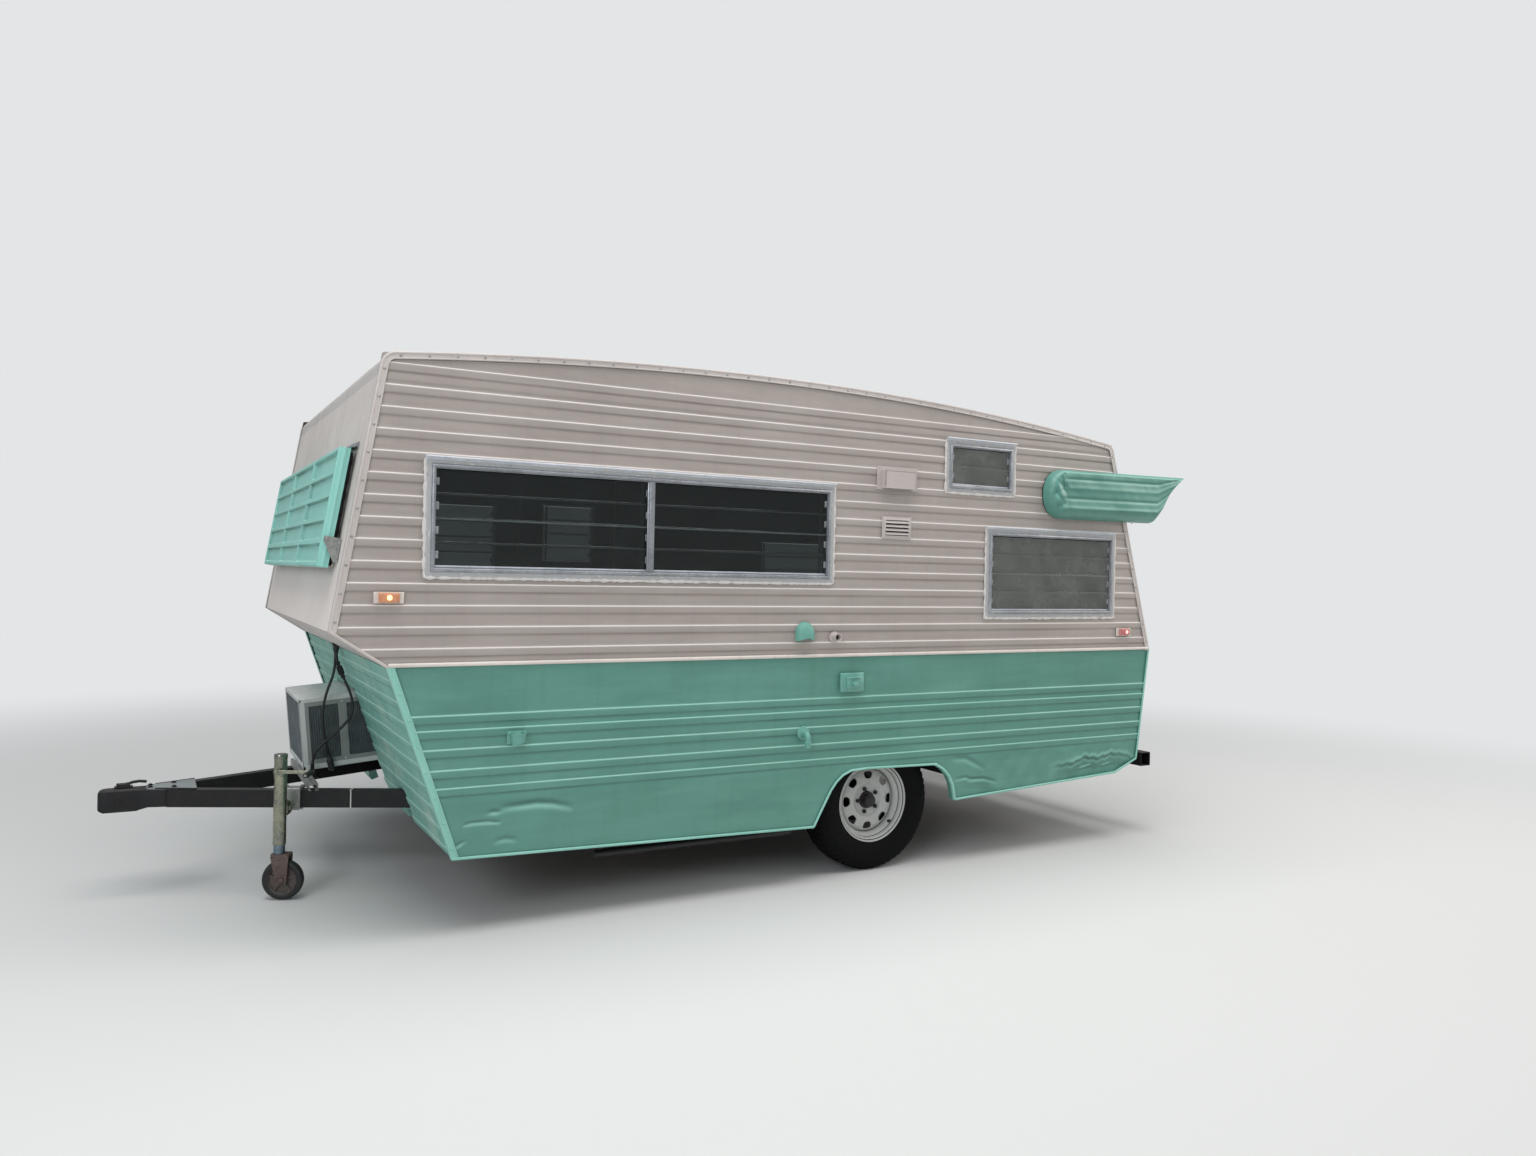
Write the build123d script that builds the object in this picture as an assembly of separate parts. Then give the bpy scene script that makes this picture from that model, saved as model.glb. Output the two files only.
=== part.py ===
from build123d import *
from math import atan2, cos, degrees, pi, radians, sin, tan
import os

# A small touring trailer with a flat-sided cabin on one axle.
# Millimetres. Stations run forward along +X from the axle, +Y is the road side (left), +Z is up,
# and the floor is at Z = 0. Every piece is moved at the end, so that the origin
# lies under the middle of the whole length.

# Cabin outline, seen from the side: station and height of each corner
belt_z = 1046
belt_front_s = 2293
belt_rear_s = -1816
prow_s, prow_z = 2498, 1180
front_top_s, front_top_z = 2326, 2219
crown_s, crown_z = 950, 2303
rear_top_s, rear_top_z = -1490, 2167
front_foot_s, front_foot_z = 2039, 301
arch_front_foot_z = 262
arch_rear_foot_z = 318
rear_bend_s, rear_bend_z = -1568, 370
rear_foot_s, rear_foot_z = -1734, 436
top_corner_r = 55

body_width = 2400
wall = 40
floor_thick = 40
skin_gap = 0.3
half = body_width / 2
lining = half - wall

# Ribs of the sheet: each is a raised band, from its crest down to a soft step
rib_pitch, rib_band, rib_t = 82.3, 30, 4
first_crest_z, upper_crests = 1115, 14
lower_crests = [857, 800, 726, 646, 576]

# Chassis
rail_w, rail_h, rail_wall = 50, 76, 4
rail_top = 441
rail_low = rail_top - rail_h
main_rail_out = 640
main_rail_in = main_rail_out - rail_w
main_rail_front = 1985
tongue_angle = 25
tongue_meet_s = 3146
tongue_front_s = 2985
bumper_rear_s = -1955
bumper_size = 76
main_rail_rear = bumper_rear_s + bumper_size
bumper_half = 1110
outrigger_w, outrigger_h = 40, 40
outrigger_stations = [1400, 760, -620, -1450]
member_w, member_rise = 40, 6
member_stations = [1240, 430, -430, -1150]

# Wheels
tyre_r, tyre_w, tyre_bead_r = 330, 175, 184
wheel_inset = 155
wheel_y = half - wheel_inset
rim_flange_r = 196
spindle_r = 20
fit = 0.05
hub_r = 34
drum_r, drum_w = 125, 50
lug_count, lug_turn, lug_pcd, lug_r, nut_half, nut_out = 5, 18, 114.3, 10, 8.5, 23
stud_r, stud_len, stud_play = 6.5, 28, 0.5
rim_hole_count = 8
beam_z, beam_r = 225, 30
hub_reach = 215
beam_half = wheel_y - hub_reach
spindle_past, drop_half, drop_in, drop_out = 30, 28, 20, 40
arch_front, arch_rear = 392, -437
arch_top, arch_fall, arch_r = 512, 6, 110
arch_lean_front, arch_lean_rear = 130, 60
well_half_s, well_top, well_in_y, well_skin = 400, 730, 800, 8

# Coupler and what rides on the tongue
nose_s = 3240
ball_s = 3195
ball_r = 25.4
crossbar_s, crossbar_w, crossbar_h = 2430, 38, 30
crossbar_half = 350
cooler_front_s, cooler_deep, cooler_high = 2432, 420, 335
cooler_left, cooler_right = 20, -530
cooler_tilt = 5
cooler_gap = 6
coupler_rear_s, coupler_neck_s, coupler_half, coupler_low = 2870, 3090, 34, 350
coupler_plate_t, coupler_chamfer = 6, 8
latch_rear_s, latch_front_s, latch_half, latch_gap, latch_t = 3110, 3180, 16, 0.3, 20
lever_len, lever_half, lever_t = 70, 9, 18

# Jack
jack_s = 2567
jack_off = 112
jack_pivot_z = 383
jack_outer_r, jack_outer_wall = 26, 3
jack_top, jack_foot = 236, 150
jack_wheel_r, jack_wheel_w = 85, 38
jack_trail = 18
jack_pin_r = 8
crown_gap, crown_t, crown_front, crown_back = 26, 8, 28, 30
fork_play, fork_t, foot_half, foot_drop = 4, 5, 20, 18

# Windows: side, rear edge, front edge, sill, head, units side by side, panes in each unit
windows = [
    ("left", 319, 2165, 1387, 1839, 2, 4),
    ("left", -786, -337, 1849, 2111, 1, 2),
    ("left", -1526, -606, 1226, 1681, 1, 4),
    ("right", 1205, 2165, 1387, 1839, 1, 4),
    ("right", -1526, -606, 1226, 1681, 1, 4),
]
flange_w, flange_t = 24, 4
frame_t, frame_proud = 14, 12
frame_clear = 0.5
pane_t, pane_tilt = 5, 4

# Door
door_rear, door_front = 462, 1078
door_low, door_high = 470, 2110
door_t = 36
door_gap = 6
door_window_w, door_window_h = 400, 420
door_window_z = 1650

# Side wings
wing_front_s, wing_tip_s = -982, -2061
wing_low_z, wing_high_z = 1745, 2022
wing_low_rear_s = -1781
wing_t, wing_gap, wing_nose_r, wing_edge_r = 78, 3.3, 120, 24

tan_t = tan(radians(tongue_angle))
cos_t = cos(radians(tongue_angle))
sin_t = sin(radians(tongue_angle))
middle_s = (nose_s + wing_tip_s) / 2

nodes = {}


def block(x0, x1, y0, y1, z0, z1):
    """A box from its corners."""
    return Pos((x0 + x1) / 2, (y0 + y1) / 2, (z0 + z1) / 2) * Box(x1 - x0, y1 - y0, z1 - z0)


def across(face, y0, y1):
    """A face drawn as station and height, carried across the trailer from y0 to y1."""
    return Pos(0, y1, 0) * Rot(90, 0, 0) * extrude(face, amount=y1 - y0)


def outline(points):
    return make_face(Polyline(*points, close=True))


def rod(start, end, radius):
    """A round bar between two points."""
    start, end = Vector(*start), Vector(*end)
    run = end - start
    plane = Plane(origin=start, z_dir=run)
    return plane.location * Cylinder(radius, run.length, align=(Align.CENTER, Align.CENTER, Align.MIN))


def mirrored(shape):
    return mirror(shape, about=Plane.XZ)


def both(name, shape):
    """The same piece on the left and on the right, as two nodes."""
    nodes[name + "_left"] = shape
    nodes[name + "_right"] = mirrored(shape)


def pair(name, shape):
    """The same piece on the left and on the right, in one node."""
    nodes[name] = cluster([shape, mirrored(shape)])


def cluster(shapes):
    """Solids that don't touch, kept apart in one node."""
    solids = []
    for shape in shapes:
        solids.extend(shape.solids())
    return Compound(children=solids)


# Cabin section
front_line = (front_top_s - prow_s) / (front_top_z - prow_z)
rear_line = (rear_top_s - belt_rear_s) / (rear_top_z - belt_z)


def front_at(z):
    """Station of the upper front panel's face at a height."""
    return prow_s + front_line * (z - prow_z)


def rear_at(z):
    return belt_rear_s + rear_line * (z - belt_z)


def shell_face(inset):
    """The cabin's outline above the floor's underside, moved inwards."""
    roof = ThreePointArc((rear_top_s, rear_top_z), (crown_s, crown_z), (front_top_s, front_top_z))
    rest = Polyline(
        (front_top_s, front_top_z),
        (prow_s, prow_z),
        (belt_front_s, belt_z),
        (front_foot_s, front_foot_z),
        (rear_foot_s, front_foot_z),
        (rear_foot_s, rear_foot_z),
        (belt_rear_s, belt_z),
        (rear_top_s, rear_top_z),
    )
    face = make_face([roof, rest])
    corners = face.vertices().sort_by(Axis.Y)[-2:]
    face = fillet(corners, top_corner_r)
    if inset == 0:
        return face
    return offset(face, amount=-inset, kind=Kind.INTERSECTION)


shell = shell_face(0)
lining_face = shell_face(wall)
ring = across(shell - lining_face, -lining, lining)
big = 4000

# The ring is split where its sheets meet: at the mitre of each corner
above_belt = block(-big, big, -big, big, belt_z, big)
below_belt = block(-big, big, -big, big, -big, belt_z)


def wedge(points):
    return across(outline(points), -half, half)


# How far each mitre runs in from its corner, and how far a cutting shape reaches past the shell
prow_mitre_s, prow_mitre_z = 52, 22
belt_mitre_s, belt_mitre_z = 48, 10
roof_joint_drop = 80
past = 100
prow_in = (prow_s - prow_mitre_s, prow_z + prow_mitre_z)
belt_in = (belt_front_s - belt_mitre_s, belt_z + belt_mitre_z)
prow_out = (prow_s + past, prow_z - prow_mitre_s)
front_top_cut = front_top_z - roof_joint_drop
rear_top_cut = rear_top_z - roof_joint_drop

front_zone = wedge([
    prow_out, prow_in, (front_top_s - 2 * wall, front_top_cut), (front_top_s + past, front_top_cut),
    (prow_s + past, prow_z),
])
soffit_zone = wedge([
    prow_out, prow_in, belt_in, (belt_front_s + belt_mitre_s, belt_z - belt_mitre_z),
    (prow_s + past, prow_z - 2 * wall),
])
rear_zone = wedge([
    (belt_rear_s - past, belt_z), (belt_rear_s + 2 * wall, belt_z), (rear_top_s + 2 * wall, rear_top_cut),
    (belt_rear_s - past, rear_top_cut),
])
nodes["front_upper_panel"] = ring & front_zone
nodes["soffit_panel"] = ring & soffit_zone
nodes["rear_upper_panel"] = ring & rear_zone
roof_zone = above_belt - front_zone - soffit_zone - rear_zone
nodes["roof_panel"] = ring & roof_zone & block(-big, big, -big, big, rear_top_cut - 1, big)

lower_ring = (ring - front_zone - soffit_zone) & below_belt


def rib_strips(crests):
    """The lower part of each pitch, which lies back from the ribs, as bands across a side view."""
    strips = Sketch()
    for above, below in zip(crests, crests[1:]):
        high, low = above - rib_band, below
        strips += Pos(0, (high + low) / 2) * Rectangle(2 * big, high - low)
    return strips


upper_crest_zs = [first_crest_z + rib_pitch * index for index in reversed(range(upper_crests))]
grooves = rib_strips(upper_crest_zs) + rib_strips(lower_crests)
skin = shell - offset(shell, amount=-rib_t, kind=Kind.INTERSECTION)
end_grooves = across(skin & grooves, -half, half)
side_grooves = across(grooves & Rectangle(big, 2 * big), half - rib_t, half + 1)
nodes["rear_upper_panel"] = nodes["rear_upper_panel"] - end_grooves
rear_half = block(-big, 0, -big, big, -big, big)
front_half = block(0, big, -big, big, -big, big)
rear_inner_s = rear_foot_s + 2 * wall
rear_lower = lower_ring & rear_half & block(-big, rear_inner_s, -big, big, rail_top, belt_z)
nodes["rear_lower_panel"] = rear_lower - end_grooves

cooler_z = rail_top + crossbar_h
cooler_turn = Pos(cooler_front_s, 0, cooler_z) * Rot(0, cooler_tilt, 0)


def cooler_block(front, rear, left, right, low, high):
    """A box in the cooling unit's own leaning frame, from its lower front edge."""
    return cooler_turn * block(-rear, front, right, left, low, high)


cooler_below = cooler_high + 65
cooler_cut = cooler_block(past, cooler_deep + 2 * past, cooler_left + cooler_gap, cooler_right - cooler_gap,
                          -cooler_below, cooler_high + cooler_gap)
# The left tongue rail passes through a notch at the panel's foot
notch_s, notch_in, notch_out = 2075, 95, 32
notch_mid = (tongue_meet_s - notch_s) * tan_t
rail_notch = block(notch_s - 2 * past, notch_s + 2 * past, notch_mid - notch_in, notch_mid + notch_out,
                   0, rail_top + rail_wall)
front_lower = lower_ring & front_half & block(-big, big, -big, big, front_foot_z, belt_z + wall)
strip_past, strip_in, strip_foot_in = 20, 130, 60
front_strip = wedge([
    (belt_front_s + strip_past, belt_z + strip_past), (belt_front_s - strip_in, belt_z + strip_past),
    (front_foot_s - strip_foot_in, front_foot_z - strip_past),
    (front_foot_s + strip_past, front_foot_z - strip_past),
])
nodes["front_lower_panel"] = (front_lower & front_strip) - cooler_cut - rail_notch - end_grooves

# Side walls
arch_face = outline([
    (arch_front, 0), (arch_front - arch_lean_front, arch_top),
    (arch_rear + arch_lean_rear, arch_top - arch_fall), (arch_rear, 0),
])
arch_face = fillet(arch_face.vertices().sort_by(Axis.Y)[-2:], arch_r)
arch_cut = across(arch_face, -big, big)

lower_outline = outline([
    (belt_front_s, belt_z), (front_foot_s, front_foot_z), (arch_front, arch_front_foot_z),
    (arch_rear, arch_rear_foot_z), (rear_bend_s, rear_bend_z), (rear_foot_s, rear_foot_z),
    (belt_rear_s, belt_z),
])
upper_outline = shell & Pos(0, belt_z + big / 2) * Rectangle(2 * big, big)
lower_wall = across(lower_outline, lining, half) - arch_cut - side_grooves
upper_wall = across(upper_outline, lining, half) - side_grooves


def window_cut(row):
    side, rear, front, sill, head, units, panes = row
    y0, y1 = (lining - 1, half + 1) if side == "left" else (-half - 1, -lining + 1)
    return block(rear + flange_w, front - flange_w, y0, y1, sill + flange_w, head - flange_w)


door_cut = block(door_rear - door_gap, door_front + door_gap, -half - 1, -lining + 1,
                 door_low - door_gap, door_high + door_gap)
left_upper, right_upper = upper_wall, mirrored(upper_wall) - door_cut
for row in windows:
    if row[0] == "left":
        left_upper = left_upper - window_cut(row)
    else:
        right_upper = right_upper - window_cut(row)
nodes["side_upper_left"] = left_upper
nodes["side_upper_right"] = right_upper
nodes["side_lower_left"] = lower_wall
nodes["side_lower_right"] = mirrored(lower_wall) - door_cut

# Floor, and the boxes over the wheels
floor_zone = across(lining_face, -lining, lining)
floor_slab = floor_zone & block(-big, big, -big, big, rail_top, rail_top + floor_thick)
for side in (1, -1):
    low, high = sorted((side * (well_in_y - well_skin), side * (lining + 1)))
    floor_slab = floor_slab - block(-well_half_s - well_skin, well_half_s + well_skin, low, high, 0, big)
cooler_room = cooler_block(past, cooler_deep + cooler_gap, cooler_left + cooler_gap,
                           cooler_right - cooler_gap, -cooler_below, cooler_high)
nodes["floor"] = floor_slab - cooler_room
well_out = block(-well_half_s - well_skin, well_half_s + well_skin, well_in_y - well_skin, lining,
                 rail_top, well_top + well_skin)
well_hole = block(-well_half_s, well_half_s, well_in_y, lining + 1, rail_top - 1, well_top)
pair("wheel_wells", well_out - well_hole)

# Window frames and panes, drawn flat on the wall: X along it, Y up it, Z out of it


def frame_solid(width, height, units):
    flange = Pos(0, 0, flange_t / 2) * Box(width, height, flange_t)
    in_w, in_h = width - 2 * flange_w - 2 * frame_clear, height - 2 * flange_w - 2 * frame_clear
    sleeve = Pos(0, 0, (frame_proud - wall) / 2) * Box(in_w, in_h, frame_proud + wall)
    solid = flange + sleeve
    light_w = (in_w - (units + 1) * frame_t) / units
    for unit in range(units):
        at = -in_w / 2 + frame_t + light_w / 2 + unit * (light_w + frame_t)
        solid = solid - Pos(at, 0, 0) * Box(light_w, in_h - 2 * frame_t, 4 * wall)
    return solid


def pane_solids(width, height, units, panes):
    """Glass blades that lap like shingles, the upper over the lower, in each unit."""
    in_w, in_h = width - 2 * flange_w - 2 * frame_clear, height - 2 * flange_w - 2 * frame_clear
    light_w = (in_w - (units + 1) * frame_t) / units
    light_h = in_h - 2 * frame_t
    pitch = (light_h - 2) / panes
    blades = []
    for unit in range(units):
        at = -in_w / 2 + frame_t + light_w / 2 + unit * (light_w + frame_t)
        for pane in range(panes):
            up = -light_h / 2 + 1 + pitch * (pane + 0.5)
            blade = Box(light_w, pitch - 1, pane_t)
            blades.append(Pos(at, up, -4) * Rot(pane_tilt, 0, 0) * blade)
    return blades


def wall_plane(side, s, z):
    sign = 1 if side == "left" else -1
    return Plane(origin=(s, sign * half, z), x_dir=(-sign, 0, 0), z_dir=(0, sign, 0))


frames = {"left": [], "right": [], "ends": []}
blades = {"left": [], "right": [], "ends": []}
for side, rear, front, sill, head, units, panes in windows:
    at = wall_plane(side, (rear + front) / 2, (sill + head) / 2).location
    frames[side].append(at * frame_solid(front - rear, head - sill, units))
    for blade in pane_solids(front - rear, head - sill, units, panes):
        blades[side].append(at * blade)

# Front and rear windows lie in their sloping panels
front_window_w, front_window_h, front_window_z = 1960, 420, 1636
front_slope = degrees(atan2(-front_line, 1))
front_plane = Plane(origin=(front_at(front_window_z), 0, front_window_z), x_dir=(0, 1, 0),
                    z_dir=(cos(radians(front_slope)), 0, sin(radians(front_slope))))
rear_window_w, rear_window_h, rear_window_z = 1100, 455, 1453
rear_slope = degrees(atan2(rear_line, 1))
rear_plane = Plane(origin=(rear_at(rear_window_z), 0, rear_window_z), x_dir=(0, -1, 0),
                   z_dir=(-cos(radians(rear_slope)), 0, sin(radians(rear_slope))))


def panel_window(panel, plane, width, height, units, panes):
    hole = plane.location * Box(width - 2 * flange_w, height - 2 * flange_w, 4 * wall)
    nodes[panel] = nodes[panel] - hole
    frames["ends"].append(plane.location * frame_solid(width, height, units))
    blades["ends"].extend([plane.location * b for b in pane_solids(width, height, units, panes)])


panel_window("front_upper_panel", front_plane, front_window_w, front_window_h, 2, 1)
panel_window("rear_upper_panel", rear_plane, rear_window_w, rear_window_h, 1, 4)
nodes["window_frames"] = cluster(frames["left"] + frames["right"] + frames["ends"])
nodes["window_panes"] = cluster(blades["left"] + blades["right"] + blades["ends"])

# Stone guard over the front window: a thin pan with a grid of ribs, hinged along its top
guard_w, guard_low, guard_high = 2080, -230, 232
guard_depth, guard_back, guard_skin = 66, 24, 6
guard_cols, guard_rows = 3, 5
guard_rib_w, guard_rib_h = 26, 8
guard_pin_r, guard_knuckle_r = 3, 7


def guard_box(x0, x1, y0, y1, z0, z1):
    return front_plane.location * block(x0, x1, y0, y1, z0, z1)


guard = guard_box(-guard_w / 2, guard_w / 2, guard_low, guard_high, guard_back, guard_depth - guard_rib_h)
guard = guard - guard_box(-guard_w / 2 + guard_skin, guard_w / 2 - guard_skin, guard_low + guard_skin,
                          guard_high - guard_skin, guard_back - 1, guard_depth - guard_rib_h - guard_skin)
for col in range(guard_cols + 1):
    at = -guard_w / 2 + guard_rib_w / 2 + col * (guard_w - guard_rib_w) / guard_cols
    guard = guard + guard_box(at - guard_rib_w / 2, at + guard_rib_w / 2, guard_low, guard_high,
                              guard_depth - guard_rib_h, guard_depth)
for line in range(guard_rows + 1):
    at = guard_low + guard_rib_w / 2 + line * (guard_high - guard_low - guard_rib_w) / guard_rows
    guard = guard + guard_box(-guard_w / 2, guard_w / 2, at - guard_rib_w / 2, at + guard_rib_w / 2,
                              guard_depth - guard_rib_h, guard_depth)
guard_hinge_y, guard_hinge_z = guard_high + 14, 16
guard_leaf_down, guard_leaf_up, guard_leaf_t, guard_web_t, guard_lip_t = 6, 18, 4, 3, 5
guard_hinge = guard_box(-guard_w / 2, guard_w / 2, guard_hinge_y - guard_leaf_down,
                        guard_hinge_y + guard_leaf_up, skin_gap, guard_leaf_t)


def guard_pin(x0, x1, radius):
    start, end = (x0, guard_hinge_y, guard_hinge_z), (x1, guard_hinge_y, guard_hinge_z)
    return front_plane.location * rod(start, end, radius)


# The pin passes by turns through knuckles of the leaf and of the guard
guard_knuckles = 7
knuckle_run = guard_w / guard_knuckles
for index in range(guard_knuckles):
    x0, x1 = -guard_w / 2 + index * knuckle_run + 0.5, -guard_w / 2 + (index + 1) * knuckle_run - 0.5
    if index % 2 == 0:
        web = guard_box(x0, x1, guard_hinge_y, guard_hinge_y + guard_web_t, guard_leaf_t - 1, guard_hinge_z)
        guard_hinge = guard_hinge + guard_pin(x0, x1, guard_knuckle_r) + web
    else:
        web = guard_box(x0, x1, guard_high - 1, guard_hinge_y, guard_back, guard_back + guard_web_t)
        lip = guard_box(x0, x1, guard_hinge_y - guard_lip_t, guard_hinge_y, guard_hinge_z, guard_back + 1)
        guard = guard + guard_pin(x0, x1, guard_knuckle_r) + web + lip
guard = guard - guard_pin(-guard_w / 2 - 1, guard_w / 2 + 1, guard_pin_r + fit)
guard_hinge = guard_hinge + guard_pin(-guard_w / 2 + 0.5, guard_w / 2 - 0.5, guard_pin_r)
nodes["stone_guard"] = guard

# Entry door, hinged along its front edge
door_mid = (door_rear + door_front) / 2
door_w, door_h = door_front - door_rear, door_high - door_low
door_plane = wall_plane("right", door_mid, door_window_z)
door = block(door_rear, door_front, -half, -half + door_t, door_low, door_high)
door_light = Box(door_window_w - 2 * flange_w, door_window_h - 2 * flange_w, 4 * wall)
door = door - door_plane.location * door_light - mirrored(side_grooves)
door_frame_solid = frame_solid(door_window_w, door_window_h, 1)
door_frame_solid = door_frame_solid & Box(door_window_w, door_window_h, 2 * door_t)
nodes["door_window_frame"] = door_plane.location * door_frame_solid
door_blades = pane_solids(door_window_w, door_window_h, 1, 4)
nodes["door_panes"] = cluster([door_plane.location * blade for blade in door_blades])
handle_s, handle_z = door_rear + 60, 1180
handle_plate_w, handle_plate_h, handle_plate_t = 50, 100, 6
handle_out, lever_out, lever_run, lever_r = 40, 34, 95, 7
plate = block(handle_s - handle_plate_w / 2, handle_s + handle_plate_w / 2,
              -half - handle_plate_t, -half - skin_gap,
              handle_z - handle_plate_h / 2, handle_z + handle_plate_h / 2)
grip = rod((handle_s, -half - handle_plate_t, handle_z), (handle_s, -half - handle_out, handle_z),
           lever_r + 1)
lever = rod((handle_s - lever_r - 1, -half - lever_out, handle_z),
            (handle_s + lever_run, -half - lever_out, handle_z), lever_r)
nodes["door_handle"] = plate + grip + lever
hinge_s, hinge_y = door_front + door_gap / 2, -half - 12
hinge_half, hinge_mid, hinge_pin_r, hinge_knuckle_r = 35, 12, 2.5, 5
hinge_end, leaf_w, leaf_t, hinge_web, hinge_slot = 120, 30, 3, 10, 2
leaves = []


def hinge_pin(z0, z1, radius):
    return rod((hinge_s, hinge_y, z0), (hinge_s, hinge_y, z1), radius)


# Each hinge has a middle knuckle on the door between two on the wall, with a pin through all three
for z in (door_low + hinge_end, (door_low + door_high) / 2, door_high - hinge_end):
    leaf = block(hinge_s + hinge_web - 3, hinge_s + leaf_w, -half - leaf_t, -half - skin_gap,
                 z - hinge_half, z + hinge_half)
    for low, high in ((z - hinge_half, z - hinge_mid), (z + hinge_mid, z + hinge_half)):
        leaf = leaf + hinge_pin(low, high, hinge_knuckle_r)
        leaf = leaf + block(hinge_s + hinge_slot, hinge_s + hinge_web, hinge_y, -half - 1, low, high)
    leaves.append(leaf + hinge_pin(z - hinge_half, z + hinge_half, hinge_pin_r))
    low, high = z - hinge_mid + 0.5, z + hinge_mid - 0.5
    knuckle = hinge_pin(low, high, hinge_knuckle_r)
    knuckle = knuckle + block(hinge_s - hinge_web, hinge_s - hinge_slot, hinge_y, -half, low, high)
    knuckle = knuckle + block(hinge_s - leaf_w + hinge_slot, hinge_s - 2 * hinge_slot,
                              -half - leaf_t, -half + rib_t + 1, low, high)
    door = door + (knuckle - hinge_pin(low - 1, high + 1, hinge_pin_r + fit))
nodes["door"] = door
nodes["hinge_leaves"] = cluster(leaves + [guard_hinge])

# Edge mouldings: an angle of thin sheet round each side of the cabin
edge_t, edge_w = 3, 24
upper_edge = offset(upper_outline, amount=edge_t, kind=Kind.INTERSECTION)
upper_skin = offset(upper_outline, amount=skin_gap, kind=Kind.INTERSECTION)
upper_cap = across(upper_edge - upper_skin, lining + edge_t, half + edge_t)
upper_band = across(upper_edge - offset(upper_outline, amount=-edge_w, kind=Kind.INTERSECTION),
                    half + skin_gap, half + edge_t)
above_trim = block(-big, big, -big, big, belt_z + edge_w + 1, big)
pair("edge_mouldings", (upper_cap + upper_band) & above_trim)
lower_rim = lower_outline - offset(lower_outline, amount=-edge_w, kind=Kind.INTERSECTION)
lower_band = across(lower_rim, half + skin_gap, half + edge_t) - arch_cut
pair("skirt_mouldings", lower_band & block(-big, big, -big, big, 0, belt_z - edge_w - 1))

# Belt trim: a strip along the line where the two colours meet, cut at the door
trim_h, trim_t = 16, 6
trim_end = 30
belt_trim = block(belt_rear_s + trim_end, belt_front_s - trim_end, half + skin_gap, half + trim_t,
                  belt_z, belt_z + trim_h)
trim_gap = block(door_rear - door_gap, hinge_s + leaf_w + door_gap, -half - trim_t - 1, -half + 1,
                 belt_z - 1, belt_z + trim_h + 1)
nodes["belt_trim"] = cluster([belt_trim, mirrored(belt_trim) - trim_gap])

# Wings: closed pods on each side near the rear
wing_face = outline([
    (wing_front_s, wing_low_z), (wing_low_rear_s, wing_low_z + 8), (wing_tip_s, wing_high_z),
    (wing_front_s, wing_high_z - 16),
])
wing_face = fillet(wing_face.vertices().sort_by(Axis.X)[-2:], wing_nose_r)
wing = across(wing_face, half + wing_gap, half + wing_gap + wing_t)
outer_edges = wing.faces().sort_by(Axis.Y)[-1].edges()
wing = fillet(outer_edges, wing_edge_r)
pair("wings", wing)

# Roof vent with a lid that tilts up about its front edge
vent_s, vent_half = 560, 180
vent_roof_z = crown_z - 4
vent_rim, vent_high, vent_sunk = 12, 46, 30
lid_over, lid_t, lid_gap, lid_corner_r = 12, 26, 5, 30
lid_pin_r, lid_knuckle_r, lid_hinge_drop, lid_hinge_out = 4, 7, 8, 11
ear_in, ear_out, knuckle_in, knuckle_out, pin_end = 60, 80, 82, 108, 110


def vent_square(reach, z0, z1):
    """A square block over the middle of the vent."""
    return block(vent_s - reach, vent_s + reach, -reach, reach, z0, z1)


vent = vent_square(vent_half, vent_roof_z - vent_sunk, vent_roof_z + vent_high)
vent = vent - vent_square(vent_half - vent_rim, vent_roof_z - 2 * past, vent_roof_z + 2 * past)
roof_hole = vent_square(vent_half, vent_roof_z - 2 * past, vent_roof_z + 2 * past)
nodes["roof_panel"] = nodes["roof_panel"] - roof_hole
lid_low = vent_roof_z + vent_high + lid_gap
lid_hinge_s, lid_hinge_z = vent_s + vent_half + lid_hinge_out, lid_low - lid_hinge_drop
lid_knuckles = []
for side in (1, -1):
    def lid_pin(y0, y1, radius):
        return rod((lid_hinge_s, side * y0, lid_hinge_z), (lid_hinge_s, side * y1, lid_hinge_z), radius)

    ear_back = block(vent_s + vent_half - 4, lid_hinge_s, *sorted((side * ear_in, side * ear_out)),
                     lid_hinge_z - lid_knuckle_r, lid_hinge_z)
    vent = vent + ear_back + lid_pin(ear_in, ear_out, lid_knuckle_r)
    vent = vent + lid_pin(ear_out - 1, pin_end, lid_pin_r)
    web = block(lid_hinge_s - lid_knuckle_r, lid_hinge_s + lid_knuckle_r,
                *sorted((side * knuckle_in, side * knuckle_out)), lid_hinge_z, lid_low + 2)
    knuckle = lid_pin(knuckle_in, knuckle_out, lid_knuckle_r) + web
    lid_knuckles.append(knuckle - lid_pin(ear_in, pin_end + 1, lid_pin_r + fit))
nodes["roof_vent"] = vent
lid = vent_square(vent_half + lid_over, lid_low, lid_low + lid_t)
lid = fillet(lid.edges().filter_by(Axis.Z), lid_corner_r)
nodes["roof_vent_lid"] = lid + lid_knuckles[0] + lid_knuckles[1]

# Lamps and plate
lamp_w, lamp_h, lamp_t = 110, 44, 26


def side_lamp(s, z):
    body = block(s - lamp_w / 2, s + lamp_w / 2, half + skin_gap, half + lamp_t,
                 z - lamp_h / 2, z + lamp_h / 2)
    return fillet(body.faces().sort_by(Axis.Y)[-1].edges(), 8)


amber_s, amber_z = 2292, 1308
red_s, red_z = -1605, 1146
amber = side_lamp(amber_s, amber_z)
red = side_lamp(red_s, red_z)
nodes["side_lamps_amber"] = cluster([amber, mirrored(amber)])
nodes["side_lamps_red"] = cluster([red, mirrored(red)])
tail_y, tail_z, tail_r, tail_t = 880, 820, 55, 32
number_w, number_h, number_t = 305, 152, 12
rear_low_line = (rear_foot_s - belt_rear_s) / (rear_foot_z - belt_z)


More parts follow.
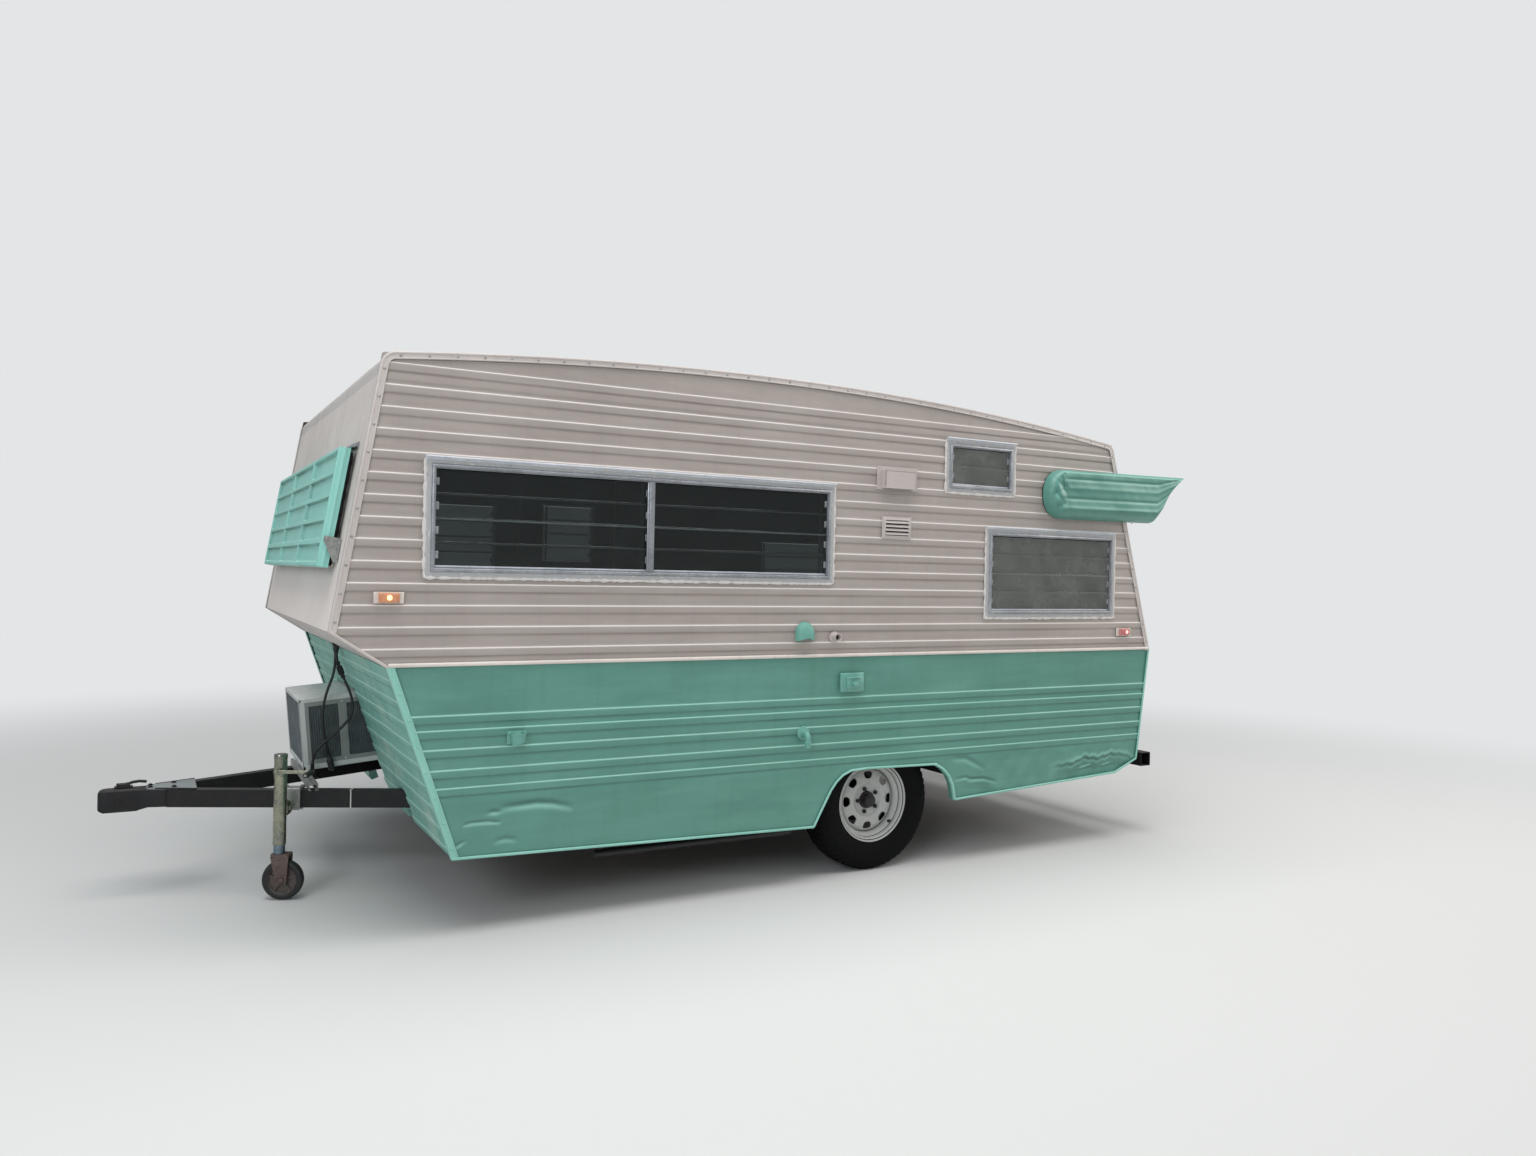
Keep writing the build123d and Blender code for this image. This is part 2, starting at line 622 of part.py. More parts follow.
def rear_low_at(z):
    return belt_rear_s + rear_low_line * (z - belt_z)


tail_slope = degrees(atan2(rear_low_line, 1))
tails = []
for side in (1, -1):
    plane = Plane(origin=(rear_low_at(tail_z), side * tail_y, tail_z), x_dir=(0, -1, 0),
                  z_dir=(-cos(radians(tail_slope)), 0, sin(radians(tail_slope))))
    tails.append(plane.location * Pos(0, 0, tail_t / 2 + skin_gap) * Cylinder(tail_r, tail_t))
nodes["tail_lamps"] = cluster(tails)
plate_plane = Plane(origin=(rear_low_at(tail_z), 0, tail_z), x_dir=(0, -1, 0),
                    z_dir=(-cos(radians(tail_slope)), 0, sin(radians(tail_slope))))
number_plate = Pos(0, 0, number_t / 2 + skin_gap) * Box(number_w, number_h, number_t)
nodes["number_plate"] = plate_plane.location * number_plate

# Fittings on the left side
skin_y = half + skin_gap
hood_s, hood_z, hood_w, hood_h, hood_out, hood_flange_t = -40, 1894, 239, 112, 76, 4
hood = block(hood_s - hood_w / 2, hood_s + hood_w / 2, skin_y, half + hood_flange_t,
             hood_z - hood_h / 2, hood_z + hood_h / 2)
hood = hood + block(hood_s - 80, hood_s + 70, half + hood_flange_t, half + hood_out,
                    hood_z - 48, hood_z + 32)
louvre_s, louvre_z, louvre_w, louvre_h, louvre_t = -41, 1658, 172, 109, 12
louvre = block(louvre_s - louvre_w / 2, louvre_s + louvre_w / 2, skin_y, half + louvre_t,
               louvre_z - louvre_h / 2, louvre_z + louvre_h / 2)
spout_s, spout_z, spout_r, spout_out = 304, 1139, 26, 40
spout = rod((spout_s, skin_y, spout_z), (spout_s, half + spout_out, spout_z), spout_r)
nodes["vents_left"] = cluster([hood, louvre, spout])
dome_s, dome_z, dome_r, dome_out = 467, 1167, 50, 40
dome = rod((dome_s, skin_y, dome_z), (dome_s, half + dome_out, dome_z), dome_r)
outlet_s, outlet_z, outlet_w, outlet_h, outlet_t, outlet_out = 204, 927, 130, 89, 18, 52
outlet = block(outlet_s - outlet_w / 2, outlet_s + outlet_w / 2, skin_y, half + outlet_t,
               outlet_z - outlet_h / 2, outlet_z + outlet_h / 2)
outlet = outlet + block(outlet_s - 39, outlet_s + 39, half + outlet_t, half + outlet_out,
                        outlet_z - 27, outlet_z + 28)
spigot_s, spigot_z, spigot_r, spigot_out, spigot_drop, spigot_pipe_r = 462, 702, 32, 44, 62, 14
spigot = rod((spigot_s, skin_y, spigot_z), (spigot_s, half + spigot_out, spigot_z), spigot_r)
spigot = spigot + rod((spigot_s, half + spigot_out, spigot_z),
                      (spigot_s, half + spigot_out, spigot_z - spigot_drop), spigot_pipe_r)
cup_s, cup_z, cup_r, cup_out = 1798, 765, 38, 55
cup = rod((cup_s, skin_y, cup_z), (cup_s, half + cup_out, cup_z), cup_r)
nodes["fittings_left"] = cluster([dome, outlet, spigot, cup])

# Chassis rails are box section; the tongue rails meet them on their inner faces


def box_section(length, w, h, t):
    return Box(length, w, h) - Box(length + 2, w - 2 * t, h - 2 * t)


rail_mid_z = rail_top - rail_h / 2
main_len = main_rail_front - main_rail_rear
main_rail = Pos((main_rail_front + main_rail_rear) / 2, main_rail_out - rail_w / 2, rail_mid_z)
pair("chassis_rails", main_rail * box_section(main_len, rail_w, rail_h, rail_wall))

tongue_len = 1.2 * main_rail_in / sin_t
rail_dir = Vector(cos_t, -sin_t, 0)
rail_out = Vector(sin_t, cos_t, 0)


def beside_rail(along, out, up):
    """A point by the left tongue rail: along it from its meeting point, out of its face, up."""
    return Vector(tongue_meet_s, 0, 0) - rail_dir * along + rail_out * out + Vector(0, 0, up)


rail_plane = Plane(origin=beside_rail(tongue_len / 2, -rail_w / 2, rail_mid_z), x_dir=rail_dir,
                   z_dir=(0, 0, 1))
tongue_rail = rail_plane.location * box_section(tongue_len, rail_w, rail_h, rail_wall)
tongue_rail = tongue_rail & block(0, tongue_front_s, -big, main_rail_in, 0, big)
pair("tongue_rails", tongue_rail)

members = []
front_member_half = (tongue_meet_s - main_rail_front) * tan_t - rail_w / cos_t - 1
member_places = [(main_rail_front - member_w / 2, front_member_half)]
member_places += [(s, main_rail_in) for s in member_stations]
for s, reach in member_places:
    members.append(block(s - member_w / 2, s + member_w / 2, -reach, reach,
                         rail_low + member_rise, rail_top))
arms = []
for s in outrigger_stations:
    arm = block(s - outrigger_w / 2, s + outrigger_w / 2, main_rail_out, lining - 1,
                rail_top - outrigger_h, rail_top)
    arms.extend([arm, mirrored(arm)])
bumper_front = bumper_rear_s + bumper_size
bumper_top = rail_top + rail_wall
bumper = block(bumper_rear_s, bumper_front, -bumper_half, bumper_half,
               bumper_top - bumper_size, bumper_top)
bumper = bumper - block(bumper_rear_s + rail_wall, bumper_front - rail_wall,
                        -bumper_half - 1, bumper_half + 1,
                        bumper_top - bumper_size + rail_wall, bumper_top - rail_wall)
nodes["rear_bumper"] = bumper

# Waste pipe under the left side, strapped to two outriggers
pipe_in, pipe_z, pipe_r = 100, 232, 16
pipe_y = half - pipe_in
pipe_rear_s, pipe_front_s = 467, 1427
strap_w, strap_t = 24, 4
waste_pipe = rod((pipe_rear_s, pipe_y, pipe_z), (pipe_front_s, pipe_y, pipe_z), pipe_r)
for s in outrigger_stations[:2]:
    strap = block(s - strap_w / 2, s + strap_w / 2, pipe_y - strap_t / 2, pipe_y + strap_t / 2,
                  pipe_z, rail_top - outrigger_h)
    waste_pipe = waste_pipe + strap
nodes["waste_pipe"] = waste_pipe

# Coupler: a folded nose over the rails' front ends, and its latch
plate_rear_y = (tongue_meet_s - coupler_rear_s) * tan_t - 3
nose_shoulder_s = nose_s - coupler_half - coupler_chamfer
coupler_v = outline([
    (coupler_rear_s, plate_rear_y), (coupler_neck_s, coupler_half), (nose_shoulder_s, coupler_half),
    (nose_s - coupler_chamfer, coupler_half / 2), (nose_s, 0),
    (nose_s - coupler_chamfer, -coupler_half / 2), (nose_shoulder_s, -coupler_half),
    (coupler_neck_s, -coupler_half), (coupler_rear_s, -plate_rear_y),
])
coupler_top = Pos(0, 0, rail_top) * extrude(coupler_v, amount=coupler_plate_t)
head = Pos(0, 0, coupler_low) * extrude(coupler_v, amount=rail_top - coupler_low)
head = head & block(coupler_neck_s - coupler_half, nose_s, -coupler_half, coupler_half,
                    coupler_low, rail_top)
ball_rise = 14
ball_hole = Pos(ball_s, 0, coupler_low + ball_rise) * Sphere(ball_r + 1)
ball_hole = ball_hole + Pos(ball_s, 0, coupler_low) * Cylinder(ball_r + 1, 2 * ball_rise)
nodes["coupler"] = coupler_top + head - ball_hole
latch_low = rail_top + coupler_plate_t + latch_gap
latch_top = latch_low + latch_t
latch = block(latch_rear_s, latch_front_s, -latch_half, latch_half, latch_low, latch_top)
lever_front_s = latch_rear_s + latch_half
nodes["coupler_latch"] = latch + block(lever_front_s - lever_len, lever_front_s, -lever_half, lever_half,
                                       latch_top - 6, latch_top - 6 + lever_t)

# Crossbar and the cooling unit that stands on it
crossbar = block(crossbar_s - crossbar_w / 2, crossbar_s + crossbar_w / 2, -crossbar_half, crossbar_half,
                 rail_top, rail_top + crossbar_h)
crossbar_wall = 3
crossbar_bore = Box(crossbar_w - 2 * crossbar_wall, 2 * crossbar_half + 2, crossbar_h - 2 * crossbar_wall)
crossbar = crossbar - Pos(crossbar_s, 0, rail_top + crossbar_h / 2) * crossbar_bore
nodes["crossbar"] = crossbar
case = cooler_block(0, cooler_deep, cooler_left, cooler_right, 0.5, cooler_high)
grille_edge, grille_deep, grille_play, grille_set = 18, 10, 2, 0.5


def grille_block(front, rear, edge):
    """A block over the case's front face, in from its edges."""
    return cooler_block(front, rear, cooler_left - edge, cooler_right + edge, edge, cooler_high - edge)


nodes["cooler_case"] = case - grille_block(1, grille_deep, grille_edge)
nodes["cooler_grille"] = grille_block(-grille_play, grille_deep - grille_set, grille_edge + grille_play)

# Axle, springs and hangers
spindle_end = wheel_y + spindle_past
beam = rod((0, -beam_half, beam_z), (0, beam_half, beam_z), beam_r)
for side in (1, -1):
    arm_in, arm_out = sorted((side * (beam_half - drop_in), side * (beam_half + drop_out)))
    beam = beam + block(-drop_half, drop_half, arm_in, arm_out, beam_z - beam_r, tyre_r + beam_r)
    beam = beam + rod((0, side * beam_half, tyre_r), (0, side * spindle_end, tyre_r), spindle_r)
nodes["axle"] = beam
spring_half, spring_w, spring_t = 330, 44, 22
spring_y = main_rail_out - rail_w / 2
spring_low = beam_z + beam_r
spring_rise, spring_end_t = 62, 10
spring_face = make_face([
    ThreePointArc((-spring_half, spring_low + spring_rise), (0, spring_low),
                  (spring_half, spring_low + spring_rise)),
    Line((spring_half, spring_low + spring_rise), (spring_half, spring_low + spring_rise + spring_end_t)),
    ThreePointArc((spring_half, spring_low + spring_rise + spring_end_t), (0, spring_low + spring_t),
                  (-spring_half, spring_low + spring_rise + spring_end_t)),
    Line((-spring_half, spring_low + spring_rise + spring_end_t), (-spring_half, spring_low + spring_rise)),
])
pair("leaf_springs", across(spring_face, spring_y - spring_w / 2, spring_y + spring_w / 2))
hangers = []
hanger_half, hanger_t, hanger_in, hanger_drop = 24, 5, 20, 22
for s in (spring_half - hanger_in, -spring_half + hanger_in):
    for out in (spring_w / 2 + skin_gap, -spring_w / 2 - hanger_t - skin_gap):
        ear = block(s - hanger_half, s + hanger_half, spring_y + out, spring_y + out + hanger_t,
                    spring_low + spring_rise - hanger_drop, rail_low)
        hangers.extend([ear, mirrored(ear)])
nodes["chassis_members"] = cluster(members + arms + hangers)

# Wheels, turned about the Y axis


def turned(points, y0):
    """Radius and distance pairs, turned about the axle's line and set at y0."""
    face = make_face(Polyline(*points, close=True))
    solid = revolve(Rot(90, 0, 0) * face, Axis.Z)
    return Pos(0, y0, tyre_r) * Rot(-90, 0, 0) * solid


tyre_half = tyre_w / 2
tyre = turned([
    (tyre_bead_r, -56), (225, -78), (262, -tyre_half), (300, -82), (322, -66), (tyre_r, -50),
    (tyre_r, 50), (322, 66), (300, 82), (262, tyre_half), (225, 78), (tyre_bead_r, 56),
    (tyre_bead_r - 4, 48), (tyre_bead_r - 4, -48),
], wheel_y)
both("tyre", tyre)
rim = turned([
    (150, -70), (rim_flange_r, -70), (rim_flange_r, -64), (tyre_bead_r - 5, -60), (tyre_bead_r - 5, -30),
    (160, -20), (160, 30), (tyre_bead_r - 5, 40), (tyre_bead_r - 5, 60), (rim_flange_r, 64),
    (rim_flange_r, 70), (rim_flange_r - 10, 70), (170, 52), (170, 34), (152, 26), (152, 8),
    (120, 26), (82, 26), (70, 14), (hub_r + 1, 14), (hub_r + 1, 8), (72, 8), (86, 20), (118, 20),
    (150, 2), (150, -20), (158, -30), (165, -60), (150, -64),
], wheel_y)


def around_wheel(index, count, first, radius):
    """The place of one of several like features round the wheel's face, with Z out of it."""
    turn = Rot(0, first + index * 360 / count, 0)
    return Pos(0, wheel_y, tyre_r) * turn * Pos(0, 0, radius) * Rot(90, 0, 0)


rim_hole_w, rim_hole_h, rim_hole_corner, rim_hole_at = 44, 40, 16, 118
rim_hole = extrude(RectangleRounded(rim_hole_w, rim_hole_h, rim_hole_corner), amount=past, both=True)
holes = [around_wheel(index, rim_hole_count, 180 / rim_hole_count, rim_hole_at) * rim_hole
         for index in range(rim_hole_count)]
holes += [around_wheel(index, lug_count, lug_turn, lug_pcd / 2) * Cylinder(stud_r + stud_play, past)
          for index in range(lug_count)]
rim = rim - holes
both("rim", rim)
hub = turned([
    (spindle_r + fit, -150), (hub_r, -150), (hub_r, -140), (drum_r, -140), (drum_r, -140 + drum_w),
    (78, -140 + drum_w), (78, 1), (70, 7.5), (hub_r, 7.5), (hub_r, 44), (26, 52), (0, 52), (0, 34),
    (spindle_r + fit, 34),
], wheel_y)
nut = extrude(RegularPolygon(lug_r, 6), amount=nut_half, both=True)
for index in range(lug_count):
    at = around_wheel(index, lug_count, lug_turn, lug_pcd / 2)
    hub = hub + at * Pos(0, 0, -stud_len / 2 - 2) * Cylinder(stud_r, stud_len)
    hub = hub + at * Pos(0, 0, -nut_out) * nut
both("hub", hub)

# Jack, standing upright beside the left tongue rail
pivot_along = (tongue_meet_s - jack_s + jack_off * sin_t) / cos_t
pivot = beside_rail(pivot_along, jack_off, jack_pivot_z)
jack_plane = Plane(origin=pivot, x_dir=rail_dir, z_dir=(0, 0, 1))
# In the jack's frame X runs forward along the rail, Y out of its face, Z up, from the pivot


def jack_block(x0, x1, y0, y1, z0, z1):
    return jack_plane.location * block(x0, x1, y0, y1, z0, z1)


def jack_rod(start, end, radius):
    return jack_plane.location * rod(start, end, radius)


rail_up = rail_top - jack_pivot_z
rail_down = rail_low - jack_pivot_z
plate_out, plate_over = 8, 12
bracket_half = 46
disc_r, disc_out, disc_t, disc_gap = 38, 38, 7, 0.5
boss_r, pivot_r, pivot_end = 24, 10, 31
bracket_in, bracket_out = -jack_off - rail_w - plate_out, -jack_off + plate_out
bracket = jack_block(-bracket_half, bracket_half, -jack_off + skin_gap, bracket_out,
                     rail_down - plate_over, rail_up + plate_over)
for low, high in ((rail_up + skin_gap, rail_up + plate_out), (rail_down - plate_out, rail_down - skin_gap)):
    bracket = bracket + jack_block(-bracket_half, bracket_half, bracket_in, bracket_out, low, high)
bracket = bracket + jack_rod((0, bracket_out - 1, 0), (0, -disc_out - disc_t + 1, 0), boss_r)
bracket = bracket + jack_rod((0, -disc_out - disc_t, 0), (0, -disc_out, 0), disc_r)
bracket = bracket + jack_rod((0, -disc_out - 1, 0), (0, -pivot_end, 0), pivot_r)
nodes["jack_bracket"] = bracket
outer = jack_rod((0, 0, -jack_foot), (0, 0, jack_top), jack_outer_r)
outer = outer - jack_rod((0, 0, -jack_foot - 1), (0, 0, jack_top - 8), jack_outer_r - jack_outer_wall)
pad_half_w, pad_half_h = 20, 34
collar = jack_rod((0, -disc_out + disc_gap, 0), (0, -pivot_end, 0), disc_r)
collar = collar + jack_block(-pad_half_w, pad_half_w, -pivot_end - 1, -jack_outer_r + 2.5,
                             -pad_half_h, pad_half_h)
collar = collar - jack_rod((0, -disc_out - disc_t, 0), (0, -pivot_end + 2, 0), pivot_r + fit)
nodes["jack_outer_tube"] = outer + collar
crank_z, crank_arm, crank_out, grip_len = jack_top - 70, 142, 24, 80
crank_shaft_r, crank_bar, crank_grip_r = 9, 8, 12
arm_out = jack_outer_r + crank_out
grip_out = arm_out - 4
crank = jack_rod((0, jack_outer_r + skin_gap, crank_z), (0, arm_out, crank_z), crank_shaft_r)
crank = crank + jack_block(-crank_arm - crank_bar, crank_bar, arm_out - crank_bar, arm_out,
                           crank_z - crank_bar, crank_z + crank_bar)
crank = crank + jack_rod((-crank_arm, grip_out, crank_z), (-crank_arm, grip_out + grip_len, crank_z),
                         crank_grip_r)
nodes["jack_crank"] = crank
inner_r = jack_outer_r - jack_outer_wall - fit
hub_down = jack_wheel_r - jack_pivot_z
crown_top = hub_down + jack_wheel_r + crown_gap
inner = jack_rod((0, 0, crown_top + 0.5), (0, 0, jack_top - 30), inner_r)
inner = inner + jack_rod((0, 0, crown_top - crown_t), (0, 0, crown_top + 1), jack_pin_r)
nodes["jack_inner_tube"] = inner
fork_w = jack_wheel_w / 2 + fork_play
fork = jack_block(-jack_trail - crown_back, crown_front, -fork_w - fork_t, fork_w + fork_t,
                  crown_top - crown_t, crown_top)
fork = fork - jack_rod((0, 0, crown_top - 2 * crown_t), (0, 0, crown_top + crown_t), jack_pin_r + fit)
leg_face = outline([
    (-jack_trail - foot_half, hub_down - foot_drop), (-jack_trail + foot_half, hub_down - foot_drop),
    (crown_front, crown_top - crown_t + 1), (-jack_trail - crown_back, crown_top - crown_t + 1),
])
for side in (1, -1):
    leg_in, leg_out = sorted((side * fork_w, side * (fork_w + fork_t)))
    fork = fork + jack_plane.location * across(leg_face, leg_in, leg_out)
pin_half = fork_w + fork_t + 4
fork = fork + jack_rod((-jack_trail, -pin_half, hub_down), (-jack_trail, pin_half, hub_down), jack_pin_r)
nodes["jack_fork"] = fork
wheel_half = jack_wheel_w / 2
wheel_face = outline([
    (jack_pin_r + fit, -wheel_half), (22, -wheel_half), (22, -8), (58, -8), (62, -wheel_half),
    (78, -wheel_half), (jack_wheel_r, -wheel_half + 8), (jack_wheel_r, wheel_half - 8), (78, wheel_half),
    (62, wheel_half), (58, 8), (22, 8), (22, wheel_half), (jack_pin_r + fit, wheel_half),
])
jack_wheel = Rot(-90, 0, 0) * revolve(Rot(90, 0, 0) * wheel_face, Axis.Z)
nodes["jack_wheel"] = jack_plane.location * Pos(-jack_trail, 0, hub_down) * jack_wheel

# Free cords under the prow: a power lead that hangs with its plug, and the harness to the tongue
cord_r = 6
gland_z = 1040
lead_route = [
    (2306, 30, gland_z), (2306, 30, 990), (2314, 52, 920), (2345, 68, 845), (2362, 70, 765),
    (2360, 62, 685), (2346, 55, 615), (2330, 50, 545),
]
harness_route = [
    (2306, 54, gland_z), (2306, 54, 985), (2280, 62, 915), (2250, 66, 850), (2232, 70, 790),
    (2234, 76, 733), (2266, 80, 686), (2313, 80, 643), (2360, 74, 602), (2392, 66, 560),
    (2400, 53, 516), (2400, 53, 471),
]


def cord_tube(name, route, radius):
    """Straight runs joined by arcs, each as large as its two runs allow."""
    points = [Vector(*p) for p in route]
    bends = []
    for before, at, after in zip(points, points[1:], points[2:]):
        run_in, run_out = at - before, after - at
        turn = radians(run_in.get_angle(run_out))
        bends.append(0.45 * min(run_in.length, run_out.length) / tan(turn / 2))
    path = FilletPolyline(*points, radius=bends)
    section = Plane(origin=points[0], z_dir=points[1] - points[0]).location * Circle(radius)
    solid = sweep(section, path=path)
    print(name, "least bend", round(min(bends)), "of", [round(b) for b in bends])
    ratio = solid.volume / (pi * radius ** 2 * path.length)
    print(name, "length", round(path.length), "volume ratio", round(ratio, 6))
    nodes[name] = solid
    return path


lead_path = cord_tube("power_lead", lead_route, cord_r)
harness_path = cord_tube("harness", harness_route, cord_r)
neck_len, neck_r, plug_len, plug_r = 22, 11, 55, 15
plug_dir = (Vector(*lead_route[-1]) - Vector(*lead_route[-2])).normalized()
plug_start = Vector(*lead_route[-1])
plug_neck = plug_start + plug_dir * neck_len
lead_neck = rod(plug_start, plug_neck, neck_r)
nodes["lead_plug"] = lead_neck + rod(plug_neck, plug_start + plug_dir * plug_len, plug_r)
gland_half, gland_h, clip_in, clip_out = 18, 60, 12, 15
gland_s, lead_y, harness_y = lead_route[0][0], lead_route[0][1], harness_route[0][1]
gland = block(gland_s - gland_half, gland_s + gland_half, lead_y - 14, harness_y + 14,
              gland_z, gland_z + gland_h)
gland = gland - across(shell_face(0), -half, half)
clip_s, clip_y = harness_route[-1][0], harness_route[-1][1]
clip = block(clip_s - clip_in, crossbar_s - crossbar_w / 2, clip_y - clip_out, clip_y + clip_out,
             rail_top, rail_top + crossbar_h)
nodes["cord_fittings"] = cluster([gland, clip])

os.makedirs("parts", exist_ok=True)
for name, shape in nodes.items():
    moved = Pos(-middle_s, 0, 0) * shape
    solids = moved.solids()
    export_step(solids[0] if len(solids) == 1 else Compound(children=list(solids)), f"parts/{name}.step")
print("middle station", middle_s, "pivot", pivot - Vector(middle_s, 0, 0), "nodes", len(nodes))
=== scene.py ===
# %% [markdown]
# A small touring trailer, built around its packed construction model. Every number here is in metres,
# in the frame of that model: X runs forward to the coupler, Y to the road side, Z up, and the floor is at 0.
# The construction gives the true places, so each cell asks it for them before it shapes a surface.

# %% Load the frame
import math

import bpy
import numpy as np
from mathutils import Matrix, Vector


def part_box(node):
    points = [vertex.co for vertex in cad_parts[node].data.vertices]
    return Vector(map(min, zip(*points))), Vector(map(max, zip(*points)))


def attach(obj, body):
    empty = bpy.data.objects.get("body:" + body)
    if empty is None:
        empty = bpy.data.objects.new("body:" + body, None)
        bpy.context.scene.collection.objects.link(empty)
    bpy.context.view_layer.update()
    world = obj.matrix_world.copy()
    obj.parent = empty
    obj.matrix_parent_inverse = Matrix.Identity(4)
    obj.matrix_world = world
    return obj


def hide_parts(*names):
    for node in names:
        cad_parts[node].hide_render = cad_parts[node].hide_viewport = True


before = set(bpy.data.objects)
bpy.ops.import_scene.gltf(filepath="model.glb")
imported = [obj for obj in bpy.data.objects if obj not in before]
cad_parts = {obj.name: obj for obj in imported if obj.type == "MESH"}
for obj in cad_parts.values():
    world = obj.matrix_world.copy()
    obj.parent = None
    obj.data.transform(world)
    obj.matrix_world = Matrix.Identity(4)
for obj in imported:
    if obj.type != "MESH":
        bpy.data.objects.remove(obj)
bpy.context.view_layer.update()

# %% [markdown]
# Lengths along the trailer are easiest to read as stations ahead of the axle. The tyre's box says where the
# axle is, and the side wall's box says how far out the sheet lies.

# %% Where the axle and the walls are
tyre_low, tyre_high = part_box("tyre_left")
AXLE_X = (tyre_low[0] + tyre_high[0]) / 2
WHEEL_Y = (tyre_low[1] + tyre_high[1]) / 2
WHEEL_R = (tyre_high[2] - tyre_low[2]) / 2
WALL_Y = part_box("side_lower_left")[1][1]
LINING_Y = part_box("side_lower_left")[0][1]
BELT_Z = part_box("side_lower_left")[1][2]
print("axle", AXLE_X, "wheel", WHEEL_Y, WHEEL_R, "wall", LINING_Y, WALL_Y, "belt", BELT_Z)


def at(station):
    """The X of a station, given ahead of the axle."""
    return AXLE_X + np.asarray(station, dtype=float)


def x_at(station):
    """The same as a plain number."""
    return float(at(station))


# Corners of the cabin's outline, as station and height
PROW = (2.498, 1.180)
BELT_FRONT = (2.293, BELT_Z)
FRONT_FOOT = (2.039, 0.301)
ARCH_FRONT = (0.392, 0.262)
ARCH_REAR = (-0.437, 0.318)
REAR_BEND = (-1.568, 0.370)
REAR_FOOT = (-1.734, 0.436)
BELT_REAR = (-1.816, BELT_Z)
REAR_TOP = (-1.490, 2.167)
CROWN = (0.950, 2.303)
FRONT_TOP = (2.326, 2.219)
CORNER_R = 0.055

# %% [markdown]
# The camera stands where the photographer stood: across the road, at eye height, ahead of the wheel.
# Its direction is given by the three axes of the picture, right, up and back, as the columns of a matrix.
# Blender's frame is 36 mm wide, so a focal length in pixels becomes one in millimetres by 36 / 1536.

# %% Camera
from mathutils import Matrix


def standing(x_dir, y_dir, z_dir, origin):
    """The matrix of an object that stands at a place with three given axes."""
    return Matrix([[x_dir[i], y_dir[i], z_dir[i], origin[i]] for i in range(3)] + [[0, 0, 0, 1]])


PHOTO_W, FOCAL_PX = 1536, 1076.9
right = np.array([-0.8663, 0.4991, 0.0214])
back = np.array([0.4993, 0.8664, 0.0047])
right /= np.linalg.norm(right)
back -= right * back.dot(right)
back /= np.linalg.norm(back)
camera_data = bpy.data.cameras.new("camera")
camera_data.sensor_width = 36.0
camera_data.lens = FOCAL_PX * camera_data.sensor_width / PHOTO_W
camera = bpy.data.objects.new("camera", camera_data)
bpy.context.scene.collection.objects.link(camera)
camera.matrix_world = standing(right, np.cross(back, right), back, (x_at(3.071), 5.376, 1.430))
bpy.context.scene.camera = camera
bpy.context.scene.view_settings.view_transform = "Standard"
print("lens", round(camera_data.lens, 2), "mm")

# %% [markdown]
# A mesh is two lists: points, and faces that name their points. Every shape below is such a pair, worked out
# by numpy as whole arrays. A grid is the plainest one: a point for each pair of parameters, and a face
# between each four neighbours.

# %% Grids and joined shapes


def grid_faces(rows, cols, wrap_rows=False, wrap_cols=False):
    """Point (i, j) is number i * cols + j, and each face joins it to the next row and the next column."""
    i, j = np.meshgrid(np.arange(rows - (not wrap_rows)), np.arange(cols - (not wrap_cols)), indexing="ij")
    i2, j2 = (i + 1) % rows, (j + 1) % cols
    return np.stack([i * cols + j, i2 * cols + j, i2 * cols + j2, i * cols + j2], axis=-1).reshape(-1, 4)


def join(*shapes):
    """Several shapes as one: each next one's point numbers are raised by the points before it."""
    points, faces, count = [], [], 0
    for shape in shapes:
        points.append(shape[0])
        faces.extend([block + count for block in shape[1] if len(block)])
        count += len(shape[0])
    return np.vstack(points), faces


def flip(shape):
    """The same points with every face turned the other way round."""
    return shape[0], [block[:, ::-1] for block in shape[1]]


def weld(shape, step=1e-5):
    """Points on one spot become one. A face that loses a side so becomes a triangle, or goes."""
    points, faces = shape
    _, first, back_to = np.unique(np.round(points / step).astype(np.int64), axis=0, return_index=True,
                                  return_inverse=True)
    kept = []
    for block in faces:
        ring = back_to.ravel()[block]
        same = ring == np.roll(ring, -1, axis=1)
        lost = same.sum(axis=1)
        kept.append(ring[lost == 0])
        if ring.shape[1] == 4:
            kept.append(ring[lost == 1][~same[lost == 1]].reshape(-1, 3))
    return points[first], [block for block in kept if len(block)]


def walled(outer, inner, faces):
    """A closed wall: the outer sheet, the inner one turned round, and a strip along each open border.

    A border edge is one that only a single face uses.
    """
    count = len(outer)
    starts = np.concatenate([block.ravel() for block in faces])
    ends = np.concatenate([np.roll(block, -1, axis=1).ravel() for block in faces])
    keys = np.minimum(starts, ends) * count + np.maximum(starts, ends)
    _, where, uses = np.unique(keys, return_index=True, return_counts=True)
    a, b = starts[where[uses == 1]], ends[where[uses == 1]]
    strip = np.stack([b, a, a + count, b + count], axis=-1)
    return np.vstack([outer, inner]), list(faces) + [block[:, ::-1] + count for block in faces] + [strip]


def mirrored(shape):
    """The same shape on the other side of the centre plane."""
    return shape[0] * [1, -1, 1], [block[:, ::-1] for block in shape[1]]


def both_sides(shape):
    return join(shape, mirrored(shape))


def face_count(shape):
    return sum(len(block) for block in shape[1])


def moved(shape, offset):
    return shape[0] + offset, shape[1]


def other_hand(shape):
    """The same shape with left and right changed over."""
    return shape[0] * [-1, 1, 1], [block[:, ::-1] for block in shape[1]]


def span(sign, near, far):
    """Two distances in rising order, on the side that the sign gives."""
    return sorted((sign * near, sign * far))


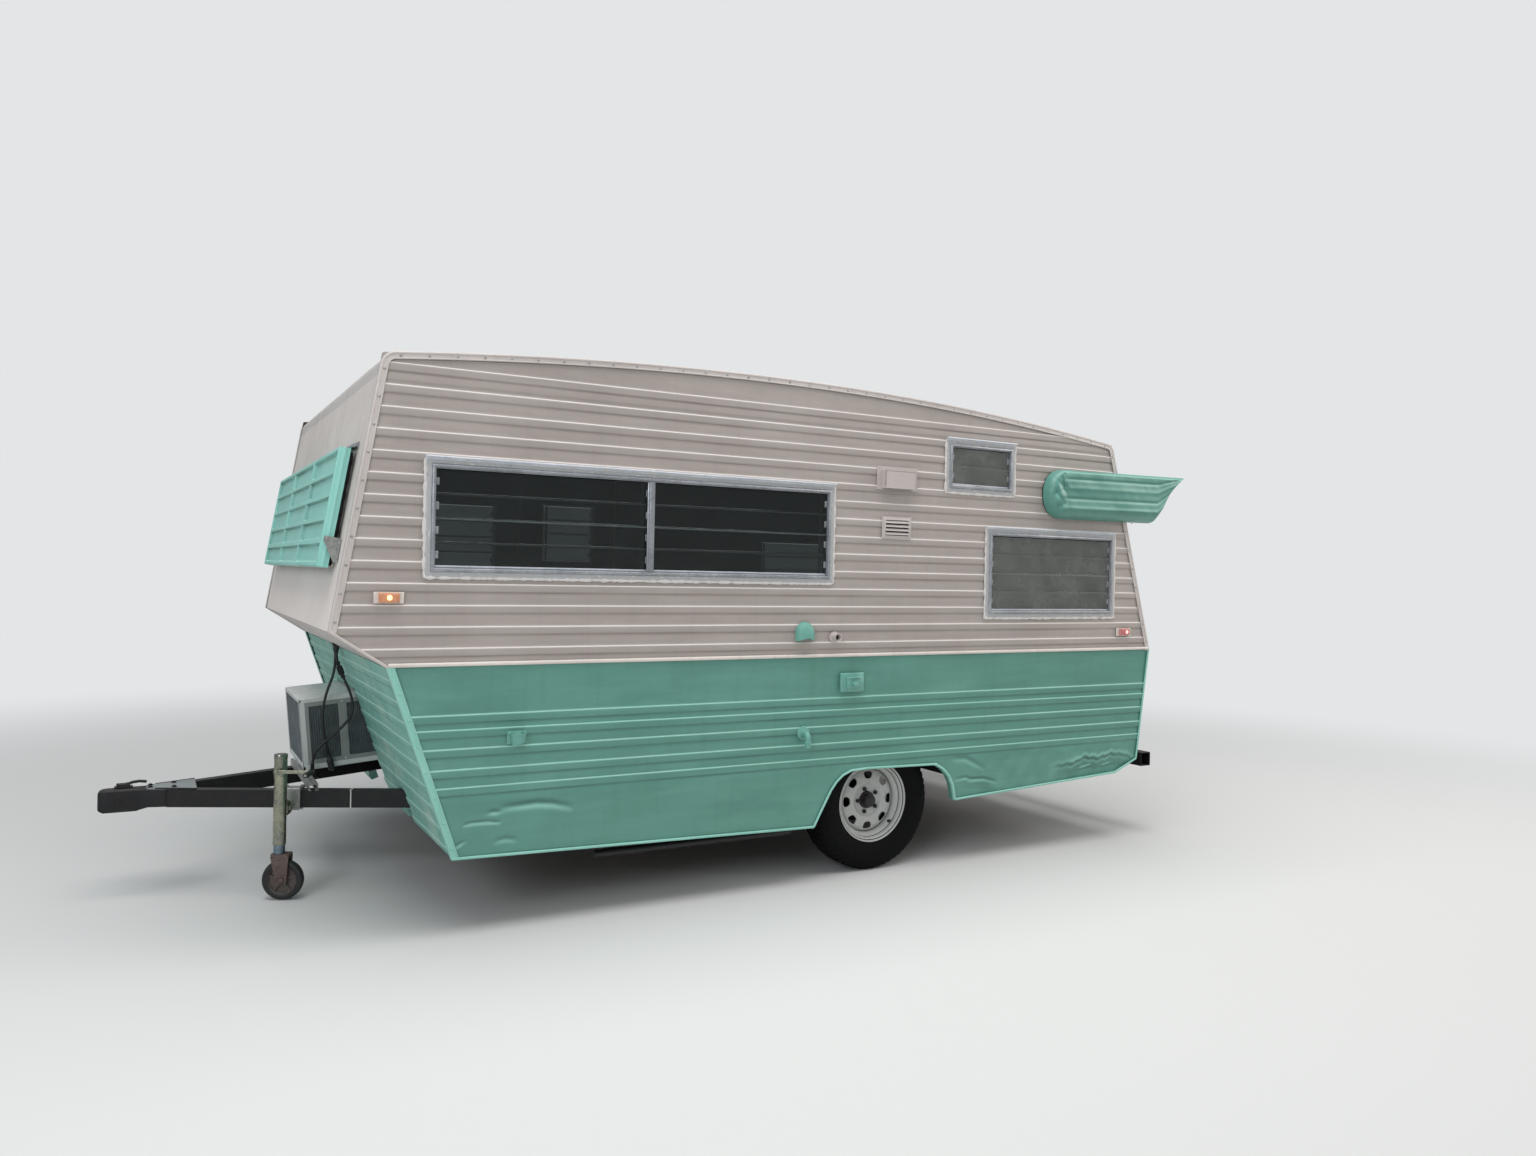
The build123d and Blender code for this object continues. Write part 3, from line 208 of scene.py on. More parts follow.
# %% [markdown]
# Most small parts are a section carried along a path: a rail, a bead of sealant, a bent wire, a lug.
# At each point of the path the section lies in the plane that halves the turn there, so that corners
# come out mitred, as a joiner cuts them.

# %% Sections along a path


def unit(v):
    v = np.asarray(v, dtype=float)
    return v / np.linalg.norm(v, axis=-1, keepdims=True)


def lengths_along(line):
    """The distance run at each point of a line."""
    return np.concatenate([[0], np.cumsum(np.linalg.norm(np.diff(line, axis=0), axis=1))])


def on_line(marks, lengths, line):
    """The points, or normals, that a line has at some distances run."""
    return np.column_stack([np.interp(marks, lengths, column) for column in np.asarray(line).T])


def path_frames(path, closed, normal):
    """Direction, side and normal at each point: side = normal x direction, over cos(half turn)."""
    path = np.asarray(path, dtype=float)
    ahead = np.roll(path, -1, axis=0) - path
    behind = path - np.roll(path, 1, axis=0)
    if not closed:
        ahead[-1], behind[0] = behind[-1], ahead[0]
    ahead, behind = unit(ahead), unit(behind)
    along = unit(ahead + behind)
    normal = np.broadcast_to(np.asarray(normal, dtype=float), path.shape)
    side = unit(np.cross(normal, along))
    up_ = np.cross(along, side)
    stretch = 1 / np.clip((along * ahead).sum(axis=1, keepdims=True), 0.3, 1)
    return along, side, up_, stretch


def sweep(section, path, normal=(0, 0, 1), closed=False, size=1.0):
    """Point (i, j) = path[i] + size[i] * (section[j].x * side * stretch + section[j].y * normal).

    The section is a closed ring of (across, out) pairs. Open paths end in flat caps.
    """
    path = np.asarray(path, dtype=float)
    section = np.asarray(section, dtype=float)
    along, side, out, stretch = path_frames(path, closed, normal)
    size = np.broadcast_to(np.asarray(size, dtype=float), (len(path),))[:, None, None]
    points = path[:, None, :] + size * (section[None, :, :1] * (side * stretch)[:, None, :]
                                        + section[None, :, 1:] * out[:, None, :])
    rows, cols = len(path), len(section)
    faces = [grid_faces(rows, cols, wrap_rows=closed, wrap_cols=True)]
    if not closed:
        faces += [np.arange(cols)[None, :], np.arange(cols)[None, ::-1] + (rows - 1) * cols]
    area = np.sum(section[:, 0] * np.roll(section[:, 1], -1) - np.roll(section[:, 0], -1) * section[:, 1])
    shape = points.reshape(-1, 3), faces
    return flip(shape) if area > 0 else shape


def ring(radius, count=16, flat=1.0):
    """A round section: (radius * cos a, flat * radius * sin a)."""
    a = np.linspace(0, 2 * np.pi, count, endpoint=False)
    return np.stack([radius * np.cos(a), flat * radius * np.sin(a)], axis=-1)


def rounded_box(width, height, radius=0.002, steps=3):
    """A rectangle's ring with quarter-circle corners."""
    a = np.linspace(0, np.pi / 2, steps + 1)
    corners = []
    for turn, (sx, sy) in enumerate([(1, 1), (-1, 1), (-1, -1), (1, -1)]):
        centre = np.array([sx * (width / 2 - radius), sy * (height / 2 - radius)])
        turned_a = a + turn * np.pi / 2
        corners.append(centre + radius * np.stack([np.cos(turned_a), np.sin(turned_a)], axis=-1))
    return np.vstack(corners)


def turned(profile, centre, axis, count=32):
    """A lathe shape: each (radius, distance) pair of the profile runs once round the axis."""
    profile = np.asarray(profile, dtype=float)
    axis = unit(axis)
    one = unit(np.cross(axis, [0.13, 0.29, 1.0] if abs(axis[2]) < 0.9 else [1.0, 0.2, 0.0]))
    two = np.cross(axis, one)
    a = np.linspace(0, 2 * np.pi, count, endpoint=False)
    spoke = np.cos(a)[:, None] * one + np.sin(a)[:, None] * two
    points = (np.asarray(centre, dtype=float) + profile[None, :, :1] * spoke[:, None, :]
              + profile[None, :, 1:] * axis)
    shape = points.reshape(-1, 3), [grid_faces(count, len(profile), wrap_rows=True, wrap_cols=True)]
    return weld(outward(shape))


def rod(radius, low, high, centre=(0, 0, 0), axis=(0, 0, 1), count=32):
    """A plain round bar between two distances along its axis."""
    return turned([[0, low], [radius, low], [radius, high], [0, high]], centre, axis, count)


def outward(shape):
    """Turns all faces over if the volume that they close comes out negative."""
    points, faces = shape
    volume = 0.0
    for block in faces:
        for k in range(1, block.shape[1] - 1):
            p, q, r = points[block[:, 0]], points[block[:, k]], points[block[:, k + 1]]
            volume += np.einsum("ij,ij->i", p, np.cross(q, r)).sum()
    return flip(shape) if volume < 0 else shape


def between(ends):
    """A bar through copies of one closed section: sides from each to the next, and a cap on both ends."""
    rows, cols = len(ends), len(ends[0])
    caps = [np.arange(cols)[None, :], np.arange(cols)[None, ::-1] + (rows - 1) * cols]
    return outward((np.concatenate(ends), [grid_faces(rows, cols, wrap_cols=True), *caps]))


def extruded(section, x0, x1):
    """A bar along X with one (y, z) section."""
    return between([np.column_stack([np.full(len(section), x), section]) for x in (x0, x1)])


def box(x0, x1, y0, y1, z0, z1, soft=0.0015):
    """A block with a small flat chamfer: a ring of eight points carried up, drawn in at both ends."""
    w, d = x1 - x0, y1 - y0
    soft = min(soft, 0.3 * min(w, d, z1 - z0))
    section = rounded_box(w, d, soft, 1)
    levels = np.array([[z0, 1.0], [z0 + soft, 0.0], [z1 - soft, 0.0], [z1, 1.0]])
    rings = []
    for z, drawn in levels:
        inner = section * [(w - 2 * soft * drawn) / w, (d - 2 * soft * drawn) / d]
        rings.append(np.column_stack([inner + [(x0 + x1) / 2, (y0 + y1) / 2], np.full(len(inner), z)]))
    return between(rings)


def placed(shape, origin, x_dir, y_dir, z_dir):
    """Carries a shape from its own axes to three given ones."""
    turn = np.array([x_dir, y_dir, z_dir], dtype=float)
    carried = shape[0] @ turn + np.asarray(origin, dtype=float), shape[1]
    return carried if np.linalg.det(turn) > 0 else flip(carried)


def stacked(section, levels):
    """Point (i, j) = (scale[i] * section[j], height[i]): an outline carried up and scaled at each level."""
    return between([np.column_stack([section * scale, np.full(len(section), z)]) for scale, z in levels])


def cut_plate(outline_xz, y0, y1):
    """A flat plate in the X-Z plane, between two distances along Y."""
    flat = stacked(np.asarray(outline_xz, dtype=float), [[1, 0], [1, 1]])
    x_, z_ = flat[0][:, 0], flat[0][:, 1]
    return outward((np.column_stack([x_, y0 + (y1 - y0) * flat[0][:, 2], z_]), flat[1]))


def rounded_outline(points, radius=0.006, steps=4):
    """Corners of a polygon replaced by short curves through the corner's two neighbours."""
    points = np.asarray(points, dtype=float)
    before, after = unit(np.roll(points, 1, axis=0) - points), unit(np.roll(points, -1, axis=0) - points)
    t = np.linspace(0, 1, steps + 1)[None, :, None]
    a, b = points + before * radius, points + after * radius
    curve = a[:, None] * (1 - t) ** 2 + points[:, None] * 2 * t * (1 - t) + b[:, None] * t ** 2
    return curve.reshape(-1, 2)


print("a test block has", face_count(box(0, 1, 0, 1, 0, 1)), "faces")

# %% [markdown]
# A finish starts from what the real thing is. Colours are written as the hex values that a colour picker
# shows, which are bent for the eye, so one function turns them into the straight light values that Blender
# mixes. One more adds a node, sets it and links it, so that each material reads as a short list.

# %% Colours and nodes


def colour(text):
    """An sRGB hex value as linear light."""
    srgb = np.array([int(text[i:i + 2], 16) / 255 for i in (0, 2, 4)])
    linear = np.where(srgb <= 0.04045, srgb / 12.92, ((srgb + 0.055) / 1.055) ** 2.4)
    return (*linear.tolist(), 1.0)


def add(tree, kind, inputs=None, **settings):
    """Adds a node. A value goes into its input, and a socket is linked to it."""
    node = tree.nodes.new(kind)
    for name, value in settings.items():
        setattr(node, name, value)
    for key, value in (inputs or {}).items():
        if isinstance(value, bpy.types.NodeSocket):
            tree.links.new(value, node.inputs[key])
        else:
            node.inputs[key].default_value = value
    return node


def new_material(name):
    """An empty material with a surface shader, and the place on the piece that its patterns read."""
    material = bpy.data.materials.new(name)
    material.use_nodes = True
    tree = material.node_tree
    tree.nodes.clear()
    output = add(tree, "ShaderNodeOutputMaterial")
    shader = add(tree, "ShaderNodeBsdfPrincipled")
    tree.links.new(shader.outputs["BSDF"], output.inputs["Surface"])
    where = add(tree, "ShaderNodeTexCoord").outputs["Object"]
    return material, tree, shader, where


def noise(tree, where, size, detail=3.0, rough=0.5, stretch=(1, 1, 1), shift=(0, 0, 0)):
    """Cloudy noise whose lumps are about size metres across, drawn out along an axis by stretch."""
    mapped = add(tree, "ShaderNodeMapping", {"Vector": where, "Location": shift,
                                             "Scale": tuple(1 / s for s in stretch)})
    return add(tree, "ShaderNodeTexNoise", {"Vector": mapped.outputs["Vector"], "Scale": 1 / size,
                                            "Detail": detail, "Roughness": rough}).outputs["Fac"]


def ramp(tree, value, *stops):
    """Blends between (place, colour) stops by a value from 0 to 1."""
    node = add(tree, "ShaderNodeValToRGB", {"Fac": value})
    band = node.color_ramp
    while len(band.elements) < len(stops):
        band.elements.new(0.5)
    for element, (place_, shade) in zip(band.elements, stops):
        element.position = place_
        element.color = shade
    return node.outputs["Color"]


def grey(level):
    return (level, level, level, 1.0)


def blend(tree, amount, under, over):
    """The under colour, with the over colour laid on by the amount."""
    node = add(tree, "ShaderNodeMix", data_type="RGBA")
    for socket, value in ((node.inputs[0], amount), (node.inputs[6], under), (node.inputs[7], over)):
        if isinstance(value, bpy.types.NodeSocket):
            tree.links.new(value, socket)
        else:
            socket.default_value = value
    return node.outputs[2]


def bump(tree, shader, height, strength, distance):
    node = add(tree, "ShaderNodeBump", {"Height": height, "Strength": strength, "Distance": distance})
    tree.links.new(node.outputs["Normal"], shader.inputs["Normal"])


def painted_on(piece_attribute, tree):
    """The value that a mesh carries on its points under this name, and 0 on a mesh without it."""
    return add(tree, "ShaderNodeAttribute", attribute_name=piece_attribute).outputs["Fac"]


# %% [markdown]
# The cabin's sheet is aluminium, rolled by hand with exterior house paint over the old enamel. That gives
# broad uneven patches, faint upright runs of grime below the windows and ribs, a fine roller texture,
# and a dull sheen. The meshes carry two values on their points. One makes the paint paler: on the ribs'
# crests partly where rags and rain rub it and partly as painted highlight on ledges that face up. The other
# makes it darker: under each band partly with dirt and partly as painted shade on steps that face down.
# On the dents, pods and guard the two values hold only painted highlight and painted shade, and on the
# prow the first holds painted light from below.

# %% House paint on aluminium sheet


def house_paint(name, base, patch, pale_and_highlight, dirt_and_shade, roughness, patch_size=0.5, grime=0.5, chalk=None):
    material, tree, shader, where = new_material(name)
    cloudy = noise(tree, where, patch_size, detail=5, rough=0.6)
    shade = ramp(tree, cloudy, (0.35, colour(base)), (0.65, colour(patch)))
    strokes = noise(tree, where, 0.05, detail=3, rough=0.6, stretch=(7, 7, 1))
    shade = blend(tree, ramp(tree, strokes, (0.45, grey(0)), (0.8, grey(0.09))), shade, colour(pale_and_highlight))
    runs = noise(tree, where, 0.05, detail=5, rough=0.65, stretch=(1, 1, 14))
    shade = blend(tree, ramp(tree, runs, (0.52, grey(0)), (0.8, grey(grime))), shade, colour(dirt_and_shade))
    if chalk:
        worn = noise(tree, where, 0.22, detail=6, rough=0.7, shift=(3.1, 0.7, 1.9))
        shade = blend(tree, ramp(tree, worn, (0.5, grey(0)), (0.72, grey(0.75))), shade, colour(chalk))
    # Darker by the groove value, broken up by noise: dirt and painted shade. Then paler by the next value:
    # worn paint and painted highlight.
    groove = painted_on("groove", tree)
    broken = noise(tree, where, 0.12, detail=4, stretch=(3, 3, 1))
    kept = add(tree, "ShaderNodeMath", {0: groove, 1: ramp(tree, broken, (0.3, grey(0.35)), (0.7, grey(1)))},
               operation="MULTIPLY").outputs["Value"]
    shade = blend(tree, kept, shade, colour(dirt_and_shade))
    shade = blend(tree, painted_on("pale_and_highlight", tree), shade, colour(pale_and_highlight))
    tree.links.new(shade, shader.inputs["Base Color"])
    sheen = noise(tree, where, 0.3, detail=4)
    tree.links.new(ramp(tree, sheen, (0.3, grey(roughness - 0.08)), (0.7, grey(roughness + 0.1))),
                   shader.inputs["Roughness"])
    roller = noise(tree, where, 0.004, detail=2)
    bump(tree, shader, roller, 0.25, 0.0006)
    return material


BEIGE = house_paint("house paint, warm beige", "ada39c", "a59b94", "f4ece7", "7d736c", 0.5, grime=0.14)
TRIM_BEIGE = house_paint("house paint, beige on the mouldings", "cfc6c1", "c2b9b4", "f7f1ed", "857a72", 0.4,
                         grime=0.2)
VENT_BEIGE = house_paint("house paint, beige on the vents", "c4bab5", "bcb2ad", "f3ebe6", "857a72", 0.45,
                         grime=0.1)
ROOF_PAINT = house_paint("house paint, pale roof", "c6c1bc", "bcb6b1", "dedad7", "989088", 0.55, 0.35,
                         grime=0.4)
FRONT_PAINT = house_paint("house paint, pale on the prow", "d9d1cb", "ccc3bd", "f6ece6", "a59a92", 0.5, 0.35,
                          grime=0.4)
GREEN = house_paint("house paint, sea green", "578b7d", "5f9486", "a2d8c8", "37605a", 0.42, grime=0.16)
BRIGHT_GREEN = house_paint("house paint, sea green in the light", "68a194", "74ada0", "a9dccf", "426f66", 0.4,
                           grime=0.25)
# Lighter than the wall's sea green: a painted highlight for the light on the skirt rails' rounded bead.
HIGHLIGHT_EDGE_GREEN = house_paint("house paint, sea green lightened as a painted highlight", "86c0b1", "94ccbe", "c3ebe1",
                         "4b7a72", 0.38, grime=0.15)
WING_GREEN = house_paint("house paint, sea green on the wings", "568c7f", "649a8d", "9ad0c2", "33594f", 0.36,
                         grime=0.12)
PALE_GREEN = house_paint("house paint, sea green on the guard", "8acdc0", "96d7ca", "c2efe5", "3f6c63", 0.42,
                         grime=0.15)
CHALKY_GREEN = house_paint("house paint, sea green gone chalky", "6ea99b", "7fbaac", "b8e0d4", "4d7a70", 0.55,
                           grime=0.45, chalk="b4ccbe")
print("paints", [m.name for m in (BEIGE, ROOF_PAINT, GREEN, BRIGHT_GREEN, CHALKY_GREEN)])

# %% [markdown]
# Mill-finish aluminium left outdoors grows a pale grey oxide: the metal still shines, but softly, with
# darker specks and streaks. A metal keeps its default index of refraction, and colour comes from its base.

# %% Bare and plated metals


def weathered_metal(name, clean, dull, spots, metallic, rough_low, rough_high, spot_size=0.012, amount=0.6):
    material, tree, shader, where = new_material(name)
    shade = ramp(tree, noise(tree, where, 0.09, detail=5, rough=0.65), (0.35, colour(clean)),
                 (0.65, colour(dull)))
    spotty = noise(tree, where, spot_size, detail=5, rough=0.75)
    spotted = ramp(tree, spotty, (0.52, grey(0)), (0.66, grey(amount)))
    tree.links.new(blend(tree, spotted, shade, colour(spots)), shader.inputs["Base Color"])
    tree.links.new(ramp(tree, spotty, (0.4, grey(rough_low)), (0.7, grey(rough_high))),
                   shader.inputs["Roughness"])
    shader.inputs["Metallic"].default_value = metallic
    bump(tree, shader, spotty, 0.2, 0.0008)
    return material


ALUMINIUM = weathered_metal("aluminium, weathered mill finish", "b4b7bb", "9a9da2", "76787a", 0.7, 0.32, 0.6)
# A paler, hardly metallic aluminium for the drip caps and the blades' lips: a painted highlight for the
# bright lines that they show.
HIGHLIGHT_ALUMINIUM = weathered_metal("aluminium, brightened as a painted highlight", "dfe3e9", "ccd1d8", "9a9c9e",
                                   0.15, 0.3, 0.5, 0.02, 0.35)
GALVANISED = weathered_metal("steel, hot-dip galvanised", "b9bab6", "a3a5a1", "7f8078", 0.7, 0.4, 0.65, 0.02)
ZINC = weathered_metal("steel, yellow zinc plate", "a3a48d", "80827b", "5a5038", 0.9, 0.22, 0.48, 0.016, 0.35)
BLUE_STEEL = weathered_metal("steel tube, drawn and oiled", "8294a0", "6a7a86", "4a4c4c", 0.9, 0.25, 0.5,
                             0.02, 0.4)
RUST = weathered_metal("steel, surface rust", "6f6059", "574a45", "3a2a22", 0.3, 0.7, 0.9, 0.008, 0.8)
FINS = weathered_metal("aluminium coil fins, dull", "7b8486", "656d70", "8c8f8a", 0.35, 0.45, 0.7, 0.02, 0.5)

# %% [markdown]
# The chassis is mild steel under brushed black enamel. Road dust settles on what faces up, and stone chips
# let rust through along the edges, so the finish mixes by the surface's own direction and by fine noise.

# %% Enamels, rubber, wood and plastics


def enamel(name, base, dust, chips, roughness, dust_amount=0.5, chip_amount=0.35, grain=0.003, shine=0.5):
    material, tree, shader, where = new_material(name)
    normal = add(tree, "ShaderNodeNewGeometry").outputs["Normal"]
    height = add(tree, "ShaderNodeSeparateXYZ", {"Vector": normal}).outputs["Z"]
    facing_up = ramp(tree, height, (0.2, grey(0.12)), (0.9, grey(dust_amount)))
    dusty = add(tree, "ShaderNodeMath", {0: facing_up, 1: noise(tree, where, 0.06, detail=5, rough=0.65)},
                operation="MULTIPLY").outputs["Value"]
    shade = blend(tree, dusty, colour(base), colour(dust))
    chipped = ramp(tree, noise(tree, where, 0.02, detail=6, rough=0.7, shift=(1.3, 2.1, 0.4)),
                   (0.6, grey(0)), (0.68, grey(chip_amount)))
    tree.links.new(blend(tree, chipped, shade, colour(chips)), shader.inputs["Base Color"])
    shader.inputs["Roughness"].default_value = roughness
    shader.inputs["Specular IOR Level"].default_value = shine
    bump(tree, shader, noise(tree, where, grain, detail=2), 0.25, 0.0006)
    return material


CHASSIS_BLACK = enamel("chassis enamel, black", "121316", "5e5852", "3d2a22", 0.5, shine=0.3)
PRIMER = enamel("steel plate, grey primer", "7e8488", "a5a49c", "5b4a40", 0.55, 0.5, 0.4)
COOLER_GREY = enamel("appliance enamel, faded grey", "7d837f", "a4a59c", "5c4a3a", 0.5, 0.45, 0.25)
WHEEL_WHITE = enamel("wheel enamel, chalky white", "b7b8b5", "9f988c", "5e5348", 0.5, 0.35, 0.45)
TYRE = enamel("tyre rubber", "08090a", "262321", "121110", 0.75, 0.14, 0.35, 0.002, shine=0.12)
RUBBER = enamel("rubber and PVC, black", "141517", "3a3733", "242220", 0.5, 0.3, 0.3, 0.0015)
GASKET = enamel("gasket foam, black", "101112", "2a2826", "1c1b1a", 0.8, 0.2, 0.4, 0.003)
PLY = enamel("plywood, aged", "5b4632", "6e5c48", "3c2c1e", 0.7, 0.3, 0.5, 0.004)
# The inside board is made near black: painted shade for the unlit inside that the windows show.
SHADE_LINING = enamel("wall board inside, darkened as painted shade", "1d1b1a", "262321", "151312", 0.75, 0.2, 0.4, 0.004)
SEALANT = enamel("butyl sealant, painted over", "dad5d1", "b8b2ab", "8a8580", 0.55, 0.3, 0.35, 0.003)
PAINTED_FLANGE = enamel("aluminium flange, brushed over with paint", "b6b6b6", "a09c97", "85827d", 0.5, 0.3,
                        0.6, 0.004)
VENT_PLASTIC = enamel("polypropylene, yellowed", "cfcabb", "a9a393", "8f8878", 0.5, 0.4, 0.2)
PLATE_WHITE = enamel("number plate, blank reflective sheet", "d9dad6", "b5b2a8", "a09a8c", 0.4, 0.3, 0.2)


def clear_plastic(name, tint, roughness, glow=0.0, glow_tint="ffffff"):
    """Lens acrylic: part of the light passes through, and fine noise mixes its two tints."""
    material, tree, shader, where = new_material(name)
    shade = ramp(tree, noise(tree, where, 0.02, detail=3), (0.4, colour(tint)), (0.7, colour(glow_tint)))
    tree.links.new(shade, shader.inputs["Base Color"])
    shader.inputs["Roughness"].default_value = roughness
    shader.inputs["Transmission Weight"].default_value = 0.35
    shader.inputs["IOR"].default_value = 1.49
    if glow:
        shader.inputs["Emission Color"].default_value = colour(tint)
        shader.inputs["Emission Strength"].default_value = glow
    return material


# The lenses glow faintly and the bulbs strongly: painted light for the bright centre that each lens shows.
AMBER = clear_plastic("acrylic lens, amber", "c98f6c", 0.25, 0.15, "dca585")
RED = clear_plastic("acrylic lens, red", "b87373", 0.25, 0.15, "cf9390")
GLOW_AMBER = clear_plastic("bulb, amber, glowing as a painted highlight", "ffd694", 0.3, 1.7, "ffe4b4")
GLOW_RED = clear_plastic("bulb, red, glowing as a painted highlight", "ffb4ae", 0.3, 1.3, "ffcfca")

# %% [markdown]
# The windows hold clear soda-lime glass, 5 mm thick. Glass has an index of refraction near 1.5 and almost no
# colour, but these blades are dusty, so broad patches of noise let less light through.

# %% Glass


def window_glass(name, tint, clear):
    """Dusty glass: clear is the share of light that the dust lets through, in broad patches."""
    material, tree, shader, where = new_material(name)
    shader.inputs["Base Color"].default_value = colour(tint)
    shader.inputs["IOR"].default_value = 1.5
    shader.inputs["Roughness"].default_value = 0.0
    dust = noise(tree, where, 0.14, detail=5, rough=0.65)
    see_through = ramp(tree, dust, (0.35, grey(clear)), (0.7, grey(clear ** 2)))
    tree.links.new(see_through, shader.inputs["Transmission Weight"])
    return material


GLASS = window_glass("soda-lime glass, dusty", "6f7775", 0.97)
# Paler and less clear than the rest: a painted reflection of the surroundings, on top of the same dust.
PAINTED_REFLECTION_GLASS = window_glass("soda-lime glass, paler as a painted reflection", "92948f", 0.70)

# %% [markdown]
# A piece is a mesh in the scene that rides on one body of the construction. Its object stays at the origin,
# because its place is in its points. It may stand for construction nodes, which are then hidden.

# %% Pieces


def as_piece(name, shape, material, body="trailer", stands_for=(), smooth=35, values=None, second=None):
    """Makes the mesh, shades it smooth below an edge angle in degrees, and rides it on its body.

    values holds numbers for each point, for the material to read. second is (material, face marks).
    """
    points, faces = shape
    mesh = bpy.data.meshes.new(name)
    mesh.from_pydata(points.tolist(), [], [row for block in faces for row in block.tolist()])
    mesh.materials.append(material)
    if second is not None:
        mesh.materials.append(second[0])
        mesh.polygons.foreach_set("material_index", np.asarray(second[1], dtype=np.int32))
    for key, numbers in (values or {}).items():
        held = mesh.attributes.new(key, "FLOAT", "POINT")
        held.data.foreach_set("value", np.asarray(numbers, dtype=np.float32))
    mesh.polygons.foreach_set("use_smooth", np.ones(len(mesh.polygons), dtype=bool))
    mesh.set_sharp_from_angle(angle=math.radians(smooth))
    mesh.update()
    made = bpy.data.objects.new(name, mesh)
    bpy.context.scene.collection.objects.link(made)
    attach(made, body)
    if stands_for:
        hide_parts(*stands_for)
    print(name, len(mesh.polygons), "faces")
    return made


def dress(node, material):
    """Gives a construction node that keeps its shape a finish of its own."""
    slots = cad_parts[node].material_slots
    if not slots:
        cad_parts[node].data.materials.append(material)
    for held in slots:
        held.material = material

# %% [markdown]
# The floor and the light come before the first surface, so that each piece can be looked at as it is made.
# Soft light from a wide panel overhead does what the sky did: it lights every ledge that faces up and leaves
# the steps that face down dark, and that is what draws the ribs.

# %% Floor, sky and lamps
ground = bpy.data.meshes.new("studio_floor")
ground.from_pydata([(-60, -60, 0), (60, -60, 0), (60, 60, 0), (-60, 60, 0)], [], [(0, 1, 2, 3)])
studio_floor = bpy.data.objects.new("studio_floor", ground)
bpy.context.scene.collection.objects.link(studio_floor)
floor_paint, floor_tree, floor_shader, floor_where = new_material("studio floor, pale")
floor_shader.inputs["Base Color"].default_value = colour("cfcfcd")
floor_shader.inputs["Roughness"].default_value = 0.8
ground.materials.append(floor_paint)

world = bpy.data.worlds.new("studio")
bpy.context.scene.world = world
world.use_nodes = True
sky = world.node_tree
sky.nodes.clear()
BACKDROP = colour("eef0f1")


def looked_at(tree):
    """1 for rays that look at a thing, from the camera or through glass, and 0 for those that light it."""
    rays = add(tree, "ShaderNodeLightPath").outputs
    either = {0: rays["Is Camera Ray"], 1: rays["Is Transmission Ray"]}
    return add(tree, "ShaderNodeMath", either, operation="MAXIMUM").outputs["Value"]


sky_seen = looked_at(sky)
lit = add(sky, "ShaderNodeBackground", {"Color": colour("e8edf2"), "Strength": 0.42})
shown = add(sky, "ShaderNodeBackground", {"Color": BACKDROP, "Strength": 0.9})
mixed = add(sky, "ShaderNodeMixShader",
            {0: sky_seen, 1: lit.outputs["Background"], 2: shown.outputs["Background"]})
add(sky, "ShaderNodeOutputWorld", {"Surface": mixed.outputs["Shader"]})

# Past the lamps the floor fades to the backdrop's own colour, for the rays that look at it and for no others
floor_seen = looked_at(floor_tree)
distance = add(floor_tree, "ShaderNodeVectorMath", {0: floor_where}, operation="LENGTH").outputs["Value"]
far = add(floor_tree, "ShaderNodeMapRange", {"Value": distance, "From Min": 3.2, "From Max": 9.0},
          interpolation_type="SMOOTHSTEP")
far_seen = add(floor_tree, "ShaderNodeMath", {0: far.outputs["Result"], 1: floor_seen}, operation="MULTIPLY")
backdrop = add(floor_tree, "ShaderNodeEmission", {"Color": BACKDROP, "Strength": 0.9})
faded = add(floor_tree, "ShaderNodeMixShader", {0: far_seen.outputs["Value"], 1: floor_shader.outputs["BSDF"],
                                                2: backdrop.outputs["Emission"]})
floor_end = [node for node in floor_tree.nodes if node.type == "OUTPUT_MATERIAL"][0]
floor_tree.links.new(faded.outputs["Shader"], floor_end.inputs["Surface"])


def lamp(name, place_, target, width, height, watts, tint):
    """A soft rectangular light at a place, turned to face a target."""
    data = bpy.data.lights.new(name, "AREA")
    data.shape = "RECTANGLE"
    data.size, data.size_y = width, height
    data.energy = watts
    data.color = colour(tint)[:3]
    holder = bpy.data.objects.new(name, data)
    bpy.context.scene.collection.objects.link(holder)
    away = unit(np.asarray(place_, dtype=float) - np.asarray(target, dtype=float))
    across_ = unit(np.cross([0, 1, 0] if abs(away[2]) > 0.95 else [0, 0, 1], away))
    upward = np.cross(away, across_)
    holder.matrix_world = standing(across_, upward, away, place_)


lamp("overhead", (0.3, 1.5, 7.5), (0.0, 0.6, 1.0), 9.0, 6.0, 620, "ffffff")
lamp("front_fill", (7.0, 7.0, 4.5), (0.5, 0.0, 1.0), 4.0, 3.0, 230, "f4f8ff")
lamp("rear_fill", (-6.5, 3.5, 4.0), (-1.0, 0.0, 1.2), 4.0, 3.0, 120, "fff8f0")
print("stage set")

# %% [markdown]
# The sheet is rolled into ribs: a crest with a sharp ledge above it, a band that stands out 4 mm, and a soft
# step back. One function gives how far out the sheet is at a height, from the height of the crest above.
# Its samples are placed closest where the metal bends.

# %% The rib profile
RIB_OUT, RIB_PITCH, FIRST_CREST = 0.0044, 0.0823, 1.115
RIB_TOP, SHY = RIB_OUT * 1.08, 0.0002
beige_crests = FIRST_CREST + RIB_PITCH * np.arange(14)
green_crests = np.array([0.576, 0.646, 0.726, 0.800, 0.857])

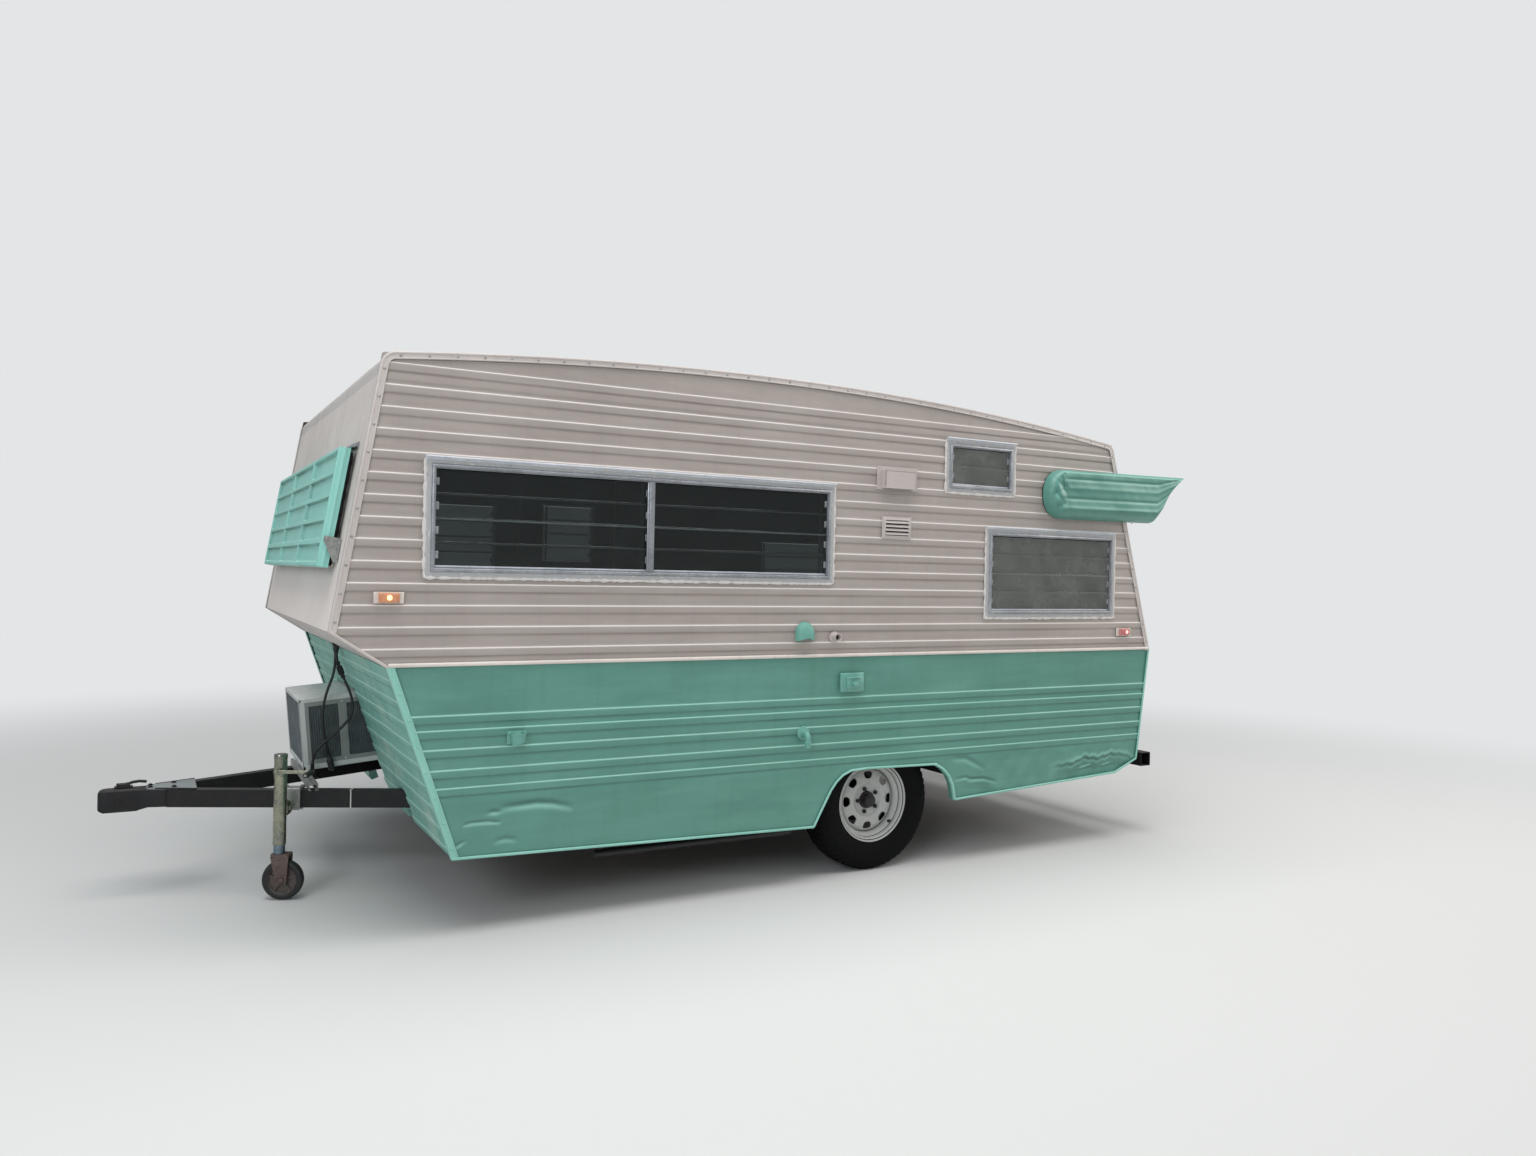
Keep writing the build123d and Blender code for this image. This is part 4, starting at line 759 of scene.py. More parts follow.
# How far below a crest, in metres, and how far out there, as a share of the rib's depth
LEDGE = np.array([[-0.0045, 0.0], [-0.0030, 0.15], [-0.0005, 1.0], [0.0012, 1.08], [0.0030, 1.0],
                  [0.0050, 0.95], [0.0150, 0.90], [0.0255, 0.86], [0.0285, 0.72], [0.0310, 0.40],
                  [0.0335, 0.06], [0.0360, 0.0], [0.0450, 0.14], [0.0560, 0.22], [0.0680, 0.14]])


def sheet_rows(low, high, crests):
    """Heights of the grid's rows: each crest's bends, and both ends."""
    rows = (crests[:, None] - LEDGE[None, :, 0]).ravel()
    rows = rows[(rows > low + 0.002) & (rows < high - 0.002)]
    return np.unique(np.round(np.concatenate([[low], rows, [high]]), 5))


def rib_depth(z, crests):
    """Distance out at a height: the profile of the crest whose stretch the height lies in."""
    out = np.zeros_like(z)
    for crest in crests:
        out = np.maximum(out, np.interp(crest - z, *LEDGE.T, left=0.0, right=0.0))
    return out * RIB_OUT


def rib_marks(z, crests):
    """Paler on a crest, from worn paint and painted highlight; darker under a band, from dirt and painted
    shade.
    """
    below = crests[None, :] - z.reshape(-1, 1)
    pale_and_highlight = np.exp(-((below - 0.0008) / 0.0024) ** 2).max(axis=1)
    groove = 0.7 * np.exp(-((below - 0.0325) / 0.0040) ** 2).max(axis=1)
    return pale_and_highlight, groove


print("beige crests", np.round(beige_crests, 3)[[0, -1]], "green crests", green_crests)

# %% [markdown]
# The lower sheet has been hit and patched. A crease is a fold: the metal goes in on one side of a line and
# bulges a little on the other, and it fades to both ends. Thin sheet also sways in and out between its
# fixings, which is called oil-canning: a few long sine waves, fixed by a seed, stand for it.

# %% Dents and sway


def crease(s, z, line, width, deep, hollow=0.0, reach=0.05):
    """A valley along a line of stations and heights. With a hollow, the sheet under it leans in as far."""
    stations_, heights = np.array(line).T
    along_ = np.clip((s - stations_[0]) / (stations_[-1] - stations_[0]), 0, 1)
    above = z - np.interp(s, stations_, heights)
    fade = np.sin(np.pi * along_) ** 0.5
    return -fade * (deep * np.exp(-(above / width) ** 2) + hollow * np.clip(-above / reach, 0, 1))


def dent(s, z, centre, size, deep):
    """Depth of a round knock."""
    return -deep * np.exp(-(((s - centre[0]) / size[0]) ** 2 + ((z - centre[1]) / size[1]) ** 2))


sway_waves = np.random.default_rng(14).uniform([0.5, 1.5, 0.0, 0.6], [2.2, 6.0, 6.283, 1.0], size=(9, 4))


def sway(s, z, amount):
    """Sum of nine long waves, each with its own two wave numbers and start."""
    total = 0.0
    for wave_s, wave_z, start, share in sway_waves:
        total = total + share * np.sin(2 * np.pi * (wave_s * s * 0.9 + wave_z * z * 0.22) + start)
    return amount * total / 3


def lower_damage(s, z):
    """All the knocks on the road side's lower sheet, given as station and height."""
    flat = np.clip((0.565 - z) / 0.05, 0, 1)
    out = flat * sway(s, z, 0.0016)
    out = out + np.clip((z - 0.865) / 0.03, 0, 1) * sway(s + 1.3, z, 0.0012)
    out = out + crease(s, z, [(1.847, 0.427), (1.908, 0.434), (1.967, 0.434), (2.002, 0.428)], 0.006, 0.0060)
    out = out + crease(s, z, [(1.554, 0.459), (1.641, 0.482), (1.704, 0.489), (1.798, 0.485), (1.860, 0.483)],
                       0.013, 0.0075)
    out = out + dent(s, z, (1.878, 0.469), (0.022, 0.008), 0.0065)
    out = out + crease(s, z, [(1.990, 0.367), (2.035, 0.342)], 0.006, 0.0050)
    out = out + crease(s, z, [(1.785, 0.351), (1.831, 0.360), (1.876, 0.353)], 0.010, 0.0040)
    out = out + dent(s, z, (0.80, 0.36), (0.16, 0.05), 0.003)
    behind = np.clip((-0.48 - s) / 0.2, 0, 1) * np.clip((0.56 - z) / 0.10, 0, 1)
    crumple = (np.sin(17.0 * s + 9 * z) + 0.7 * np.sin(31.0 * s - 25 * z + 1.1)
               + 0.5 * np.sin(52.0 * s + 40 * z))
    out = out + behind * 0.0014 * crumple
    out = out + crease(s, z, [(-0.635, 0.458), (-0.51, 0.518), (-0.415, 0.524)], 0.014, 0.0045)
    out = out + crease(s, z, [(-0.718, 0.384), (-0.628, 0.408), (-0.539, 0.411), (-0.513, 0.423),
                              (-0.436, 0.416)], 0.008, 0.0055, 0.0050)
    bent = [(-1.745, 0.415), (-1.645, 0.456), (-1.539, 0.467), (-1.437, 0.448), (-1.335, 0.462),
            (-1.256, 0.435), (-1.119, 0.427)]
    ragged = z + 0.0030 * np.sin(95 * s) + 0.0020 * np.sin(210 * s + 1)
    out = out + crease(s, ragged, bent, 0.009, 0.0060, 0.0130)
    out = out - crease(s, ragged - 0.016, bent, 0.012, 0.0045)
    out = out - crease(s, z, [(-1.400, 0.424), (-1.300, 0.408)], 0.006, 0.0060)
    out = out - crease(s, z, [(-1.560, 0.428), (-1.470, 0.412)], 0.005, 0.0050)
    return out


def painted_slope_light(s, z, knocks, apart=0.002):
    """Painted light from the knocks' slope: painted highlight where the sheet leans up, painted shade where
    it leans down.
    """
    lean = (knocks(s, z + apart) - knocks(s, z - apart)) / (2 * apart)
    return np.clip(-lean / 0.9, 0, 0.55), np.clip(lean / 0.55, 0, 0.8)


deepest = lower_damage(np.linspace(-1.7, 2, 500)[:, None], np.linspace(0.3, 0.56, 80)).min()
print("deepest knock", round(float(deepest), 4))

# %% [markdown]
# A side wall is a grid over station and height. The sloping ends pull the stations of each row in, the roof
# and the skirt pull the heights of each column in, and the points that meet so are welded. Windows and the
# wheel arch are left out as whole cells, because rows and columns run exactly along their edges.

# %% Side walls
PANEL_T, SKIN_T = 0.040, 0.0395


def roof_line(s):
    """Height of the roof: the arc through the rear top, the crown and the front top."""
    (x0, z0), (x1, z1), (x2, z2) = REAR_TOP, CROWN, FRONT_TOP
    d = 2 * (x0 * (z1 - z2) + x1 * (z2 - z0) + x2 * (z0 - z1))
    cx = ((x0**2 + z0**2) * (z1 - z2) + (x1**2 + z1**2) * (z2 - z0) + (x2**2 + z2**2) * (z0 - z1)) / d
    cz = ((x0**2 + z0**2) * (x2 - x1) + (x1**2 + z1**2) * (x0 - x2) + (x2**2 + z2**2) * (x1 - x0)) / d
    return cz + np.sqrt(np.maximum((x0 - cx) ** 2 + (z0 - cz) ** 2 - (s - cx) ** 2, 0))


def front_edge(z):
    return np.interp(z, [FRONT_FOOT[1], BELT_Z, PROW[1], FRONT_TOP[1]],
                     [FRONT_FOOT[0], BELT_FRONT[0], PROW[0], FRONT_TOP[0]])


def rear_edge(z):
    return np.interp(z, [REAR_FOOT[1], BELT_Z, REAR_TOP[1]], [REAR_FOOT[0], BELT_REAR[0], REAR_TOP[0]])


def skirt_edge(s):
    return np.interp(s, [REAR_FOOT[0], REAR_BEND[0], ARCH_REAR[0], ARCH_FRONT[0], FRONT_FOOT[0]],
                     [REAR_FOOT[1], REAR_BEND[1], ARCH_REAR[1], ARCH_FRONT[1], FRONT_FOOT[1]])


ARCH_BEND = [(-0.420, 0.395), (-0.395, 0.440), (-0.360, 0.475), (-0.31, 0.503), (0.10, 0.512), (0.19, 0.508),
             (0.235, 0.490), (0.27, 0.462), (0.300, 0.425), (0.36, 0.320)]
ARCH = np.array([ARCH_REAR, *ARCH_BEND, ARCH_FRONT])


def arch_top(s):
    """Top of the wheel arch: an arc-cornered opening, and below the skirt elsewhere."""
    return np.interp(s, [ARCH_REAR[0] - 0.010, *ARCH[:, 0]], [0.0, *ARCH[:, 1]], left=0.0, right=0.0)


def stations(low, high, breaks, step):
    """Column stations, evenly spaced between each two breaks."""
    marks = np.unique(np.round(np.concatenate([[low], [b for b in breaks if low < b < high], [high]]), 5))
    runs = [np.linspace(a, b, max(2, int(math.ceil((b - a) / step)) + 1))[:-1]
            for a, b in zip(marks, marks[1:])]
    return np.concatenate(runs + [[marks[-1]]])


def cell_middles(a, b, faces):
    """The middle of each face, in two of the grid's measures."""
    return np.stack([a.ravel()[faces].mean(axis=1), b.ravel()[faces].mean(axis=1)], axis=-1)


def outside(middle, holes):
    """Which cells lie in none of the holes, each given as low and high in both measures."""
    keep = np.ones(len(middle), dtype=bool)
    for a0, a1, b0, b1 in holes:
        keep &= ~((middle[:, 0] > a0) & (middle[:, 0] < a1) & (middle[:, 1] > b0) & (middle[:, 1] < b1))
    return keep


def side_sheet(columns, rows, floor_line, ceiling_line, holes, crests, knocks):
    """Point (i, j) = (station, out, height), clipped to the wall's edges. Returns it, cells and marks."""
    s, z = np.meshgrid(columns, rows, indexing="ij")
    s = np.clip(s, rear_edge(z), front_edge(z))
    z = np.clip(z, floor_line(s), ceiling_line(s))
    y = BASE_OUT + rib_depth(z, crests) + knocks(s, z)
    faces = grid_faces(len(columns), len(rows))
    points = np.stack([at(s), y, z], axis=-1).reshape(-1, 3)
    return weld((points, [faces[outside(cell_middles(s, z, faces), holes)]]))


def wall_piece(name, sheet, side, material, node, crests, body="trailer", board_y=LINING_Y + 0.0005,
               knocks=None):
    """A wall as thick as the real one, from its outer sheet: ribs outside, flat board inside."""
    outer, faces = sheet
    inner = outer.copy()
    inner[:, 1] = board_y
    points, faces = outward(walled(outer, inner, faces))
    pale_and_highlight, groove = rib_marks(points[:, 2], crests)
    # A knocked sheet adds painted highlight where it leans up and painted shade where it leans down.
    if knocks is not None:
        bright, dark = painted_slope_light(points[:, 0] - AXLE_X, points[:, 2], knocks)
        pale_and_highlight, groove = np.maximum(pale_and_highlight, bright), np.maximum(groove, dark)
    on_sheet = points[:, 1] > WALL_Y - PANEL_T / 2
    board = np.concatenate([(points[block][:, :, 1].max(axis=1) < WALL_Y - PANEL_T / 2).astype(int)
                            for block in faces])
    if side == "right":
        points, faces = mirrored((points, faces))
    return as_piece(name, (points, faces), material, body, [node] if node else [], 50,
                    values={"pale_and_highlight": pale_and_highlight * on_sheet, "groove": groove * on_sheet}, second=(SHADE_LINING, board))


FLANGE = 0.024
WINDOWS = [
    # side, rear, front, sill, head, units, blades
    ("left", 0.319, 2.165, 1.387, 1.839, 2, 4),
    ("left", -0.786, -0.337, 1.849, 2.111, 1, 2),
    ("left", -1.526, -0.606, 1.226, 1.681, 1, 4),
    ("right", 1.205, 2.165, 1.387, 1.839, 1, 4),
    ("right", -1.526, -0.606, 1.226, 1.681, 1, 4),
]
DOOR = (0.462, 1.078, 0.470, 2.110)
DOOR_GAP = 0.006
door_hole = (DOOR[0] - DOOR_GAP, DOOR[1] + DOOR_GAP, DOOR[2] - DOOR_GAP, DOOR[3] + DOOR_GAP)
BASE_OUT = WALL_Y - RIB_TOP - SHY


def no_knocks(s, z):
    return sway(s, z, 0.0003)


def curb_knocks(s, z):
    return 0.3 * lower_damage(s, z)


def level(z):
    """A wall's edge that runs level."""
    return lambda s: z + 0 * s


def prow_underside(s):
    return np.where(s > BELT_FRONT[0], np.interp(s, [BELT_FRONT[0], PROW[0]], [BELT_Z, PROW[1]]), BELT_Z)


def skirt_and_arch(s):
    return np.maximum(skirt_edge(s), arch_top(s))


def across_holes(holes):
    return [edge for hole in holes for edge in hole[:2]]


def up_holes(holes, low, high):
    return [edge for hole in holes for edge in hole[2:] if low < edge < high]


FOLD_S, ROOF_HIGH = 2.29, 2.303

for side in ("left", "right"):
    holes = [(r + FLANGE, f - FLANGE, lo + FLANGE, hi - FLANGE)
             for sd, r, f, lo, hi, *_ in WINDOWS if sd == side]
    if side == "right":
        holes.append(door_hole)
    breaks = across_holes(holes) + [-1.47, FOLD_S, FRONT_TOP[0]]
    columns = np.unique(np.concatenate([stations(BELT_REAR[0], REAR_TOP[0], breaks, 0.020),
                                        stations(REAR_TOP[0], FOLD_S, breaks, 0.10),
                                        stations(FOLD_S, PROW[0], [], 0.008)]))
    rows = np.unique(np.concatenate([sheet_rows(BELT_Z, ROOF_HIGH, beige_crests),
                                     up_holes(holes, BELT_Z, ROOF_HIGH), np.linspace(2.10, ROOF_HIGH, 24)]))
    sheet = side_sheet(columns, rows, prow_underside, roof_line, holes, beige_crests, no_knocks)
    wall_piece("upper_wall_" + side, sheet, side, BEIGE, "side_upper_" + side, beige_crests)

    breaks = across_holes(holes) + [ARCH_REAR[0], ARCH_FRONT[0], -0.447, -0.395, -0.31, 0.10, 0.19, 0.27,
                                    0.36]
    columns = np.unique(np.concatenate([stations(BELT_REAR[0], -0.45, breaks, 0.010),
                                        stations(-0.45, 1.45, breaks, 0.024),
                                        stations(1.45, BELT_FRONT[0], breaks, 0.010)]))
    rows = np.unique(np.concatenate([sheet_rows(ARCH_FRONT[1], BELT_Z, green_crests),
                                     up_holes(holes, 0, BELT_Z),
                                     np.linspace(ARCH_FRONT[1], 0.57, 52), np.linspace(0.87, BELT_Z, 8)]))
    knocks, door_only = (lower_damage, []) if side == "left" else (curb_knocks, [door_hole])
    sheet = side_sheet(columns, rows, skirt_and_arch, level(BELT_Z), door_only, green_crests, knocks)
    wall_piece("lower_wall_" + side, sheet, side, GREEN, "side_lower_" + side, green_crests,
               knocks=knocks)

# %% [markdown]
# The front below the prow and the whole back are the same ribbed sheet on sloping walls. Such a wall is
# drawn flat, with Y across and the height up it, and a function tells the station of each height. The sheet
# stands out along the wall's own normal, so each point moves by its depth in station and in height.

# %% Sloping end walls


def slope(low, high, sign):
    """Station at a height on the line between two corners, and the outward normal in station and height."""
    (s0, z0), (s1, z1) = low, high
    normal = unit([sign * (z1 - z0), -sign * (s1 - s0)])
    return (lambda z: s0 + (s1 - s0) * (z - z0) / (z1 - z0)), normal


def cut_sheet(outer, inner, cells):
    """The cells as a closed wall, the points that they use, and 1 for each face of the inner board."""
    used, numbers = np.unique(cells, return_inverse=True)
    shape = outward(walled(outer[used], inner[used], [numbers.reshape(-1, 4)]))
    return shape, used, np.repeat([0, 1, 0], [len(block) for block in shape[1]])


def end_sheet(low, high, sign, z_low, z_high, half_width, holes, crests, knocks, extra_rows=()):
    """Point (i, j) = (station(z) + n.s * depth, y, z + n.z * depth), with the holes' cells left out."""
    station, normal = slope(low, high, sign)
    columns = stations(-half_width, half_width, across_holes(holes), 0.05)
    rows = np.unique(np.concatenate([sheet_rows(z_low, z_high, crests), list(extra_rows),
                                     up_holes(holes, z_low, z_high)]))
    y, z = np.meshgrid(columns, rows, indexing="ij")

    def sheet_at(depth):
        return np.stack([at(station(z) + normal[0] * depth), y, z + normal[1] * depth],
                        axis=-1).reshape(-1, 3)

    faces = grid_faces(len(columns), len(rows))
    shape, used, board = cut_sheet(sheet_at(rib_depth(z, crests) + knocks(y, z) - RIB_TOP - SHY),
                                   sheet_at(-PANEL_T), faces[outside(cell_middles(y, z, faces), holes)])
    pale_and_highlight, groove = [np.concatenate([marks, 0 * marks]) for marks in rib_marks(z.ravel()[used], crests)]
    return shape, pale_and_highlight, groove, board


def end_wall(name, made, material, node):
    shape, pale_and_highlight, groove, board = made
    return as_piece(name, shape, material, stands_for=[node], smooth=50,
                    values={"pale_and_highlight": pale_and_highlight, "groove": groove}, second=(SHADE_LINING, board))


PANEL_HALF = LINING_Y - 0.0005
cooler_low, cooler_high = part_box("cooler_case")
COOLER_GAP = 0.006
cooler_hole = (cooler_low[1] - COOLER_GAP, cooler_high[1] + COOLER_GAP, 0.0, cooler_high[2] - 0.002)
rail_hole = (0.404, 0.531, 0.0, 0.445)
front_crests = 0.335 + RIB_PITCH * np.arange(9)


def front_knocks(y, z):
    knocks = dent(y, z, (0.95, 0.42), (0.10, 0.03), 0.004), dent(y, z, (0.62, 0.74), (0.16, 0.04), 0.003)
    return sway(y + 2.0, z, 0.0012) + knocks[0] + knocks[1]


end_wall("lower_front", end_sheet(FRONT_FOOT, BELT_FRONT, 1, FRONT_FOOT[1], BELT_Z - 0.008, PANEL_HALF,
                                  [cooler_hole, rail_hole], front_crests, front_knocks),
         CHALKY_GREEN, "front_lower_panel")

# Width, height up the slope, and the height of the middle over the floor
REAR_WINDOW = (1.100, 0.455, 1.453)
FRONT_WINDOW = (1.960, 0.420, 1.636)
TOP_ROLL = 0.080
rear_upright = (REAR_TOP[1] - BELT_Z) / np.linalg.norm(np.subtract(REAR_TOP, BELT_REAR))
rear_half_z = (REAR_WINDOW[1] / 2 - FLANGE) * rear_upright
rear_window = (-REAR_WINDOW[0] / 2 + FLANGE, REAR_WINDOW[0] / 2 - FLANGE, REAR_WINDOW[2] - rear_half_z,
               REAR_WINDOW[2] + rear_half_z)
end_wall("upper_rear", end_sheet(BELT_REAR, REAR_TOP, -1, BELT_Z, REAR_TOP[1] - TOP_ROLL, PANEL_HALF,
                                 [rear_window], beige_crests, lambda y, z: sway(y, z, 0.0008)),
         BEIGE, "rear_upper_panel")
end_wall("lower_rear",
         end_sheet(REAR_FOOT, BELT_REAR, -1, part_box("rear_lower_panel")[0][2], BELT_Z, PANEL_HALF, [],
                   green_crests, lambda y, z: sway(y + 0.7, z, 0.0012),
                   extra_rows=np.linspace(0.45, 0.56, 6)), GREEN, "rear_lower_panel")

# %% [markdown]
# The prow's upper face and the roof are smooth sheet in wide strips. Smooth sheet over ribs of wood shows
# shallow quilting between its fixings, and a flat seam where two strips lap. The roof is one surface: its
# stations run round the outline, from the front face over the bend and along the arc to the back.

# %% Outline of the cabin from the side


def arc_points(start, corner, end, radius, count):
    """A corner rounded by an arc: the circle that touches both lines, and its points between them."""
    corner = np.asarray(corner, dtype=float)
    a, b = unit(np.asarray(start) - corner), unit(np.asarray(end) - corner)
    half_angle = math.acos(np.clip(a.dot(b), -1, 1)) / 2
    centre = corner + unit(a + b) * radius / math.sin(half_angle)
    first = corner + a * radius / math.tan(half_angle) - centre
    last = corner + b * radius / math.tan(half_angle) - centre
    t = np.linspace(0, 1, count)[:, None]
    angle = math.acos(np.clip(unit(first).dot(unit(last)), -1, 1))
    return centre + (np.sin((1 - t) * angle) * first + np.sin(t * angle) * last) / math.sin(angle)


roof_s = np.linspace(FRONT_TOP[0], REAR_TOP[0], 90)[4:-3]
roof_points = np.column_stack([roof_s, roof_line(roof_s)])
front_bend = arc_points(PROW, FRONT_TOP, roof_points[0], CORNER_R, 9)
rear_bend = arc_points(roof_points[-1], REAR_TOP, BELT_REAR, CORNER_R, 9)
upper_outline = np.vstack([BELT_FRONT, PROW, front_bend, roof_points, rear_bend, BELT_REAR])
print("outline points", len(upper_outline))


def outline_normals(points):
    """The outward normal at each point, stretched so that an offset keeps its distance from both edges."""
    ahead = np.diff(points, axis=0, append=points[-1:] + (points[-1:] - points[-2:-1]))
    behind = np.diff(points, axis=0, prepend=points[:1] - (points[1:2] - points[:1]))
    ahead, behind = unit(ahead), unit(behind)
    middle = unit(ahead + behind)
    normal = np.column_stack([middle[:, 1], -middle[:, 0]])
    return normal / np.clip((middle * ahead).sum(axis=1), 0.4, 1)[:, None]


def smooth_skin(name, outline_part, material, node, holes, seams=(), bounce_light=None):
    """A skin round part of the outline: rows follow the outline, columns run across, 40 mm thick.

    The last argument gives how much paler the paint is made at a height: painted light thrown up from below.
    """
    lengths = lengths_along(outline_part)
    steps = np.unique(np.concatenate([lengths, np.linspace(0, lengths[-1], int(lengths[-1] / 0.035) + 2),
                                      across_holes(holes)]))
    path = on_line(steps, lengths, outline_part)[:, None]
    normal = on_line(steps, lengths, outline_normals(outline_part))[:, None]
    columns = stations(-PANEL_HALF, PANEL_HALF, [edge for hole in holes for edge in hole[2:]], 0.05)
    step_grid, y = np.meshgrid(steps, columns, indexing="ij")
    depth = quilt(step_grid, y) - 0.0012
    for seam in seams:
        past = step_grid - seam
        depth = depth + 0.00055 * (1 + np.tanh(past / 0.003)) * np.exp(-np.abs(past) / 0.03)

    def skin_at(out):
        flat = path + normal * out[:, :, None]
        return np.stack([at(flat[..., 0]), y, flat[..., 1]], axis=-1).reshape(-1, 3)

    faces = grid_faces(len(steps), len(columns))
    shape, _, board = cut_sheet(skin_at(depth), skin_at(0 * depth - SKIN_T),
                                faces[outside(cell_middles(step_grid, y, faces), holes)])
    pale = {"pale_and_highlight": bounce_light(shape[0][:, 2])} if bounce_light else None
    return as_piece(name, shape, material, stands_for=[node], smooth=50, values=pale,
                    second=(SHADE_LINING, board))


def quilt(step, y):
    """Low pillows between fixings about 0.4 m apart, and sway."""
    pillows = np.sin(np.pi * step / 0.40) ** 2 * np.cos(np.pi * y / 0.41) ** 2
    return 0.0009 * pillows + sway(step, y + 3, 0.0007)


def on_wall(low, high, z):
    """The point at a height on the line between two corners."""
    return np.asarray(low) + (z - low[1]) / (high[1] - low[1]) * np.subtract(high, low)


front_cut = on_wall(PROW, FRONT_TOP, FRONT_TOP[1] - TOP_ROLL)
rear_cut = on_wall(BELT_REAR, REAR_TOP, REAR_TOP[1] - TOP_ROLL)
window_mid = np.linalg.norm(on_wall(PROW, FRONT_TOP, FRONT_WINDOW[2]) - PROW)
front_half = np.array([FRONT_WINDOW[1] / 2 - FLANGE, FRONT_WINDOW[0] / 2 - FLANGE])
front_hole = (window_mid - front_half[0], window_mid + front_half[0], -front_half[1], front_half[1])
# The prow's paint is made paler towards its foot: painted light thrown up from the road.
smooth_skin("upper_front", np.vstack([PROW, front_cut]), FRONT_PAINT, "front_upper_panel", [front_hole],
            bounce_light=lambda z: np.clip((1.62 - z) / 0.6, 0, 0.7))
roof_part = np.vstack([front_cut, front_bend, roof_points, rear_bend, rear_cut])
vent_low, vent_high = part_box("roof_vent")
vent_span = np.interp([-(vent_high[0] - AXLE_X) + 0.018, -(vent_low[0] - AXLE_X)], -roof_part[:, 0],
                      lengths_along(roof_part))
smooth_skin("roof_sheet", roof_part, ROOF_PAINT, "roof_panel", [(*vent_span, vent_low[1], vent_high[1])],
            seams=(0.9, 2.12, 3.34))

# %% [markdown]
# The edges of the cabin are closed by an extruded rail: one leg lies on the side and holds a row of screws,
# the other lies on the front or roof, and a rounded bead covers the corner. The section is drawn once, in
# millimetres, and carried round the outline. Its screws are turned domes, spaced 160 mm apart.

# %% Edge rails
RAIL_SECTION_MM = np.array([
    [-26, 0.3], [-26, 2.6], [-24.8, 3.6], [-21.5, 3.6], [-19.5, 1.6], [-8, 1.6], [-6.2, 3.8], [-3, 4.6],
    [0, 4.2], [2.2, 2.6], [3.0, 0], [3.0, -2], [2.6, -20], [1.9, -22], [0.3, -22], [0.3, 0.3],
])


def edge_rail(line, section_mm=RAIL_SECTION_MM):
    """The section carried along the outline: across is its outward normal, out is away from the wall."""
    section = section_mm[None, :, :] / 1000
    normal = outline_normals(line)
    path = np.column_stack([at(line[:, 0]), np.full(len(line), WALL_Y), line[:, 1]])[:, None, :]
    across_ = np.column_stack([normal[:, 0], 0 * normal[:, 0], normal[:, 1]])[:, None, :]
    return between(path + section[..., :1] * across_ + section[..., 1:] * np.array([0, 1, 0]))


def dome(centre, axis, radius=0.0048, height=0.0024, count=10):
    """A screw head: a low dome, closed underneath."""
    a = np.linspace(0, np.pi / 2, 4)
    profile = np.column_stack([radius * np.cos(a), height * np.sin(a)])
    profile = np.vstack([[0, -0.0004], [radius, -0.0004], profile])
    profile[-1, 0] = 0.0
    return turned(profile, centre, axis, count)


def rail_screws(line, spacing=0.106, inset=0.0137, first=0.04):
    """Screw heads every so far along a rail's inner leg."""
    lengths = lengths_along(line)
    marks = np.arange(first, lengths[-1] - first, spacing)
    places = on_line(marks, lengths, line) - inset * on_line(marks, lengths, outline_normals(line))
    return join(*[dome((x_at(s), WALL_Y + 0.0016, z), (0, 1, 0), 0.0056, 0.0027, 12) for s, z in places])


BEAD_SECTION_MM = np.array([[-8.5, 0.3], [-8.5, 2.2], [-7.2, 3.8], [-4.4, 4.8], [-1, 4.8], [1.6, 3.6],
                            [3.0, 1.2], [3.0, -12], [0.3, -12], [0.3, 0.3]])
main_outline, prow_line = upper_outline[1:], upper_outline[:2]
rail_shape = join(edge_rail(main_outline), edge_rail(prow_line, BEAD_SECTION_MM))
as_piece("edge_rails", both_sides(rail_shape), TRIM_BEIGE, stands_for=["edge_mouldings"])

lower_front_line = np.array([FRONT_FOOT, BELT_FRONT])
lower_lines = [np.array(line) for line in ((BELT_REAR, REAR_FOOT), (ARCH_FRONT, FRONT_FOOT),
                                           (REAR_FOOT, REAR_BEND, ARCH_REAR), ARCH)]
lower_trim = join(edge_rail(lower_front_line), rail_screws(lower_front_line),
                  *[edge_rail(line, BEAD_SECTION_MM) for line in lower_lines])
# The skirt rails take the lighter sea green, a painted highlight on their bead.
as_piece("skirt_rails", both_sides(lower_trim), HIGHLIGHT_EDGE_GREEN, stands_for=["skirt_mouldings"])
screw_shape = rail_screws(main_outline)
as_piece("rail_screws", both_sides(screw_shape), GALVANISED, smooth=60)

# %% [markdown]
# Where the two colours meet, a half-round strip is nailed over the joint. Its upper half catches the light.

# %% Belt strip
BELT_SECTION_MM = np.array([[0, 0], [0, 2.0], [2, 4.2], [6, 5.6], [11, 5.4], [14, 3.4], [15.5, 1.0],
                            [15.5, 0]])


def belt_strip(start, end):
    section = BELT_SECTION_MM[:, ::-1] / 1000 + [WALL_Y, BELT_Z]
    return extruded(section, x_at(start), x_at(end))


belt_rear, belt_front = BELT_REAR[0] + 0.004, BELT_FRONT[0] - 0.004
left_belt = belt_strip(belt_rear, belt_front)
right_belt = join(belt_strip(belt_rear, DOOR[0] - 0.008), belt_strip(DOOR[1] + 0.040, belt_front))
CREAM = house_paint("house paint, cream trim", "e6dcd4", "d9cfc7", "f6efe9", "a89c90", 0.45, grime=0.3)
as_piece("belt_strips", join(left_belt, mirrored(right_belt)), CREAM,
         stands_for=["belt_trim"], smooth=40)

# %% [markdown]
# A trailer window is an extruded aluminium frame whose flange lies on the sheet over a bead of butyl. Four
# glass blades turn in it, each lapping the one below. The frame is one section carried round the rectangle
# with mitred corners. The section steps up from the flange to the frame, and down inside the wall.

# %% Window planes


